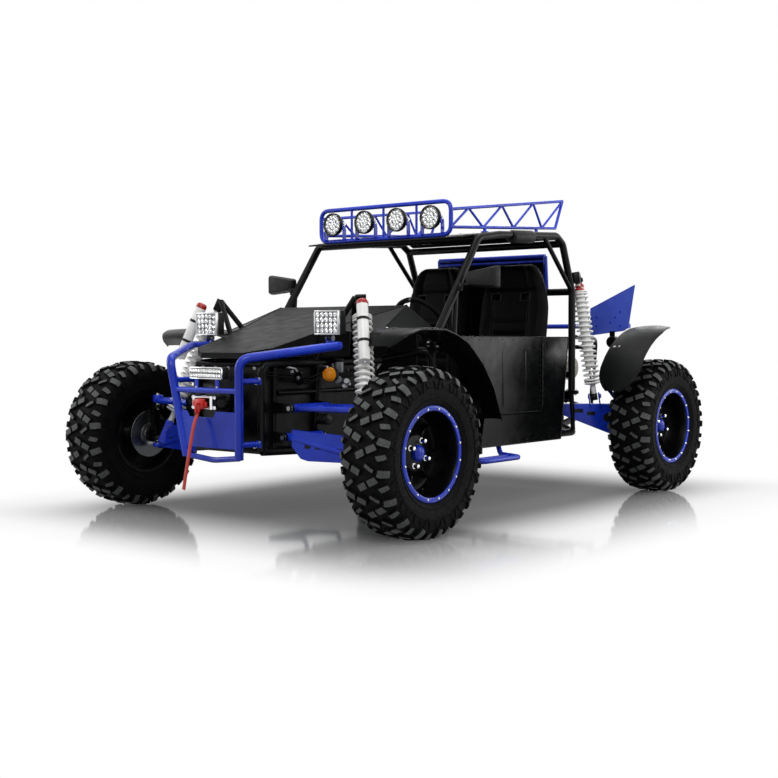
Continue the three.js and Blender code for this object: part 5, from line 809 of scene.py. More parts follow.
stepRuns = bothOf([([at(500, -198, 310), at(536, -198, 246), at(690, -330, 246), at(690, -10, 246), at(536, 60, 246),
                     at(500, 80, 310)], slimR, 0.03),
                   ([at(613, -264, 246), at(613, 25, 246)], 0.008, 0)])
makePiece("tubeFrame", "chassis", frameGroups(), "chassis_frame")


# Rear screen of louvres, with the firewall below its waist
screen = {"half": 348, "top": 1248, "waist": 1040, "low": 622, "slots": 18}
foam = {"from": (512, 180, 1311.9), "to": (512, 366, 1321.3), "radius": 33, "edge": 9}


def cageGroups():
    black, blue, bolts = [tubes(cageRuns)], [], []
    for name, side in bothSides:
        black.append(tubes([([at(side * 515, -281.5, 1040), at(side * 517.7, -300, 812),
                              at(side * 517.8, -448, 809)], slimR, 0.022),
                              ([at(side * 515, -281.5, 1040), at(side * 546, -281.5, 1040)], 0.008, 0),
                              ([at(side * 546, -281.5, 1036), at(side * 546, -281.5, 1068)], 0.006, 0)]))
        for centre in (at(side * 518, -462, 787), at(side * 512, 762, 531)):
            black.append(slab(centre, (64, 44.8, 6), 2))
            for k in (-1, 1):
                bolts += bolt(centre + at(k * 24, 0, 3), (0, 0, 1), 7, 7)
        black.append(slab(at(side * 300, 1330, 422.3), (32, 32, 6), 1))
        blue.append(tubes([([at(side * 354, 745, 1251), at(side * 354, 760, 1057)], 0.012, 0)]))
        place = shockSpots[f"rear_{name}"][0]
        black += clevisParts(place, 15, -20, 40, 87.5)
        black.append(moved(slab((0, 0, 0), (42, 20, 60), 2), place @ Matrix.Translation((0, 0.0675, 0.010))))
    blue.append(tubes([([at(-354, 745, 1251), at(354, 745, 1251)], 0.012, 0)]))
    blue.append(tubes([([at(-354, 744, 1223), at(354, 744, 1223)], 0.008, 0)]))
    for k in range(screen["slots"]):  # louvred screen in the blue frame
        z = screen["waist"] + 22 + (screen["top"] - screen["waist"] - 30) * k / (screen["slots"] - 1)
        black.append(slab(at(0, 750, z), (2 * screen["half"], 12, 10.5), 1, Matrix.Rotation(0.5, 4, "X")))
    middle, tall = (screen["waist"] + screen["low"]) / 2, screen["waist"] - screen["low"]
    black.append(slab(at(0, 737, middle), (2 * screen["half"], 3, tall), 1))
    for x in (-232, -116, 0, 116, 232):  # pressed ribs of the firewall
        black.append(slab(at(x, 734.5, middle), (14, 5, tall - 60), 2))
    pad = rod(at(*foam["from"]), at(*foam["to"]), foam["radius"], sides=28)
    softEdges(pad, foam["edge"] / 1000, 3, 50)
    return [(blackPowder, black), (bluePowder, blue), (zincSteel, bolts), (softBlack, [pad])]


makePiece("rollCage", "chassis", cageGroups(), "roll_cage")

# Light rack: hoop with the lamp ears and the two trusses
rack = {"half": 416, "y": -188, "lowZ": 1305.9, "topZ": 1465, "tube": 11, "bend": 48, "web": 6.5}
roofLamps = {"across": (-312, -104, 104, 312), "y": -202, "pivot": 1390}


def rackGroups():
    y, low, top, half = rack["y"], rack["lowZ"], rack["topZ"], rack["half"]
    runs = [([at(0, y, low), at(-half, y, low), at(-half, y, top), at(half, y, top), at(half, y, low),
              at(0, y, low)], rack["tube"] / 1000, rack["bend"] / 1000)]
    runs += [([at(x, y, low), at(x, y, top)], rack["web"] / 1000, 0) for x in (-208, 0, 208)]
    ears, bolts = [], []
    lampY, lampZ = roofLamps["y"], roofLamps["pivot"]
    for x in roofLamps["across"]:
        for k in (-1, 1):
            earX = x + k * 61
            outline = [(-211, 1306), (-184, 1306), (-184, 1360), (-193, 1396), (-202, 1400), (-211, 1396)]
            ear = sheetPart([at(earX - 2, earY, earZ) for earY, earZ in outline], 4, 1)
            ears.append(ear)
            bolts += bolt(at(earX + k * 2, lampY, lampZ), (k, 0, 0), 7, 6)
            bolts.append(rod(at(earX, lampY, lampZ), at(x + k * 46, lampY, lampZ), 4, sides=12))
        ears.append(slab(at(x, -190, 1312), (126, 26, 4), 1))
    for side in (1, -1):
        lowLine = [at(side * half, -188, 1340).lerp(at(side * half, 744, 1396), i / 7) for i in range(8)]
        topLine = [at(side * half, -188, 1425).lerp(at(side * half, 814, 1545), i / 7) for i in range(8)]
        runs += [([lowLine[0], lowLine[7]], 0.008, 0), ([topLine[0], topLine[7]], 0.008, 0),
                 ([lowLine[7], topLine[7]], 0.008, 0)]
        for i in range(7):
            runs.append((([topLine[i], lowLine[i + 1]] if i % 2 else [lowLine[i], topLine[i + 1]]), 0.0065, 0))
        for share in (0.3, 0.8):
            foot = lowLine[0].lerp(lowLine[7], share)
            roofZ = (1333.0 + (foot.y * 1000 - 84) * 0.0505) / 1000
            runs.append(([foot, Vector((foot.x, foot.y, roofZ))], 0.009, 0))
            ears.append(rod(Vector((foot.x, foot.y, roofZ + 0.0002)), Vector((foot.x, foot.y, roofZ + 0.004)), 20,
                            19, 24))
    return [(bluePowder, [tubes(runs), ears]), (zincSteel, bolts)]


makePiece("lightRack", "chassis", rackGroups(), "light_rack")


def roundLamp(centre):  # round lamp facing forward: finned shell, chrome cups, glass
    toFront = (0, -1, 0)
    shell = lathe([(0, -23), (20, -23), (30, -21.5), (46, -14), (54.5, -4), (57.5, 4), (58, 18), (57.5, 22.2),
                   (55.5, 23), (53, 22.2), (52, 18), (52, 6), (0, 6)], 56, toFront, centre)
    fins = []
    for k in range(-4, 5):
        fin = slab(centre + at(k * 9, 16.5, 0), (2.6, 13, 2 * math.sqrt(45 ** 2 - (k * 9) ** 2)), 0.6)
        fins.append(fin)
    bezel = lathe([(52.5, 14.5), (52.5, 20.5), (55.5, 22.2), (55.5, 14.5), (52.5, 14.5)], 56, toFront, centre)
    cups, chips = [], []
    spots = [(0, 0)] + [(0.0175 * math.cos(math.tau * k / 6), 0.0175 * math.sin(math.tau * k / 6)) for k in range(6)]
    spots += [(0.0365 * math.cos(math.tau * (k + 0.5) / 12), 0.0365 * math.sin(math.tau * (k + 0.5) / 12))
              for k in range(12)]
    for dx, dz in spots:
        place = centre + Vector((dx, 0, dz))
        cups.append(lathe([(2.2, 6.5), (4.5, 8.5), (7.2, 13), (8.4, 16.5), (8.8, 16.5), (7.8, 12.5), (5, 6.5),
                           (2.2, 6.2)], 16, toFront, place))
        chips.append(rod(place + at(0, -6.2, 0), place + at(0, -7.8, 0), 2.6, 1.6, 10))
    disc = rod(centre + at(0, -5.8, 0), centre + at(0, -6.4, 0), 51.8, sides=40)
    glass = lathe([(0, 18.8), (30, 18.4), (52.8, 17.2), (52.8, 16), (30, 17.2), (0, 17.6)], 40, toFront, centre)
    return [(softBlack, [shell, fins]), (zincSteel, [bezel, disc]), (silverCup, cups), (ledChip, chips),
            (clearGlass, [glass])]


clearGlass = clearLens("clear_lamp_polycarbonate", "#FFFFFF", 0.0)
silverCup = metal("vacuum_silvered_reflector", "#E4E6E8", "#FAFAFA", 0.12, 0.22, 6)
ledChip = powderCoat("led_phosphor", "#E9DC9A", "#F2E7B2", "#F8F0CC", 0.3, 0.4, 0.01)
for index, x in enumerate(roofLamps["across"], 1):
    lampPlace = at(x, roofLamps["y"], roofLamps["pivot"])
    makePiece(f"roofLamp_{index}", f"roof_lamp_{index}", roundLamp(lampPlace), f"roof_lamp_{index}")
print("frame, cage and rack ready")

# Front bumper with its lamp bar, plates and lamp brackets
bumper = {"low": (164, -1339, 300), "knee": (216, -1388, 724), "end": (454, -1040, 779), "bend": 0.055}
cubeLamp = {"x": 376, "y": -1002, "foot": 786, "pivot": 812, "middle": 878, "columns": 5, "rows": 4}


def bumperAt(z):  # middle of the left upright at a height in millimetres
    low, knee = bumper["low"], bumper["knee"]
    t = (z - low[2]) / (knee[2] - low[2])
    return [low[k] + (knee[k] - low[k]) * t for k in range(3)]


def ledBarParts():
    centre = at(0, -1357, 663)
    shell = slab(centre + at(0, 4, 0), (200, 36, 50), 4)
    fins = [slab(centre + at(x * 8, 21.5, 0), (2, 12, 44), 0.4) for x in range(-11, 12)]
    frameBar = [slab(centre + Vector((0, -0.0165, z)), (200, 9, 4), 1.2) for z in (-0.023, 0.023)]
    frameBar += [slab(centre + Vector((x, -0.0165, 0)), (5, 9, 50), 1.2) for x in (-0.0975, 0.0975)]
    cups, chips = [], []
    for col in range(12):
        for row in (-1, 1):
            place = centre + at(-87.5 + col * 15.9, 3, row * 9.8)
            cups.append(lathe([(2, 17.2), (4.5, 18.5), (6.8, 21.5), (7.8, 24.2), (7.4, 24.2), (4, 17.2), (2, 17)],
                              14, (0, -1, 0), place))
            chips.append(rod(place + at(0, -17.2, 0), place + at(0, -18.6, 0), 2.4, 1.4, 8))
    plate = slab(centre + at(0, -13.9, 0), (192, 0.8, 43))
    glass = slab(centre + at(0, -21.8, 0), (190, 1.2, 42), 0.4)
    return [shell, fins, plate], [cups, frameBar], chips, [glass]


def bumperGroups():
    blue, bolts, holes = [], [], []
    runs = bothOf([([at(*bumper["low"]), at(*bumper["knee"]), at(*bumper["end"])], tubeR, bumper["bend"])])
    cross = bumperAt(589)
    runs.append(([at(-cross[0], cross[1], 589), at(cross[0], cross[1], 589)], slimR, 0))
    runs.append(([at(-164, -1339, 305), at(0, -1330, 288), at(164, -1339, 305)], slimR, 0.22))
    lampX, lampY = cubeLamp["x"], cubeLamp["y"]
    for side in (1, -1):
        for z in (630, 362):
            x, y, _ = bumperAt(z)
            pad = at(side * 200, -1260.8, z)
            runs.append(([at(side * x, y, z), pad], slimR, 0))
            blue.append(slab(pad, (30, 8, 30), 1.5))
            for k in (-1, 1):
                bolts += bolt(pad + at(k * 9.5, -4, k * 9.5), (0, -1, 0), 4.5, 4)
        end, lampFoot = at(side * 454, -1040, 779), at(side * lampX, lampY, cubeLamp["foot"])
        runs.append(([end, lampFoot], 0.013, 0))
        cap = rod(end - at(0, 4, 0), end + at(side * 6, 12, 0), 18.5, 16, 24)
        blue.append(cap)
        for k in (-1, 1):
            x = lampX + k * 14.8
            ear = sheetPart([at(side * x - 1.5, y, z) for y, z in ((-1012, 784), (-992, 784), (-992, 812),
                                                                   (-996, 821), (-1002, 824), (-1008, 821),
                                                                   (-1012, 812))], 3, 0.8)
            blue.append(ear)
            bolts += bolt(at(side * lampX + k * 16.5, lampY, cubeLamp["pivot"]), (k, 0, 0), 7.5, 6)
        blue.append(slab(lampFoot, (34, 21, 6), 1.2))
        blue.append(slab(at(side * 64, -1369, 626), (22, 3, 74), 0.8))
        bolts += bolt(at(side * 64, -1371, 600), (0, -1, 0), 5, 4)
    lowY, highY, notchY = (bumperAt(z)[1] for z in (342, 500, 474))
    outline = [(-160, lowY, 342), (160, lowY, 342), (179, highY, 500), (50, highY, 500), (35, notchY, 474),
               (-115, notchY, 474), (-130, highY, 500), (-179, highY, 500)]
    face = sheetPart([at(x, y - 2, z) for x, y, z in outline], 4, 1.2)
    # plain slots where the real plate is pierced
    for x, wide in ((-118, 42), (-48, 30), (8, 30), (78, 42), (132, 16)):
        holes.append(slab(at(x, -1356.6, 416), (wide, 1.4, 22), 0.5, Matrix.Rotation(math.radians(6.6), 4, "X")))
    blue.append(face)
    black, chrome, chips, glass = ledBarParts()
    return [(bluePowder, [tubes(runs), blue]), (zincSteel, bolts), (softBlack, [black, holes]), (silverCup, chrome),
            (ledChip, chips), (clearGlass, glass)]


makePiece("frontBumper", "chassis", bumperGroups(), "front_bumper")

# Winch with its roller fairlead and red hook
winch = {"x": -40, "z": 536, "y": -1306, "half": 125}


def winchGroups():
    x, y, z = winch["x"], winch["y"], winch["z"]
    fairY = bumperAt(z)[1] + 19
    black, chrome, red, rope = [], [], [], []
    for sign in (-1, 1):
        start = x + sign * winch["half"]
        black.append(lathe([(0, 0), (34, 0), (39.5, 3), (42, 8), (42, 62), (40, 70), (36, 75), (0, 75)], 40,
                           (-sign, 0, 0), at(start, y, z)))
        for k in range(6):
            angle = math.tau * k / 6
            spot = at(start, y + 32 * math.cos(angle), z + 32 * math.sin(angle))
            chrome.append(rod(spot, spot + at(sign * 3, 0, 0), 3.6, sides=6))
        for k in range(3):
            black.append(lathe([(42, 0), (43.5, 1), (43.5, 3), (42, 4)], 40, (-sign, 0, 0),
                               at(start - sign * (22 + k * 9), y, z)))
    for k in range(9):  # rope wound on the drum
        rope.append(lathe([(29, 0), (32.5, 2), (34, 4), (32.5, 6), (29, 8)], 32, (1, 0, 0),
                          at(x - 38 + k * 8.4, y, z)))
    rope.append(rod(at(x - 50, y, z), at(x + 50, y, z), 29, sides=32))
    footY = -1244.8
    black.append(slab(at(x, footY, z), (225, 6, 67), 1.5))
    for k in (-1, 1):
        black.append(slab(at(x + k * 87, (footY + y) / 2, z), (42, 61, 42), 4))
        black.append(slab(at(x + k * 67.5, (fairY + y) / 2, z), (6, abs(fairY - y), 42), 1))
        chrome.append(rod(at(x + k * 54, fairY - 9, z - 28.8), at(x + k * 54, fairY - 9, z + 28.8), 9, sides=24))
        chrome.append(rod(at(x - 46, fairY - 9, z + k * 23), at(x + 46, fairY - 9, z + k * 23), 6.5, sides=20))
        chrome += bolt(at(x + k * 68, fairY - 3, z + 22), (0, -1, 0), 5.5, 5)
        chrome += bolt(at(x + k * 68, fairY - 3, z - 22), (0, -1, 0), 5.5, 5)
    black.append(slab(at(x, fairY, z), (150, 6, 64), 2))
    rope.append(rod(at(x, fairY, z), at(x, -1382, 530), 5.5, sides=16))
    red.append(slab(at(x, -1372, 530), (52, 20, 46), 7))
    red.append(slab(at(x - 30, -1368, 534), (36, 12, 30), 4))
    red.append(slab(at(x + 24, -1366, 528), (22, 12, 24), 4))
    hook = [at(x, -1379, 532), at(x, -1397, 528), at(x, -1397, 494), at(x, -1379, 494), at(x, -1379, 512.7)]
    red.append(tubes([(hook, 0.0058, 0.009)]))
    return [(blackPowder, black), (chromeSteel, chrome), (redPlastic, red), (beltWebbing, rope)]


makePiece("winchUnit", "chassis", winchGroups(), "winch", 40)


# Cube lamps: finned housing, a grid of chrome cups and a clear face
def cubeGroups(side):
    x, y, pivot = side * cubeLamp["x"], cubeLamp["y"], cubeLamp["pivot"]
    centre = at(x, y, cubeLamp["middle"])
    shell = slab(centre + at(0, 6, 0), (140, 39, 105), 6)
    fins = [slab(centre + at(k * 9.5, 22.5, 0), (2.8, 10, 92), 0.6) for k in range(-6, 7)]
    rimBars = [slab(centre + at(0, -20.5, dz), (140, 14, 6.5), 2) for dz in (-49.2, 49.2)]
    rimBars += [slab(centre + at(dx, -20.5, 0), (6.5, 14, 105), 2) for dx in (-66.7, 66.7)]
    backPlate = slab(centre + at(0, -13.9, 0), (130, 0.8, 96))
    cups, chips = [], []
    for col in range(cubeLamp["columns"]):
        for row in range(cubeLamp["rows"]):
            place = centre + at(col * 24.8 - 49.6, 0, row * 22.8 - 34.2)
            cups.append(lathe([(2.4, 14.6), (6, 16.2), (8.8, 19.5), (10.6, 24.6), (10, 24.6), (5.5, 14.6),
                               (2.4, 14.3)], 18, (0, -1, 0), place))
            chips.append(rod(place + at(0, -14.6, 0), place + at(0, -16.4, 0), 2.8, 1.6, 8))
    glass = slab(centre + at(0, -26.2, 0), (127, 1.2, 92), 0.4)
    tab = slab(at(x, y, pivot + 8), (24, 20.4, 18), 2)
    knob = rod(at(x - 13, y, pivot), at(x + 13, y, pivot), 10.2, sides=24)
    screws = []
    for dx in (-66.7, 66.7):
        for dz in (-49.2, 49.2):
            screws.append(rod(centre + at(dx, -27.2, dz), centre + at(dx, -27.5, dz), 2.2, sides=6))
    return [(softBlack, [shell, fins, backPlate, tab, knob]), (zincSteel, [rimBars, screws]), (silverCup, cups),
            (ledChip, chips), (clearGlass, [glass])]


for name, side in bothSides:
    makePiece(f"cubeLamp_{name}", f"cube_lamp_{name}", cubeGroups(side), f"cube_lamp_{name}")


# Shocks: white body and reservoir, red caps, chrome rod, coil on its two seats
def shockGroups(end):
    place, length = shockSpots[end]
    tank, sign = (275, 1) if end.startswith("front") else (230, -1)
    low = -length * 760
    white, red, black, steel = [], [], [], []
    white.append(lathe([(11.3, -60), (11.3, low), (20, low), (24.5, low + 4), (25, low + 10), (25, -66), (41, -66),
                        (43.8, -64), (43.8, -60), (41, -58), (13, -58), (13, -20), (0, -20), (0, -60), (11.3, -60)],
                        40))
    red.append(lathe([(25.5, -72), (29, -70), (33, -67), (33, -66.5), (25.5, -66.5)], 40))
    red.append(lathe([(13, -57.5), (30, -57.5), (31, -50), (26, -44), (15, -40), (13, -30)], 32))
    eye = lathe(ringLine(8.5, 20, -14, 14, 18.5, 2), 32, (1, 0, 0))
    black.append(eye)
    tankY, tankTop, tankLow = sign * 0.074, -20, -20 - tank
    white.append(lathe([(0, tankTop), (19, tankTop), (24, tankTop - 4), (25, tankTop - 10), (25, tankLow + 16),
                        (24, tankLow + 12), (0, tankLow + 12)], 36, (0, 0, 1), (0, tankY, 0)))
    white.append(lathe([(0, tankLow), (18, tankLow), (23, tankLow + 3), (24.5, tankLow + 10), (24.5, tankLow + 11.8),
                        (0, tankLow + 11.8)], 36, (0, 0, 1), (0, tankY, 0)))
    red.append(lathe([(0, tankTop + 8.5), (10, tankTop + 8.5), (19, tankTop + 6), (23.5, tankTop + 1),
                      (24.5, tankTop - 4), (25.3, tankTop - 10), (25.3, tankTop - 16), (25.1, tankTop - 17)], 36,
                      (0, 0, 1), (0, tankY, 0)))
    steel.append(lathe([(0, tankLow - 6), (4, tankLow - 6), (5, tankLow - 1), (0, tankLow - 1)], 16, (0, 0, 1),
                       (0, tankY, 0)))
    white.append(slab((0, tankY / 2, -0.058), (26, 74, 16), 4))
    for z in (-105, -205):
        black.append(lathe(ringLine(25.2, 26.8, z - 6, z + 6), 32, (0, 0, 1), (0, tankY, 0)))
    groups = [(whitePowder, white), (redAnodised, red), (softBlack, black), (zincSteel, steel)]
    return placed(groups, place)


def rodGroups(end):
    place, length = shockSpots[end]
    foot = -length * 1000
    seat = foot + 78
    shaft = lathe([(0, -116), (9.5, -116), (11, -114.5), (11, seat), (20, seat)], 32)
    lower = lathe([(11, seat - 0.4), (41, seat - 0.4), (43.8, seat - 2), (43.8, seat - 6), (41, seat - 8),
                   (13, seat - 16), (13, foot + 12), (0, foot + 12)], 40)
    eye = lathe(ringLine(8.5, 20, -14, 14, 18.5, 2), 32, (1, 0, 0), (0, 0, -length))
    bump = lathe([(11.2, seat + 1), (22, seat + 1), (23.5, seat + 5), (20, seat + 9), (21, seat + 13),
                  (16, seat + 17), (11.2, seat + 18)], 32)
    groups = [(chromeSteel, [shaft]), (whitePowder, [lower]), (softBlack, [eye, bump])]
    return placed(groups, place)


def coilRun(end, turns):
    place, length = shockSpots[end]
    top, bottom, radius = -0.0663 - 0.0052, -(length - 0.078) + 0.0003 + 0.0052, 0.039
    line = []
    steps = turns * 20
    for k in range(steps + 1):
        t = k / steps
        settle = 1.25 / turns  # the end coils lie close and flat, as a ground spring's do
        rise = (t ** 2 / (2 * settle) if t < settle else t - settle / 2 if t < 1 - settle
                else 1 - settle - (1 - t) ** 2 / (2 * settle)) / (1 - settle)
        angle = math.tau * turns * t
        line.append(place @ Vector((radius * math.cos(angle), radius * math.sin(angle), top + (bottom - top) * rise)))
    return line


for end in shockSpots:
    place, length = shockSpots[end]
    makePiece(f"shockBody_{end}", f"shock_body_{end}", shockGroups(end), f"shock_body_{end}")
    makePiece(f"shockRod_{end}", f"shock_rod_{end}", rodGroups(end), f"shock_rod_{end}")
    coil = makePiece(f"coilSpring_{end}", "", [(whitePowder,
                                                [tubes([(coilRun(end, 18 if end.startswith("front") else 19), 0.0052,
                                                         0)], 4)])], f"spring_{end}", 60, rides=False)
    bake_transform(coil)
print("bumper, winch, lamps and shocks ready")


# Front arms, ball joints and knuckles
frontArm = {"lowHinge": (262, 388), "highHinge": (300, 514), "bushes": (-1137, -963), "axle": -1050, "kingpin": 695,
            "ball": 300, "lugs": (332, 482)}


def lowerArmGroups(side):
    blue, steel, black, holes = [], [], [], []
    hinge, height = frontArm["lowHinge"]
    ball = at(side * frontArm["kingpin"], frontArm["axle"], frontArm["ball"])
    bush = at(side * hinge, frontArm["axle"], height)
    seat = ball - at(0, 0, 6)
    ends = [at(side * hinge, y, height) for y in frontArm["bushes"]]
    blue.append(lathe(ringLine(8.5, 18, -115.7, 115.7), 32, (0, 1, 0), bush))
    for k in (-1, 1):
        black.append(lathe(ringLine(8.6, 19.6, 113.5, 115.7), 32, (0, k, 0), bush))
    runs = [([end, end.lerp(seat, 0.965)], 0.015, 0) for end in ends]
    reach = (620 - hinge) / (frontArm["kingpin"] - hinge)  # the shock's foot along the arm
    runs.append(([end.lerp(ball, reach) for end in ends], 0.015, 0))
    outer = at(side * hinge, -1137, 0).lerp(at(side * frontArm["kingpin"], frontArm["axle"], 0), 0.86)
    ground = at(side * 280, -1137, 0)

    def up(point, z):
        return Vector((point.x, point.y, z / 1000))
    outline = [up(ground, 422), up(ground, 349.4), up(ground.lerp(outer, 0.12), 299),
               up(ground.lerp(outer, 0.22), 290), up(outer, 290), up(outer, 356), up(ground.lerp(outer, 0.7), 404)]
    face = sheetPart(outline if side > 0 else outline[::-1], 8, 1.6)
    blue.append(face)
    way = (outer - ground).normalized()
    normal = Vector((way.y, -way.x, 0)) * (1 if side > 0 else -1)
    if normal.y > 0:
        normal.negate()
    turn = Matrix((way, -normal, (0, 0, 1))).transposed().to_4x4()
    slotShares = ((0.22, 352), (0.36, 350), (0.50, 346), (0.64, 341), (0.78, 334))
    for share, z in slotShares:
        spot = up(ground.lerp(outer, share), z)
        toFront = max((c - spot).dot(normal) for c in (v.co for v in face.verts))
        hole = slab((0, 0, 0), (30, 1.2, 18), 0.5)
        moved(hole, Matrix.Translation(spot + normal * (toFront - 0.0002)) @ turn)
        holes.append(hole)
    place, length = shockSpots["front_left" if side > 0 else "front_right"]
    blue += clevisParts(place, 20, -length * 1000 - 92, -length * 1000 + 20, 20, pin=-length * 1000)
    blue.append(lathe(ringLine(16.3, 26, -9, 9, 24.5, 2), 36, (0, 0, 1), ball))
    steel.append(lathe([(0, -15.5), (10, -14.5), (15.5, -9.5), (15.5, -9), (0, -9)], 28, (0, 0, 1), ball))
    return [(bluePowder, [tubes(runs), blue]), (zincSteel, steel), (softBlack, [black, holes])]


def upperArmGroups(side):
    blue, steel, black = [], [], []
    hinge, height = frontArm["highHinge"]
    neck, bush = at(side * frontArm["kingpin"], frontArm["axle"], height), at(side * hinge, frontArm["axle"], height)
    blue.append(lathe(ringLine(8.5, 18, -115.7, 115.7), 32, (0, 1, 0), bush))
    for k in (-1, 1):
        black.append(lathe(ringLine(8.6, 19.6, 113.5, 115.7), 32, (0, k, 0), bush))
    runs = [([at(side * hinge, y, height), at(side * 628, elbow, height), neck], 0.013, 0.03)
            for y, elbow in zip(frontArm["bushes"], (-1104, -936))]
    blue.append(lathe([(0, 25.5), (20, 25.5), (24.5, 22), (25.5, 18), (25.5, -8.5), (24, -10), (0, -10)], 32,
                      (0, 0, 1), neck))
    steel.append(lathe([(0, -10), (10, -10), (10, -35), (7.5, -38), (7.5, -45), (0, -45)], 24, (0, 0, 1), neck))
    steel += bolt(neck + at(0, 0, 25.5), (0, 0, 1), 9, 8)
    return [(bluePowder, [tubes(runs), blue]), (zincSteel, steel), (softBlack, black)]


def knuckleGroups(side):
    black, steel, disc = [], [], []
    (lugZ, topLugZ), webX = frontArm["lugs"], side * 721
    hub = at(webX, frontArm["axle"], axleZ)
    for z, bore in ((lugZ, 10.5), (topLugZ, 14.2)):
        black.append(lathe(ringLine(bore, 26, -10, 10, 24.5, 2), 32, (0, 0, 1), at(side * 695, -1050, z)))
    web = slab(at(webX, -1050, (lugZ + topLugZ) / 2), (20, 41.6, 170), 3)
    black.append(web)
    for k in (-1, 1):
        black.append(slab(at(side * 709, -1050 + k * 17, (lugZ + topLugZ) / 2), (16, 6, 120), 2))
    black.append(tubes([([at(webX, -1050, lugZ), at(webX, -946, lugZ)], 0.010, 0)]))
    steel += bolt(at(webX, -952, lugZ + 9), (0, 0, 1), 8, 8)
    black.append(rod(hub, at(side * 745, frontArm["axle"], axleZ), 40, 38.5, 36))
    steel.append(lathe([(0, 24), (29, 24), (29.5, 30), (29.5, 160), (27, 165.5), (0, 165.5)], 32, (side, 0, 0), hub))
    disc.append(lathe(ringLine(30, 112.5, 36, 41, 112, 0.5), 64, (side, 0, 0), hub))
    steel.append(lathe(ringLine(28, 52, 34, 46), 40, (side, 0, 0), hub))
    caliper = slab(at(side * 757, -972, 376.1), (40, 40, 74), 6)
    black.append(caliper)
    black.append(slab(at(side * 733, -990, 364.1), (12, 80, 30), 3))
    return [(blackPowder, black), (zincSteel, steel), (turnedSteel, disc)]


def ballGroups(side):
    ball = at(side * frontArm["kingpin"], frontArm["axle"], frontArm["ball"])
    shape = lathe([(0, -15.8), (6, -14.7), (11, -11.5), (14.8, -6), (15.8, 0), (14.8, 6), (11, 11.5), (9.5, 12.8),
                   (9.5, 16.5), (13.8, 19), (13.8, 21.6), (9.8, 22.2), (9.8, 42), (0, 42)], 28, (0, 0, 1), ball)
    boot = lathe([(10, 13), (13.2, 13.6), (12.2, 15), (14.2, 16.4), (14.2, 18.6), (10, 19)], 28, (0, 0, 1), ball)
    return [(zincSteel, [shape]), (softBlack, [boot])]


for name, side in bothSides:
    makePiece(f"lowerArm_{name}", f"lower_arm_{name}", lowerArmGroups(side), f"lower_arm_{name}")
    makePiece(f"upperArm_{name}", f"upper_arm_{name}", upperArmGroups(side), f"upper_arm_{name}")
    makePiece(f"knuckle_{name}", f"knuckle_{name}", knuckleGroups(side), f"knuckle_{name}")
    makePiece(f"ballJoint_{name}", f"ball_joint_{name}", ballGroups(side), f"ball_joint_{name}")


# Rear trailing arms with the hub carrier, spindle and fender
rearFender = {"inner": 722, "outer": 950, "radius": 455, "rise": 0.17, "thick": 4, "from": 155, "to": 78, "steps": 28}


def fenderSheet(side, line, inners, outers, thick, crown, lip=7):
    # swept skin: a strip across for each point of its line, with its outer edge turned down
    part = bmesh.new()
    rows = []
    for k, ((y, z), inner, outer) in enumerate(zip(line, inners, outers)):
        (y1, z1), (y2, z2) = line[max(0, k - 1)], line[min(len(line) - 1, k + 1)]
        run = math.hypot(y2 - y1, z2 - z1)
        outY, outZ = -(z2 - z1) / run * crown, (y2 - y1) / run * crown
        row = []
        for t in (0, 0.12, 0.25, 0.4, 0.55, 0.7, 0.85, 0.97):
            swell = math.sin(math.pi * min(1, t))
            row.append(part.verts.new(at(side * (inner + (outer - inner) * t), y + outY * swell, z + outZ * swell)))
        row.append(part.verts.new(at(side * outer, y, z - lip * 0.35)))
        row.append(part.verts.new(at(side * (outer + 0.4), y, z - lip)))
        rows.append(row)
    for low, high in zip(rows, rows[1:]):
        for a, b, c, d in zip(low, low[1:], high[1:], high):
            part.faces.new((a, b, c, d))
    bmesh.ops.recalc_face_normals(part, faces=part.faces)
    up = sum(f.normal.z for f in part.faces)
    if up < 0:
        bmesh.ops.reverse_faces(part, faces=part.faces)
    bmesh.ops.solidify(part, geom=part.faces[:], thickness=thick / 1000)
    bmesh.ops.recalc_face_normals(part, faces=part.faces)
    return part


def rearFenderPart(side):
    line, outers = [], []
    r = rearFender
    for k in range(r["steps"] + 1):
        t = k / r["steps"]
        angle = math.radians(r["from"] + (r["to"] - r["from"]) * t)
        radius = r["radius"] * (1 + r["rise"] * t) - 2
        line.append((rearAxleY + radius * math.cos(angle), axleZ + radius * math.sin(angle)))
    tipY = line[-1][0]
    for y, _ in line:
        outer = r["outer"] if y < 936 else r["outer"] + (904.4 - r["outer"]) * min(1, (y - 936) / (tipY - 4 - 936))
        outers.append(outer)
    half = len(line) - 3
    outers[-3:] = [outers[half] - 6, outers[half] - 22, outers[half] - 62]
    inners = [r["inner"]] * len(line)
    for k, cut in enumerate((88, 56, 34, 18, 8, 3)):  # rounded lower end
        inners[k] += cut * 0.7
        outers[k] -= cut
    return fenderSheet(side, line, inners, outers, r["thick"], 9)


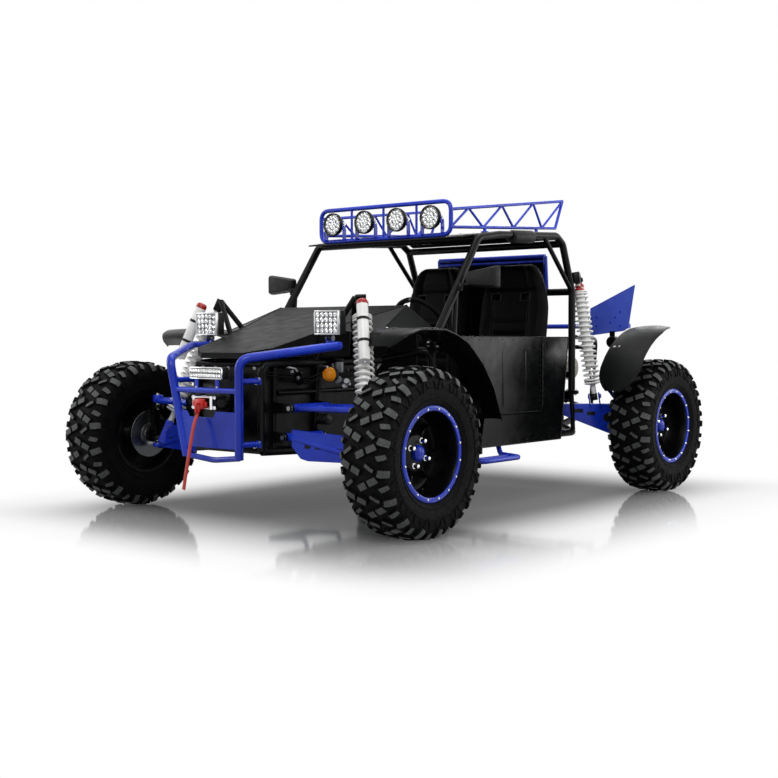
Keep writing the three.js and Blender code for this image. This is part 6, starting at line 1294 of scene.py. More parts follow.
def trailingGroups(side):
    blue, steel, black, disc = [], [], [], []
    boxEnd = 995
    near, far = at(side * 432, 736, 0), at(side * 700, boxEnd, 0)
    across = Vector((side * (far.y - near.y), side * (near.x - far.x), 0)).normalized()

    def up(point, z):
        return Vector((point.x, point.y, z / 1000))
    corners = [up(near, 415), up(far, 268), up(far, 462), up(near, 462)]
    box = sheetPart([c - across * 0.022 for c in corners], 44)
    middle = sum((v.co for v in box.verts), Vector()) / len(box.verts)
    want = (up(near, 415) + up(far, 462)) / 2
    shift = (want - middle).dot(across)
    bmesh.ops.translate(box, vec=across * shift, verts=box.verts)
    softEdges(box, 0.005, 2, 50)
    blue.append(box)
    way = (far - near).normalized()
    turn = Matrix((way, across, (0, 0, 1))).transposed().to_4x4()
    hole = near.lerp(far, 0.74)
    for sign in (-1, 1):
        spot = up(hole, 388) + across * sign * 0.0222
        black.append(lathe([(0, 0), (24, 0), (24, 0.8), (0, 0.8)], 32, across * sign, spot))
        blue.append(lathe([(24, -1), (30, -1), (29, 1.5), (24.5, 2), (24, -1)], 36, across * sign, spot))
        for share, z, wide in ((0.30, 425, 60), (0.50, 410, 44)):
            black.append(moved(slab((0, 0, 0), (wide, 1, 20), 0.4),
                               Matrix.Translation(up(near.lerp(far, share), z) + across * sign * 0.0222) @ turn))
    mid = at(side * 410, 700, 440)
    blue.append(lathe(ringLine(8.5, 23, -57.7, 57.7, 22.5, 1.7), 36, (1, 0, 0), mid))
    blue.append(tubes([([at(side * 372, 700, 440), at(side * 700, boxEnd, axleZ)], 0.020, 0)]))
    hub = at(side * 700, rearAxleY, axleZ)
    blue.append(slab(at(side * 718.3, 1050, 363.1), (44, 143, 168), 6))
    steel.append(lathe([(0, 10), (29.5, 10), (29.5, 172), (27, 176.4), (0, 176.4)], 32, (side, 0, 0), hub))
    disc.append(lathe(ringLine(30, 118.5, 52, 57, 118, 0.5), 64, (side, 0, 0), hub))
    black.append(slab(at(side * 754, 970, 372), (36, 44, 78), 6))
    place, length = shockSpots["rear_left" if side > 0 else "rear_right"]
    blue += clevisParts(place, 20, -length * 1000 - 60, -length * 1000 + 20, 20, pin=-length * 1000)
    stayTurn, stayReach = math.radians(122), rearFender["radius"] * 1.073
    stayY, stayZ = rearAxleY + stayReach * math.cos(stayTurn), axleZ + stayReach * math.sin(stayTurn)
    blue.append(tubes([([at(side * 713.75, 995, 410), at(side * 702, stayY, 563),
                         at(side * 766, stayY + 6, stayZ - 16)], 0.010, 0.02)]))
    bolts = []
    for dx in (-14, 14):
        bolts += bolt(at(side * (766 + dx), stayY + 1, stayZ + 3), (0, -0.5, 1), 6, 4)
    return [(bluePowder, blue), (zincSteel, [steel, bolts]), (softBlack, black), (turnedSteel, disc),
            (satinPanel, [rearFenderPart(side)])]


for name, side in bothSides:
    makePiece(f"trailingArm_{name}", f"trailing_arm_{name}", trailingGroups(side), f"trailing_arm_{name}")
print("arms ready")


# Front fenders: swept sheet with softened bends, narrowing to the sill
frontFender = {
    "line": [(-992, 777), (-966, 826), (-902, 853), (-741, 853), (-606, 831), (-487, 795), (-317, 694), (-196, 585),
             (-96, 430)],
    "inner": 553, "thick": 4, "bend": 90,
}


def frontOuter(y):  # outer edge of the fender at a place along it
    edge = [(-992, 690), (-984, 726), (-966, 760), (-940, 786), (-902, 800), (-741, 800), (-606, 762.5), (-91, 650)]
    for (y1, x1), (y2, x2) in zip(edge, edge[1:]):
        if y <= y2:
            return x1 + (x2 - x1) * max(0, (y - y1)) / (y2 - y1)
    return edge[-1][1]


def frontFenderGroups(side):
    corners = [(0, y, z) for y, z in frontFender["line"]]
    line = bentLine(corners, frontFender["bend"], 6)
    fine = []
    for a, b in zip(line, line[1:]):
        steps = max(1, int((b - a).length / 28))
        fine += [a.lerp(b, k / steps) for k in range(steps)]
    fine.append(line[-1])
    skin = fenderSheet(side, [(p.y, p.z) for p in fine], [frontFender["inner"]] * len(fine),
                       [frontOuter(p.y) for p in fine], frontFender["thick"], 5)
    pad, stayEnd = at(side * 536.2, -462, 758), at(side * 613, -487, 791)
    stay = [slab(pad, (8, 28, 28), 1.5), rod(pad, stayEnd, 6, sides=16)]
    bolts = []
    for dx, dy in ((0, 0), (-16, 12)):
        bolts += bolt(at(side * (613 + dx), -487 + dy, 797 - dy * 0.6), (0, 0.35, 1), 6.5, 4)
    for y, z in ((-860, 855), (-700, 849)):
        bolts += bolt(at(side * 572, y, z), (0, 0, 1), 6, 4)
    return [(glossPanel, [skin]), (blackPowder, stay), (zincSteel, bolts)]


for name, side in bothSides:
    makePiece(f"frontFender_{name}", "chassis", frontFenderGroups(side), f"front_fender_{name}", 30)
print("fenders ready")

# Body panels keep their solids; rivets, hinges and trims are laid on them
for node, finish in {"roof_panel": satinPanel, "hood": satinPanel, "dashboard": softBlack, "body_tub": glossPanel,
                     "door_left": glossPanel,
                     "door_right": glossPanel}.items():
    dress(node, finish)
rivet = {"radius": 4.2, "height": 1.8}


def rivetAt(place, way):
    return lathe([(0, rivet["height"]), (rivet["radius"] * 0.55, rivet["height"] * 0.85),
                  (rivet["radius"] * 0.9, rivet["height"] * 0.4), (rivet["radius"], -0.6), (0, -0.6)], 12, way, place)


def rivetRow(a, b, way, count):
    a, b = Vector(a), Vector(b)
    return [rivetAt(a.lerp(b, (k + 0.5) / count), way) for k in range(count)]


def roofTopAt(y):  # height of the roof skin's upper face, millimetres
    line = [(-204, 1288.6), (84, 1329.1), (611, 1355.7)]
    (y1, z1), (y2, z2) = (line[0], line[1]) if y < 84 else (line[1], line[2])
    return z1 + (z2 - z1) * (y - y1) / (y2 - y1) + 3.05


def roofTrim():
    rivets, seams = [], []
    for y in (-101, 84, 598):
        rivets += rivetRow(at(-470, y, roofTopAt(y)), at(470, y, roofTopAt(y)), (0, -0.09, 1), 12)
    edge = [at(x, y, roofTopAt(y) - 1.5) for x, y in ((-488, 605), (-488, 84), (-488, -203), (488, -203), (488, 84),
                                                      (488, 605))]
    seams.append(tubes([(edge, 0.0042, 0)], 3))
    apron = sheetPart([at(x, y, z) for x, y, z in ((-486, 604, 1351), (486, 604, 1351), (486, 664, 1325),
                                                   (-486, 664, 1325))], 3, 0.8)
    rivets += rivetRow(at(-460, 655, 1332), at(460, 655, 1332), (0, 0.4, 0.9), 10)
    return [(blackPowder, rivets), (softBlack, seams), (satinPanel, [apron])]


makePiece("roofTrim", "chassis", roofTrim())


hoodSlope = {"low": 749, "high": 963, "nose": -1283, "run": 780}


def hoodPoint(x, y):  # upper face of the sloping hood plate, millimetres
    rise = hoodSlope["high"] - hoodSlope["low"]
    return at(x, y, hoodSlope["low"] + rise * (y - hoodSlope["nose"]) / hoodSlope["run"])


def hoodTrim():
    up = Vector((0, (hoodSlope["low"] - hoodSlope["high"]) / hoodSlope["run"], 1)).normalized()
    rivets = []
    outline = [(-386, -512), (-258, -944), (-228, -1196), (-126, -1268), (126, -1268), (228, -1196), (258, -944),
               (386, -512)]
    for (x1, y1), (x2, y2) in zip(outline, outline[1:]):
        count = max(2, int(math.hypot(x2 - x1, y2 - y1) / 130))
        rivets += rivetRow(hoodPoint(x1, y1) + up * 0.0003, hoodPoint(x2, y2) + up * 0.0003, up, count)
    grille = []
    for k in range(7):  # louvres let into the skirt either side of the nose
        for side in (-1, 1):
            y = -970 - k * 31
            x = side * (265 - 30 * (k * 31 + 20) / 257 + 0.6)
            grille.append(slab(at(x, y, 772 - k * 4.4), (4, 18, 26), 1.2))
    return [(blackPowder, rivets), (softBlack, grille)]


makePiece("hoodTrim", "chassis", hoodTrim())


def tubTrim():
    rivets, steel, black = [], [], []
    for side in (1, -1):
        x, way = side * 548.2, (side, 0, 0)
        rivets += rivetRow(at(x, -105, 306), at(x, 585, 306), way, 10)
        rivets += rivetRow(at(x, 655, 780), at(x, 606, 330), way, 6)
        rivets += rivetRow(at(x, 430, 800), at(x, 655, 800), way, 4)
        black.append(tubes([([at(side * 547, -119, 290), at(side * 547, 597, 290), at(side * 547, 667, 816),
                              at(side * 547, 414, 816)], 0.0035, 0.006)], 3))
        for z in range(460, 785, 13):  # knuckles of the piano hinge
            black.append(slab(at(side * 551.4, 412.7, z), (5, 6, 11.8), 1.2))
    rivets += rivetRow(at(-440, 675.4, 585), at(440, 675.4, 585), (0, 1, 0), 12)
    for k in range(9):  # pressed treads across the floor
        y = -400 + k * 60
        black.append(slab(at(-250, y, 330.5), (300, 12, 2.2), 0.8))
        black.append(slab(at(250, y, 330.5), (300, 12, 2.2), 0.8))
    for side in (-1, 1):  # shifter gate plates beside the lever
        steel.append(slab(at(side * 15.5, 150, 397), (2, 40, 6), 0.6))
    return [(blackPowder, rivets), (zincSteel, steel), (softBlack, black)]


makePiece("tubTrim", "chassis", tubTrim())


def doorTrim(side):
    rivets, black, steel = [], [], []
    x, way = side * 548.2, (side, 0, 0)
    outline = [(392, 455), (392, 806), (-282, 806), (-282, 705), (-166, 607), (-70, 455)]
    for (y1, z1), (y2, z2) in zip(outline, outline[1:]):
        count = max(1, int(math.hypot(y2 - y1, z2 - z1) / 86))
        rivets += rivetRow(at(x, y1, z1), at(x, y2, z2), way, count)
    edge = [(405, 442), (405, 819), (-295, 819), (-295, 701), (-177, 601), (-77, 442), (405, 442)]
    black.append(tubes([([at(side * 547, y, z) for y, z in edge], 0.0035, 0)], 3))
    black.append(slab(at(side * 549, -232, 762), (4, 70, 34), 1.5))  # paddle latch
    steel.append(slab(at(side * 551.5, -226, 762), (4, 46, 18), 1.8))
    for z in range(466, 785, 26):
        black.append(slab(at(side * 553.2, 411, z), (4, 7.6, 12.2), 1.2))
        rivets.append(rivetAt(at(side * 550.3, 396, z), way))
    for k in range(2):  # stiffening ribs pressed in the skin
        black.append(slab(at(side * 548.4, 60 + k * 200, 610), (2.2, 12, 270), 1))
    return [(blackPowder, rivets), (zincSteel, steel), (glossPanel, black)]


for name, side in bothSides:
    makePiece(f"doorTrim_{name}", f"door_{name}", doorTrim(side))


def dashTrim():
    black, chrome, glass, red, dial = [], [], [], [], []
    faceY = -399.4
    for x, radius in ((-62, 33), (14, 24), (78, 24)):  # three round gauges in the pod
        black.append(lathe([(radius * 0.86, 1), (radius, 4), (radius, 8), (radius * 0.88, 8.5), (radius * 0.86, 1)],
                           40, (0, 1, 0), at(x, faceY, 903)))
        dial.append(rod(at(x, faceY, 903), at(x, faceY + 1.5, 903), radius * 0.87, sides=40))
        glass.append(lathe([(0, 6.2), (radius * 0.6, 5.8), (radius * 0.87, 4.8), (radius * 0.87, 4), (0, 5)], 32,
                           (0, 1, 0), at(x, faceY, 903)))
        for k in range(11):
            angle = math.radians(-130 + k * 26)
            spot = at(x, faceY + 1.8, 903) + at(math.sin(angle), 0, math.cos(angle)) * radius * 0.72
            chrome.append(moved(slab((0, 0, 0), (1.2, 0.6, radius * 0.14)),
                                Matrix.Translation(spot) @ Matrix.Rotation(angle, 4, "Y")))
        red.append(moved(slab(at(0, 0, radius * 0.3), (1.4, 0.8, radius * 0.72)),
                         Matrix.Translation(at(x, faceY + 2.4, 903)) @ Matrix.Rotation(-0.7, 4, "Y")))
    for k in range(5):  # rocker switches under the gauges
        black.append(slab(at(-190 - k * 34, -466, 905), (24, 8, 36), 2))
        red.append(slab(at(-190 - k * 34, -462, 914), (10, 2, 5), 0.6))
    chrome.append(lathe([(6, 0), (13, 0), (13, 6), (10, 10), (6, 10), (6, 0)], 28, (0, 1, 0), at(150, -467, 905)))
    chrome.append(slab(at(150, -455, 905), (3, 14, 16), 1))
    for x in (-410, -250, -80, 90, 230, 410):
        chrome.append(rivetAt(at(x, -466.9, 860), (0, 1, 0)))
    black.append(slab(at(-300, -452, 820), (190, 30, 16), 6))  # grab rail for the passenger
    return [(softBlack, black), (chromeSteel, chrome), (clearGlass, glass), (redPlastic, red), (gaugeFace, dial)]


gaugeFace = powderCoat("matt_gauge_face", "#1A1B1C", "#1E1F20", "#242526", 0.6, 0.7, 0.01)
makePiece("dashTrim", "chassis", dashTrim())
print("panel trims ready")


# Mirrors: moulded shell with a rounded back, glass facing the driver
mirrorShape = [(-0.5, -0.26), (-0.42, -0.38), (0.42, -0.5), (0.5, -0.44), (0.5, 0.42), (0.46, 0.5), (-0.44, 0.28),
               (-0.5, 0.2)]


def mirrorGroups(side):
    head = at(side * 642, -255, 1092)
    shell = bmesh.new()
    rings = []
    for depth, share in ((-23, 0.74), (-21.5, 0.82), (-12, 0.92), (0, 0.98), (10, 1.0), (22, 1.0), (23, 0.985),
                         (23, 0.93), (19.5, 0.92)):
        ring = [shell.verts.new(head + at(side * u * 178 * share, depth, v * 104 * share)) for u, v in mirrorShape]
        rings.append([shell.edges.new((ring[i], ring[(i + 1) % 8])) for i in range(8)])
    for lower, upper in zip(rings, rings[1:]):
        bmesh.ops.bridge_loops(shell, edges=lower + upper)
    bmesh.ops.holes_fill(shell, edges=rings[0] + rings[-1], sides=8)
    bmesh.ops.recalc_face_normals(shell, faces=shell.faces)
    outer = [e for e in shell.edges if abs(e.verts[0].co.y - e.verts[1].co.y) > 0.0005 and e.calc_face_angle(0) > 0.4]
    bmesh.ops.bevel(shell, geom=outer, offset=0.005, offset_type="OFFSET", affect="EDGES", segments=3, profile=0.5,
                    material=-1, clamp_overlap=True)
    glass = sheetPart([head + at(side * u * 178 * 0.915, 19.7, v * 104 * 0.915)
                       for u, v in (mirrorShape if side < 0 else mirrorShape[::-1])], 0.8)
    pivot = at(side * 546, -281.5, 1058)
    ring = lathe([(6.3, -9.7), (11.5, -9.7), (12, -9), (12, 9), (11.5, 10), (6.3, 10), (6.3, -9.7)], 28, (0, 0, 1),
                 pivot)
    arm = rod(pivot + at(side * 11, 0, 0), head + at(side * -10, 1, -31.2), 6.6, 6, 20)
    ball = lathe([(0, -12), (7, -10), (11, -5), (12, 0), (11, 5), (7, 10), (0, 12)], 20, (side, 0, 0),
                 head + at(side * -22, 0, -33))
    return [(softBlack, [shell, ring, ball]), (blackPowder, [arm]), (mirrorGlass, [glass])]


for name, side in bothSides:
    makePiece(f"sideMirror_{name}", f"mirror_{name}", mirrorGroups(side), f"mirror_{name}", 30)
print("mirrors ready")

# Nose and driveline: splash flaps, steering rack, marker lamps, horn, wiring and half shafts
def noseGroups():
    rubber, cast, steel, amber, wires = [], [], [], [], []
    for side in (1, -1):
        rubber.append(slab(at(side * 196, -1205, 515), (3, 66, 362), 1))
        flap = sheetPart([at(side * x, y, z) for x, y, z in ((196, -1160, 560), (208, -900, 560), (216, -900, 696),
                                                             (198, -1160, 690))], 3)
        rubber.append(flap)
        rubber.append(sheetPart([at(side * x, y, z) for x, y, z in ((195, -1162, 336), (210, -898, 336),
                                                                    (210, -898, 562), (196, -1162, 562))], 3))
        rubber.append(sheetPart([at(side * x, y, z) for x, y, z in ((215, -920, 335), (232, -610, 330),
                                                                    (285, -575, 700), (240, -915, 696))], 3))
        lampAt = at(side * 355, -970, 655)
        steel.append(tubes([([at(side * 246, -930, 690), at(side * 318, -958, 686), lampAt + at(0, 20, 4)], 0.006,
                             0.02)], 3))
        rubber.append(lathe([(0, -24), (20, -24), (30, -15), (34, 0), (34, 8), (0, 8)], 36, (0, -1, 0), lampAt))
        steel.append(lathe([(0, 8.5), (14, 9.5), (26, 13.5), (31.8, 8.5)], 32, (0, -1, 0), lampAt))
        amber.append(lathe([(0, 38), (12, 37), (22, 32), (29, 21), (32.2, 8.5)], 36, (0, -1, 0), lampAt))
        for radius, place in ((14, 36.8), (22.5, 32.2), (28.6, 22.2)):
            amber.append(lathe([(radius - 1.4, place - 1), (radius, place + 1.4), (radius + 1.4, place - 1)], 36,
                               (0, -1, 0), lampAt))
        # brake reservoir and horn on the upper rail
        pot = at(side * 300, -860, 690)
        cast.append(lathe([(0, -30), (18, -30), (21, -26), (21, 16), (18, 18), (0, 18)], 28, (0, 0, 1), pot))
        rubber.append(lathe([(0, 18), (22, 18), (23.5, 21), (23.5, 30), (21, 33), (0, 33)], 28, (0, 0, 1), pot))
        steel.append(tubes([([at(side * 262, -800, 700), pot + at(0, 0, -4)], 0.008, 0)], 4))
        horn = at(side * 262, -1075, 640)
        wires.append(lathe([(0, -14), (24, -14), (29, -9), (31, 0), (28, 5), (12, 8), (0, 10)], 36, (0, -1, 0), horn))
        steel.append(lathe([(0, 10), (8, 10), (9, 8.5), (12, 8), (0, 8)], 24, (0, -1, 0), horn))
        # brake hose unions and a relay
        for dx, y, z, radius in ((338, -905, 628, 13), (372, -888, 622, 11), (352, -880, 600, 9)):
            cast.append(lathe([(0, -22), (radius, -22), (radius, -8), (radius * 1.25, -6), (radius * 1.25, 6),
                               (radius, 8), (radius, 20), (0, 20)], 24, (side * 0.5, -0.8, 0.2), at(side * dx, y, z)))
        cast.append(tubes([([at(side * 262, -860, 700), at(side * 300, -872, 622), at(side * 385, -885, 612)], 0.007,
                            0.03)], 4))
        cast.append(tubes([([at(side * 212, -1120, 690), at(side * 250, -1085, 680), horn + at(0, 12, 6)], 0.005,
                            0.02)], 3))
        for k, (dx, drop) in enumerate(((0, 0), (9, 14), (-8, 26))):  # loom from the dashboard to the lamps
            wires.append(tubes([(smoothLine([at(side * (262 + dx), -600, 690 - drop),
                                             at(side * (276 + dx), -760, 662 - drop),
                                             at(side * (262 + dx), -900, 672 - drop),
                                             at(side * (258 + dx), -1010, 640 - drop),
                                             at(side * (226 + dx), -1120, 655 - drop),
                                             at(side * 205, -1225, 668 - drop)], 8), 0.0042 - k * 0.0007, 0)], 3))
        wires.append(tubes([(smoothLine([at(side * 258, -1000, 652), at(side * 300, -1000, 690),
                                         at(side * 352, -958, 672)], 8), 0.0032, 0)], 3))
        for y in (-760, -900, -1120):
            steel.append(lathe(ringLine(5.2, 6.6, -3, 3), 16, (0, 1, 0), at(side * 262, y, 668)))
        wires.append(tubes([([at(side * 219, -1166, 578), at(side * 228, -900, 580), at(side * 285, -600, 586)],
                             0.0125, 0.05)]))
        bellows = [(19 + 6 * (k % 2), 210 + k * 7.5) for k in range(12)]
        rubber.append(lathe([(0, 205)] + bellows + [(10, 300), (0, 300)], 28, (side, 0, 0), at(0, -915, 455)))
    cast.append(rod(at(-210, -915, 455), at(210, -915, 455), 22, sides=28))
    cast.append(slab(at(60, -915, 468), (70, 56, 60), 10))
    steel.append(tubes([([at(270, -534, 700), at(250, -620, 610), at(70, -905, 490)], 0.009, 0.03)], 4))
    return [(softBlack, rubber), (castAlloy, cast), (zincSteel, steel), (amberLens, amber), (blackPowder, wires)]


makePiece("noseFittings", "chassis", noseGroups())


def halfShaft(name, side):
    inner, outer = at(side * 238, 1018, 500), at(side * 690, 1050, 352)
    way = (outer - inner).normalized()
    length = (outer - inner).length * 1000
    ridges = [(30 + 7 * (k % 2) - 1.2 * k, 14 + k * 7) for k in range(12)]
    cups = []
    for foot, direction in ((inner, way), (outer, -way)):
        cups.append(lathe([(0, -28), (34, -28), (38, -22), (38, 8), (34, 12), (0, 12)], 32, tuple(direction), foot))
        cups.append(lathe([(13, 12)] + ridges + [(12.5, 104), (12.5, 12)], 32, tuple(direction), foot))
    shaft = [lathe([(0, 80)] + [(12.2, 80 + (length - 160) * k / 12) for k in range(13)] + [(0, length - 80)], 20,
                   tuple(way), inner)]
    piece = makePiece(f"halfShaft_{name}", "", [(softBlack, cups), (zincSteel, shaft)], rides=False)
    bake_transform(piece)


for name, side in bothSides:
    halfShaft(name, side)
print("nose and driveline ready")

# Bucket seats: sewn vinyl over foam, a raised bolster each side, belt slots through the back
seat = {
    "x": 0.250, "half": 0.206, "rear": 0.518, "front": 0.114, "baseMid": 0.4318, "baseHigh": 0.052, "tall": 0.832,
    "lean": math.radians(5.49), "backFoot": (0.549, 0.3745), "panel": 0.55, "round": 0.046,
}


def easeStep(low, high, value):
    t = min(1, max(0, (value - low) / (high - low)))
    return t * t * (3 - 2 * t)


def roundOff(left, radius):  # 0 at an edge, 1 once a radius in from it
    return 1 if left >= radius else math.sqrt(max(0, 1 - (1 - left / radius) ** 2))


def paddedForm(place, length, halfAt, frontAt, backAt, cols=44, rows=130, holes=()):
    # closed cushion on a grid: a front and a back sheet that meet in one seam round the edge
    part = bmesh.new()
    across = [math.sin(math.pi * (i / cols - 0.5)) for i in range(cols + 1)]
    along = [0.72 * j / rows + 0.28 * (0.5 - 0.5 * math.cos(math.pi * j / rows)) for j in range(rows + 1)]
    sheets = []
    for sign, depthAt in ((1, frontAt), (-1, backAt)):
        grid = []
        for j, v in enumerate(along):
            end = roundOff(min(v, 1 - v) * length, seat["round"])
            line = []
            for i, u in enumerate(across):
                if sheets and (i in (0, cols) or j in (0, rows)):
                    line.append(sheets[0][j][i])
                    continue
                half = halfAt(v)
                edge = roundOff((1 - abs(u)) * half, seat["round"] * 0.8)
                line.append(part.verts.new(place @ Vector((u * half, v * length, sign * depthAt(u, v) * end * edge))))
            grid.append(line)
        for j in range(rows):
            for i in range(cols):
                mid = ((across[i] + across[i + 1]) / 2, (along[j] + along[j + 1]) / 2)
                if any(lowU < abs(mid[0]) < highU and lowV < mid[1] < highV for lowU, highU, lowV, highV in holes):
                    continue
                corners = [grid[j][i], grid[j][i + 1], grid[j + 1][i + 1], grid[j + 1][i]]
                part.faces.new(corners if sign > 0 else corners[::-1])
        sheets.append(grid)
    for lowU, highU, lowV, highV in holes:  # wall of each slot
        for way in (-1, 1):
            cells = [(i, j) for i in range(cols) for j in range(rows) if lowU < way * (across[i] + across[i + 1])
                     / 2 < highU and lowV < (along[j] + along[j + 1]) / 2 < highV]
            i0, i1 = min(i for i, j in cells), max(i for i, j in cells) + 1
            j0, j1 = min(j for i, j in cells), max(j for i, j in cells) + 1
            loop = [(i, j0) for i in range(i0, i1)] + [(i1, j)
                                                       for j in range(j0, j1)] + [(i, j1)
                                                           for i in range(i1, i0, -1)] + [(i0, j)
                                                               for j in range(j1, j0, -1)]
            for (ia, ja), (ib, jb) in zip(loop, loop[1:] + loop[:1]):
                part.faces.new([sheets[0][ja][ia], sheets[1][ja][ia], sheets[1][jb][ib], sheets[0][jb][ib]])
    bmesh.ops.recalc_face_normals(part, faces=part.faces)
    return part


def groove(distance, width, depth):
    return depth * math.exp(-(distance / width) ** 2)


def backHalf(v):
    narrow = 1 + (0.78 - 1) * easeStep(0.70, 1.0, v)
    waist = 1 - 0.035 * math.sin(math.pi * min(1, v / 0.62))
    return seat["half"] * narrow * waist * (1 - 0.42 * (1 - roundOff((1 - v) * seat["tall"], 0.13)))


def backFront(u, v):
    side = abs(u)
    wings = 0.9 * easeStep(0.06, 0.3, v) * (1 - easeStep(0.52, 0.70, v)) + 0.28 + 0.25 * easeStep(0.74, 0.84, v)
    depth = 0.034 + 0.010 * (1 - u * u) * (1 - (2 * v - 1) ** 2) + 0.022 * wings * easeStep(seat["panel"] - 0.04,
        seat["panel"] + 0.22, side)
    depth -= groove((side - seat["panel"]) * backHalf(v), 0.004, 0.006)
    if side < seat["panel"]:
        fade = 1 - easeStep(seat["panel"] - 0.07, seat["panel"], side)
        for k in range(7):
            depth -= fade * groove((v - 0.14 - k * 0.083) * seat["tall"], 0.0052, 0.006)
        depth += 0.004 * math.sin(math.pi * min(1, max(0, (v - 0.14) / 0.083 % 1))) * fade * (0.14 < v < 0.64)
    depth += 0.010 * easeStep(0.84, 0.90, v) - groove((v - 0.835) * seat["tall"], 0.006, 0.007)
    return depth


def backRear(u, v):
    return 0.040 + 0.006 * (1 - u * u) - groove((abs(u) - 0.8) * backHalf(v), 0.004, 0.003)


def baseHalf(v):
    return seat["half"] * (1 - 0.03 * math.sin(math.pi * v)) * (1 - 0.12 * (1 - roundOff((1 - v) * 0.40, 0.07)))


def baseTop(u, v):
    side = abs(u)
    depth = 0.036 + 0.012 * (1 - u * u) * math.sin(math.pi
                                                   * v) + 0.022 * easeStep(seat["panel"], seat["panel"] + 0.24,
                                                                           side) * (1 - easeStep(0.72, 0.98, v))
    depth -= groove((side - seat["panel"]) * seat["half"], 0.004, 0.006)
    if side < seat["panel"]:
        fade = 1 - easeStep(seat["panel"] - 0.07, seat["panel"], side)
        for k in range(4):
            depth -= fade * groove((v - 0.22 - k * 0.17) * 0.404, 0.0052, 0.006)
    return depth


def seatGroups(side):
    lean = seat["lean"]
    upright = Matrix(((1, 0, 0, side * seat["x"]), (0, math.sin(lean), -math.cos(lean), seat["backFoot"][0]),
                      (0, math.cos(lean), math.sin(lean), seat["backFoot"][1]), (0, 0, 0, 1)))
    level = Matrix(((-1, 0, 0, side * seat["x"]), (0, -1, 0, seat["rear"]), (0, 0, 1, seat["baseMid"]), (0, 0, 0, 1)))
    slot = (0.34, 0.60, 0.765, 0.808)
    back = paddedForm(upright, seat["tall"], backHalf, backFront, backRear, holes=[slot])
    base = paddedForm(level, seat["rear"] - seat["front"], baseHalf, baseTop, lambda u, v: seat["baseHigh"], rows=84)
    piping, plastic, threads = [], [], []
    for way in (-1, 1):
        u = way * seat["panel"]
        piping.append(tubes([([upright @ Vector((u * backHalf(v), v * seat["tall"], backFront(u, v) + 0.0012))
                               for v in [0.08 + k * 0.0125 for k in range(61)]], 0.0022, 0)], 3))
        piping.append(tubes([([level @ Vector((u * baseHalf(v), v * (seat["rear"] - seat["front"]),
                                               baseTop(u, v) + 0.0012)) for v in [0.13 + k * 0.019
                                                   for k in range(40)]], 0.0022, 0)], 3))
        for edge in (0.030, -0.030):  # sewn run each side of the piping
            for k in range(76):
                v = 0.10 + k * 0.0092
                uu = u + way * edge
                a, b = [upright @ Vector((uu * backHalf(w), w * seat["tall"], backFront(uu, w) + 0.0003))
                        for w in (v, v + 0.0052)]
                threads.append(rod(a, b, 0.6, sides=5))
        mid = (slot[0] + slot[1]) / 2 * backHalf(0.787) * way
        rim = [upright @ Vector((mid + x * 0.0295, seat["tall"] * 0.7865 + y * 0.0205, backFront(0.47, 0.7865)
                                 + 0.0005)) for x, y in ((-1, -1), (1, -1), (1, 1), (-1, 1), (-1, -1))]
        plastic.append(tubes([(rim, 0.0036, 0.010)], 4))
    return [(seatVinylPaintedShade, [back, base, piping]), (softBlack, [plastic]), (greyThread, threads)]


greyThread = powderCoat("bonded_grey_thread", "#3A3B3D", "#4A4B4D", "#5A5B5D", 0.5, 0.7, 0.02)
for name, side in bothSides:
    makePiece(f"bucketSeat_{name}", "chassis", seatGroups(side), f"seat_{name}", 55)
print("seats ready")

# Steering wheel: wrapped ring, three drilled spokes, quick-release hub and column
helm = {"ring": 0.146, "grip": 0.0138}


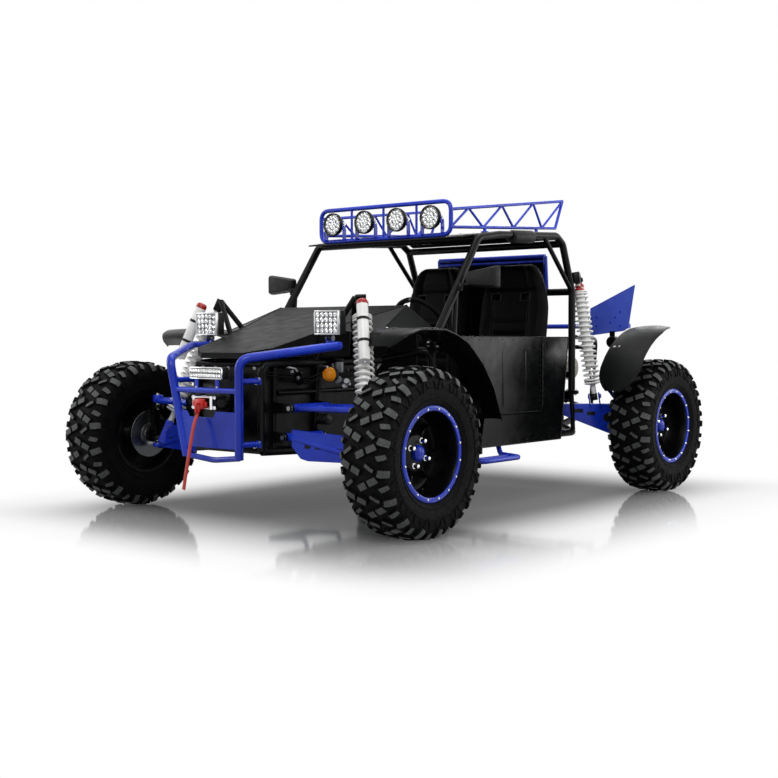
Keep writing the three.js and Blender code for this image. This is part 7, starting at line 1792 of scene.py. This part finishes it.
def helmGroups():
    column = Vector((0, -0.8725, -0.4886)).normalized()
    back = -column
    down = back.cross(Vector((1, 0, 0)))
    place = Matrix((Vector((1, 0, 0)), down, back)).transposed().to_4x4()
    place.translation = at(270, -235, 867)
    ring = bmesh.new()
    steps, sides = 144, 20
    loops = []
    for i in range(steps):
        angle = math.tau * i / steps
        swell = 0.93 + 0.07 * (math.exp(-((math.degrees(angle) % 180 - 90) / 26) ** 2))
        loop = []
        for j in range(sides):
            turn = math.tau * j / sides
            r = helm["ring"] + helm["grip"] * swell * math.cos(turn) * (1 - 0.06 * (math.cos(turn) < -0.6)
                                                                        * (1 + math.sin(24 * angle)))
            loop.append(ring.verts.new((r * math.sin(angle), r * math.cos(angle),
                                        helm["grip"] * swell * math.sin(turn))))
        loops.append([ring.edges.new((loop[j], loop[(j + 1) % sides])) for j in range(sides)])
    for lower, upper in zip(loops, loops[1:] + loops[:1]):
        bmesh.ops.bridge_loops(ring, edges=lower + upper)
    bmesh.ops.recalc_face_normals(ring, faces=ring.faces)
    stitches = []
    for i in range(120):  # laced seam round the inside of the grip
        angle = math.tau * i / 120
        inner = Vector((math.sin(angle), math.cos(angle), 0)) * (helm["ring"] - helm["grip"] * 0.98)
        stitches.append(rod(inner + at(0, 0, -2.2), inner + at(0, 0, 2.2), 0.6, sides=5))
    for angle in (58, -58, 180):
        band = lathe([(13.6, -6), (14.2, -5), (14.2, 5), (13.6, 6)], 20,
                     (math.cos(math.radians(angle)), -math.sin(math.radians(angle)), 0),
                     Vector((math.sin(math.radians(angle)), math.cos(math.radians(angle)), 0)) * helm["ring"])
        stitches.append(band)
    alloy, steel, black = [], [], []
    for angle in (0, 90, 270):
        turn = Matrix.Rotation(-math.radians(angle), 4, "Z")
        outline = [(-0.019, 0.028, 0), (0.019, 0.028, 0), (0.014, 0.084, 0.001), (0.017, 0.138, 0.003),
                   (-0.017, 0.138, 0.003), (-0.014, 0.084, 0.001)]
        spoke = sheetPart([Vector(c) - at(0, 0, 2) for c in outline], 4, 1.2)
        alloy.append(moved(spoke, turn))
        for out, radius in ((62, 7.5), (88, 6), (110, 5)):
            hole = lathe(ringLine(radius * 0.62, radius, -2.4, 3), 20, (0, 0, 1), at(0, out, 0.8))
            black.append(moved(hole, turn))
    black.append(lathe([(0, 20), (20, 19.5), (27, 17), (30, 12), (30, 4), (0, 4)], 40))
    alloy.append(lathe([(12, -22), (30, -22), (34, -18), (34, 4), (31, 5.5), (12, 5.5)], 48))
    for k in range(6):
        angle = math.tau * k / 6 + 0.3
        steel.append(rod((0.0318 * math.sin(angle) * 0.98, 0.0318 * math.cos(angle) * 0.98, 0.0045),
                         (0.0318 * math.sin(angle) * 0.98, 0.0318 * math.cos(angle) * 0.98, 0.0075), 2.6, sides=6))
    steel.append(lathe([(0, -330), (10.5, -330), (12, -328.5), (12, -60), (18, -58), (24, -52), (24, -34), (20, -22),
                        (0, -22)], 28))
    steel.append(lathe([(12.2, -245), (18.5, -245), (19, -244), (19, -240), (18.5, -239), (12.2, -239)], 28))
    groups = [(seatVinylPaintedShade, [ring]), (greyThread, stitches), (darkAlloy, alloy), (softBlack, black), (zincSteel, steel)]
    return placed(groups, place)


makePiece("wrappedSteeringWheel", "steering_wheel", helmGroups(), "steering_wheel", 40)


# Pedals hang from the dashboard; their pads are ribbed
def pedalGroups(x, width):
    top, low = at(x, -435, 640), at(x, -385, 440)
    steel, black = [], []
    steel.append(lathe(ringLine(5.3, 12, -10, 10, 11.5, 0.5), 28, (1, 0, 0), top))
    steel.append(tubes([([top.lerp(low, 0.055), low], 0.006, 0)], 4))
    steel.append(slab(low + at(0, -3, 0), (width, 6, 76), 2.2))
    black.append(slab(low + at(0, 1.5, 0), (width - 4, 4, 72), 1.4))
    for k in range(6):
        black.append(slab(low + at(0, 4.4, -29 + k * 11.6), (width - 10, 3, 5.2), 1))
    spring = [top + Vector(((k / 60 - 0.5) * 0.016, 0.0128 * math.sin(k * 0.63), 0.0128 * math.cos(k * 0.63)))
              for k in range(61)]
    steel.append(tubes([(spring, 0.0008, 0)], 2))
    return [(zincSteel, steel), (softBlack, black)]


makePiece("brakePedal", "brake_pedal", pedalGroups(290, 70), "brake_pedal")
makePiece("throttlePedal", "throttle_pedal", pedalGroups(170, 49), "throttle_pedal")


def shifterGroups():
    pivot, top = at(0, 150, 385), at(0, 150, 635)
    hub = lathe(ringLine(5.3, 15, -8, 8, 14.5, 0.5), 28, (1, 0, 0), pivot)
    lever = rod(pivot + at(0, 0, 12), top, 7, 5.5, 20)
    knob = lathe([(0, -24), (10.5, -23.5), (16.5, -17), (21.5, -8), (23.8, 0), (22.5, 9), (17.5, 17.5), (9, 22.8),
                  (0, 24)], 32, (0, 0, 1), top)
    collar = lathe([(6.2, 0), (10, 0), (11.5, 4), (11.5, 10), (9, 14), (6, 14)], 24, (0, 0, 1), top - at(0, 0, 36))
    rings = [lathe([(22.5, -1), (24.3, 0), (22.5, 1)], 32, (0, 0, 1), top + Vector((0, 0, z)))
             for z in (-0.004, 0.003)]
    return [(zincSteel, [hub, lever, collar]), (softBlack, [knob, rings])]


makePiece("shiftLever", "shift_lever", shifterGroups(), "shift_lever")
print("controls ready")

# Engine: finned cylinder on a ribbed crankcase, belt cover, muffler on its stays
motor = {"y": 1010, "muffY": 1285, "muffZ": 640}


def engineGroups():
    cast, black, steel, pipe = [], [], [], []
    y = motor["y"]
    cast.append(slab(at(0, y, 541), (400, 314, 224), 18))
    cast.append(slab(at(0, y, 428), (420, 330, 12), 4))
    cast.append(slab(at(0, y, 655), (300, 330, 10), 4))
    for k in range(11):  # strengthening ribs round the case
        x = -175 + k * 35
        cast.append(slab(at(x, y - 159, 541), (6, 10, 190), 2))
        cast.append(slab(at(x, y + 159, 541), (6, 10, 190), 2))
    for z in (470, 541, 612):
        cast.append(slab(at(-203, y, z), (10, 270, 8), 2))
    start, end = at(-80, y, 656), at(-80, y - 40, 851)
    way = (end - start).normalized()
    cast.append(rod(start, end, 58, sides=40))
    for k in range(12):  # cooling fins
        spot = start + way * (0.030 + k * 0.0118)
        cast.append(lathe([(50, -1.2), (79.5, -1.2), (80, 0), (79.5, 1.2), (50, 1.2)], 44, tuple(way), spot))
    cast.append(lathe([(0, 199), (50, 199), (62, 194), (66, 184), (66, 168), (0, 168)], 40, tuple(way), start))
    for k in range(4):
        angle = math.tau * (k + 0.5) / 4
        side = way.cross(Vector((1, 0, 0))).normalized()
        spot = start + way * 0.1935 + (Vector((1, 0, 0)) * math.cos(angle) + side * math.sin(angle)) * 0.048
        steel += bolt(spot, tuple(way), 6, 5.5)
    cover = lathe([(0, 51), (60, 51), (66, 48), (92, 46), (104, 42), (113, 34), (118, 20), (120, 0), (0, 0)], 72,
                  (1, 0, 0), at(209, y, 541))
    black.append(cover)
    for k in range(20):  # radial slots of the starter fan
        angle = math.tau * k / 20
        rib = slab(at(0, 0, 80), (4, 4, 36), 1.2)
        black.append(moved(rib, Matrix.Translation(at(209 + 47, y, 541)) @ Matrix.Rotation(angle, 4, "X")))
    for k in range(8):
        angle = math.tau * (k + 0.5) / 8
        steel += bolt(at(209 + 30, y + 116.5 * math.sin(angle), 541 + 116.5 * math.cos(angle)), (1, 0, 0), 5, 5)
    muff = at(0, motor["muffY"], motor["muffZ"])
    pipe.append(lathe([(0, -210), (50, -210), (62, -206), (68.5, -197), (70, -186), (70, 186), (68.5, 197),
                       (62, 206), (50, 210), (0, 210)], 64, (1, 0, 0), muff))
    for x in (-0.176, -0.075, 0.075, 0.176):
        steel.append(lathe([(70.2, -9), (71.6, -8), (71.6, 8), (70.2, 9)], 64, (1, 0, 0), muff + Vector((x, 0, 0))))
    pipe.append(tubes([([at(-80, y, 756), at(-80, motor["muffY"], 756), at(-80, motor["muffY"], 640)], 0.022,
                        0.044)], 7))
    steel.append(lathe([(22.2, -6), (26.2, -5), (26.2, 5), (22.2, 6)], 32, (0, 1, 0), at(-80, 1120, 756)))
    for k in (-1, 1):
        black.append(tubes([([at(k * 140, motor["muffY"], 640), at(k * 140, 1168, 639)], 0.011, 0)], 5))
        steel += bolt(at(k * 140, 1176, 650), (0, 0, 1), 6, 5)
    return [(castAlloy, cast), (blackPowder, black), (zincSteel, steel), (heatSteel, pipe)]


heatSteel = metal("heat_tinted_steel", "#5E5A55", "#8A857D", 0.3, 0.5, 30)
makePiece("engineUnit", "chassis", engineGroups(), "engine", 34)


# Tail: two blue wing plates on a cross bar, with the tail lamps
def tailGroups():
    blue, sheets, black, steel, red, chrome = [], [], [], [], [], []
    outline = [(308, 826), (527, 852), (555, 870), (594, 1109), (308, 979)]
    for side in (1, -1):
        corners = [at(side * x, 1300, z) for x, z in outline]
        plate = sheetPart(corners if side < 0 else corners[::-1], 3, 0.8)
        if min(v.co.y for v in plate.verts) < 1.2995:
            bmesh.ops.translate(plate, vec=(0, 0.003, 0), verts=plate.verts)
        sheets.append(plate)
        foldLine = [at(side * x, 1301.5, z) for x, z in ((312, 980), (591, 1107))]
        sheets.append(tubes([(foldLine, 0.0032, 0)], 3))
        for x, z in ((440, 900), (470, 930), (500, 880), (500, 960), (350, 880), (350, 930)):
            blue += bolt(at(side * x, 1300, z), (0, -1, 0), 4, 3)
            steel += bolt(at(side * x, 1303, z), (0, 1, 0), 5, 4)
        blue.append(tubes([([at(side * 290, 1314, 880), at(side * 290, 1330, 776)], 0.0112, 0)], 5))
        black.append(slab(at(side * 290, 1330, 774), (33.6, 33.6, 3), 0.8))
        lamp = at(side * 452, 1287, 790)
        black.append(lathe([(0, 0), (26, 0), (32, 3), (34, 8), (34, 46), (32.5, 49), (31, 49), (31, 40), (0, 40)],
                           44, (0, 1, 0), lamp))
        red.append(lathe([(0, 53), (12, 52.8), (22, 51.8), (30.8, 48.6), (30.8, 46), (0, 49)], 36, (0, 1, 0), lamp))
        chrome.append(lathe([(0, 40.5), (18, 41.2), (28, 44), (30.8, 45.5)], 32, (0, 1, 0), lamp))
        for ringR in (8, 15, 22):
            red.append(lathe([(ringR - 1, 46.2), (ringR, 47.8), (ringR + 1, 46.2)], 32, (0, 1, 0), lamp))
        black.append(slab(at(side * 452, 1301.5, 821), (34, 3, 62), 0.8))
    blue.append(tubes([([at(-555, 1314, 880), at(555, 1314, 880)], 0.014, 0)], 6))
    return [(bluePowder, blue), (plateBluePaintedSheen, sheets), (blackPowder, black), (zincSteel, steel), (redLens, red),
            (chromeSteel, chrome)]


makePiece("tailPlates", "chassis", tailGroups(), "rear_plates")
print("engine and tail ready")
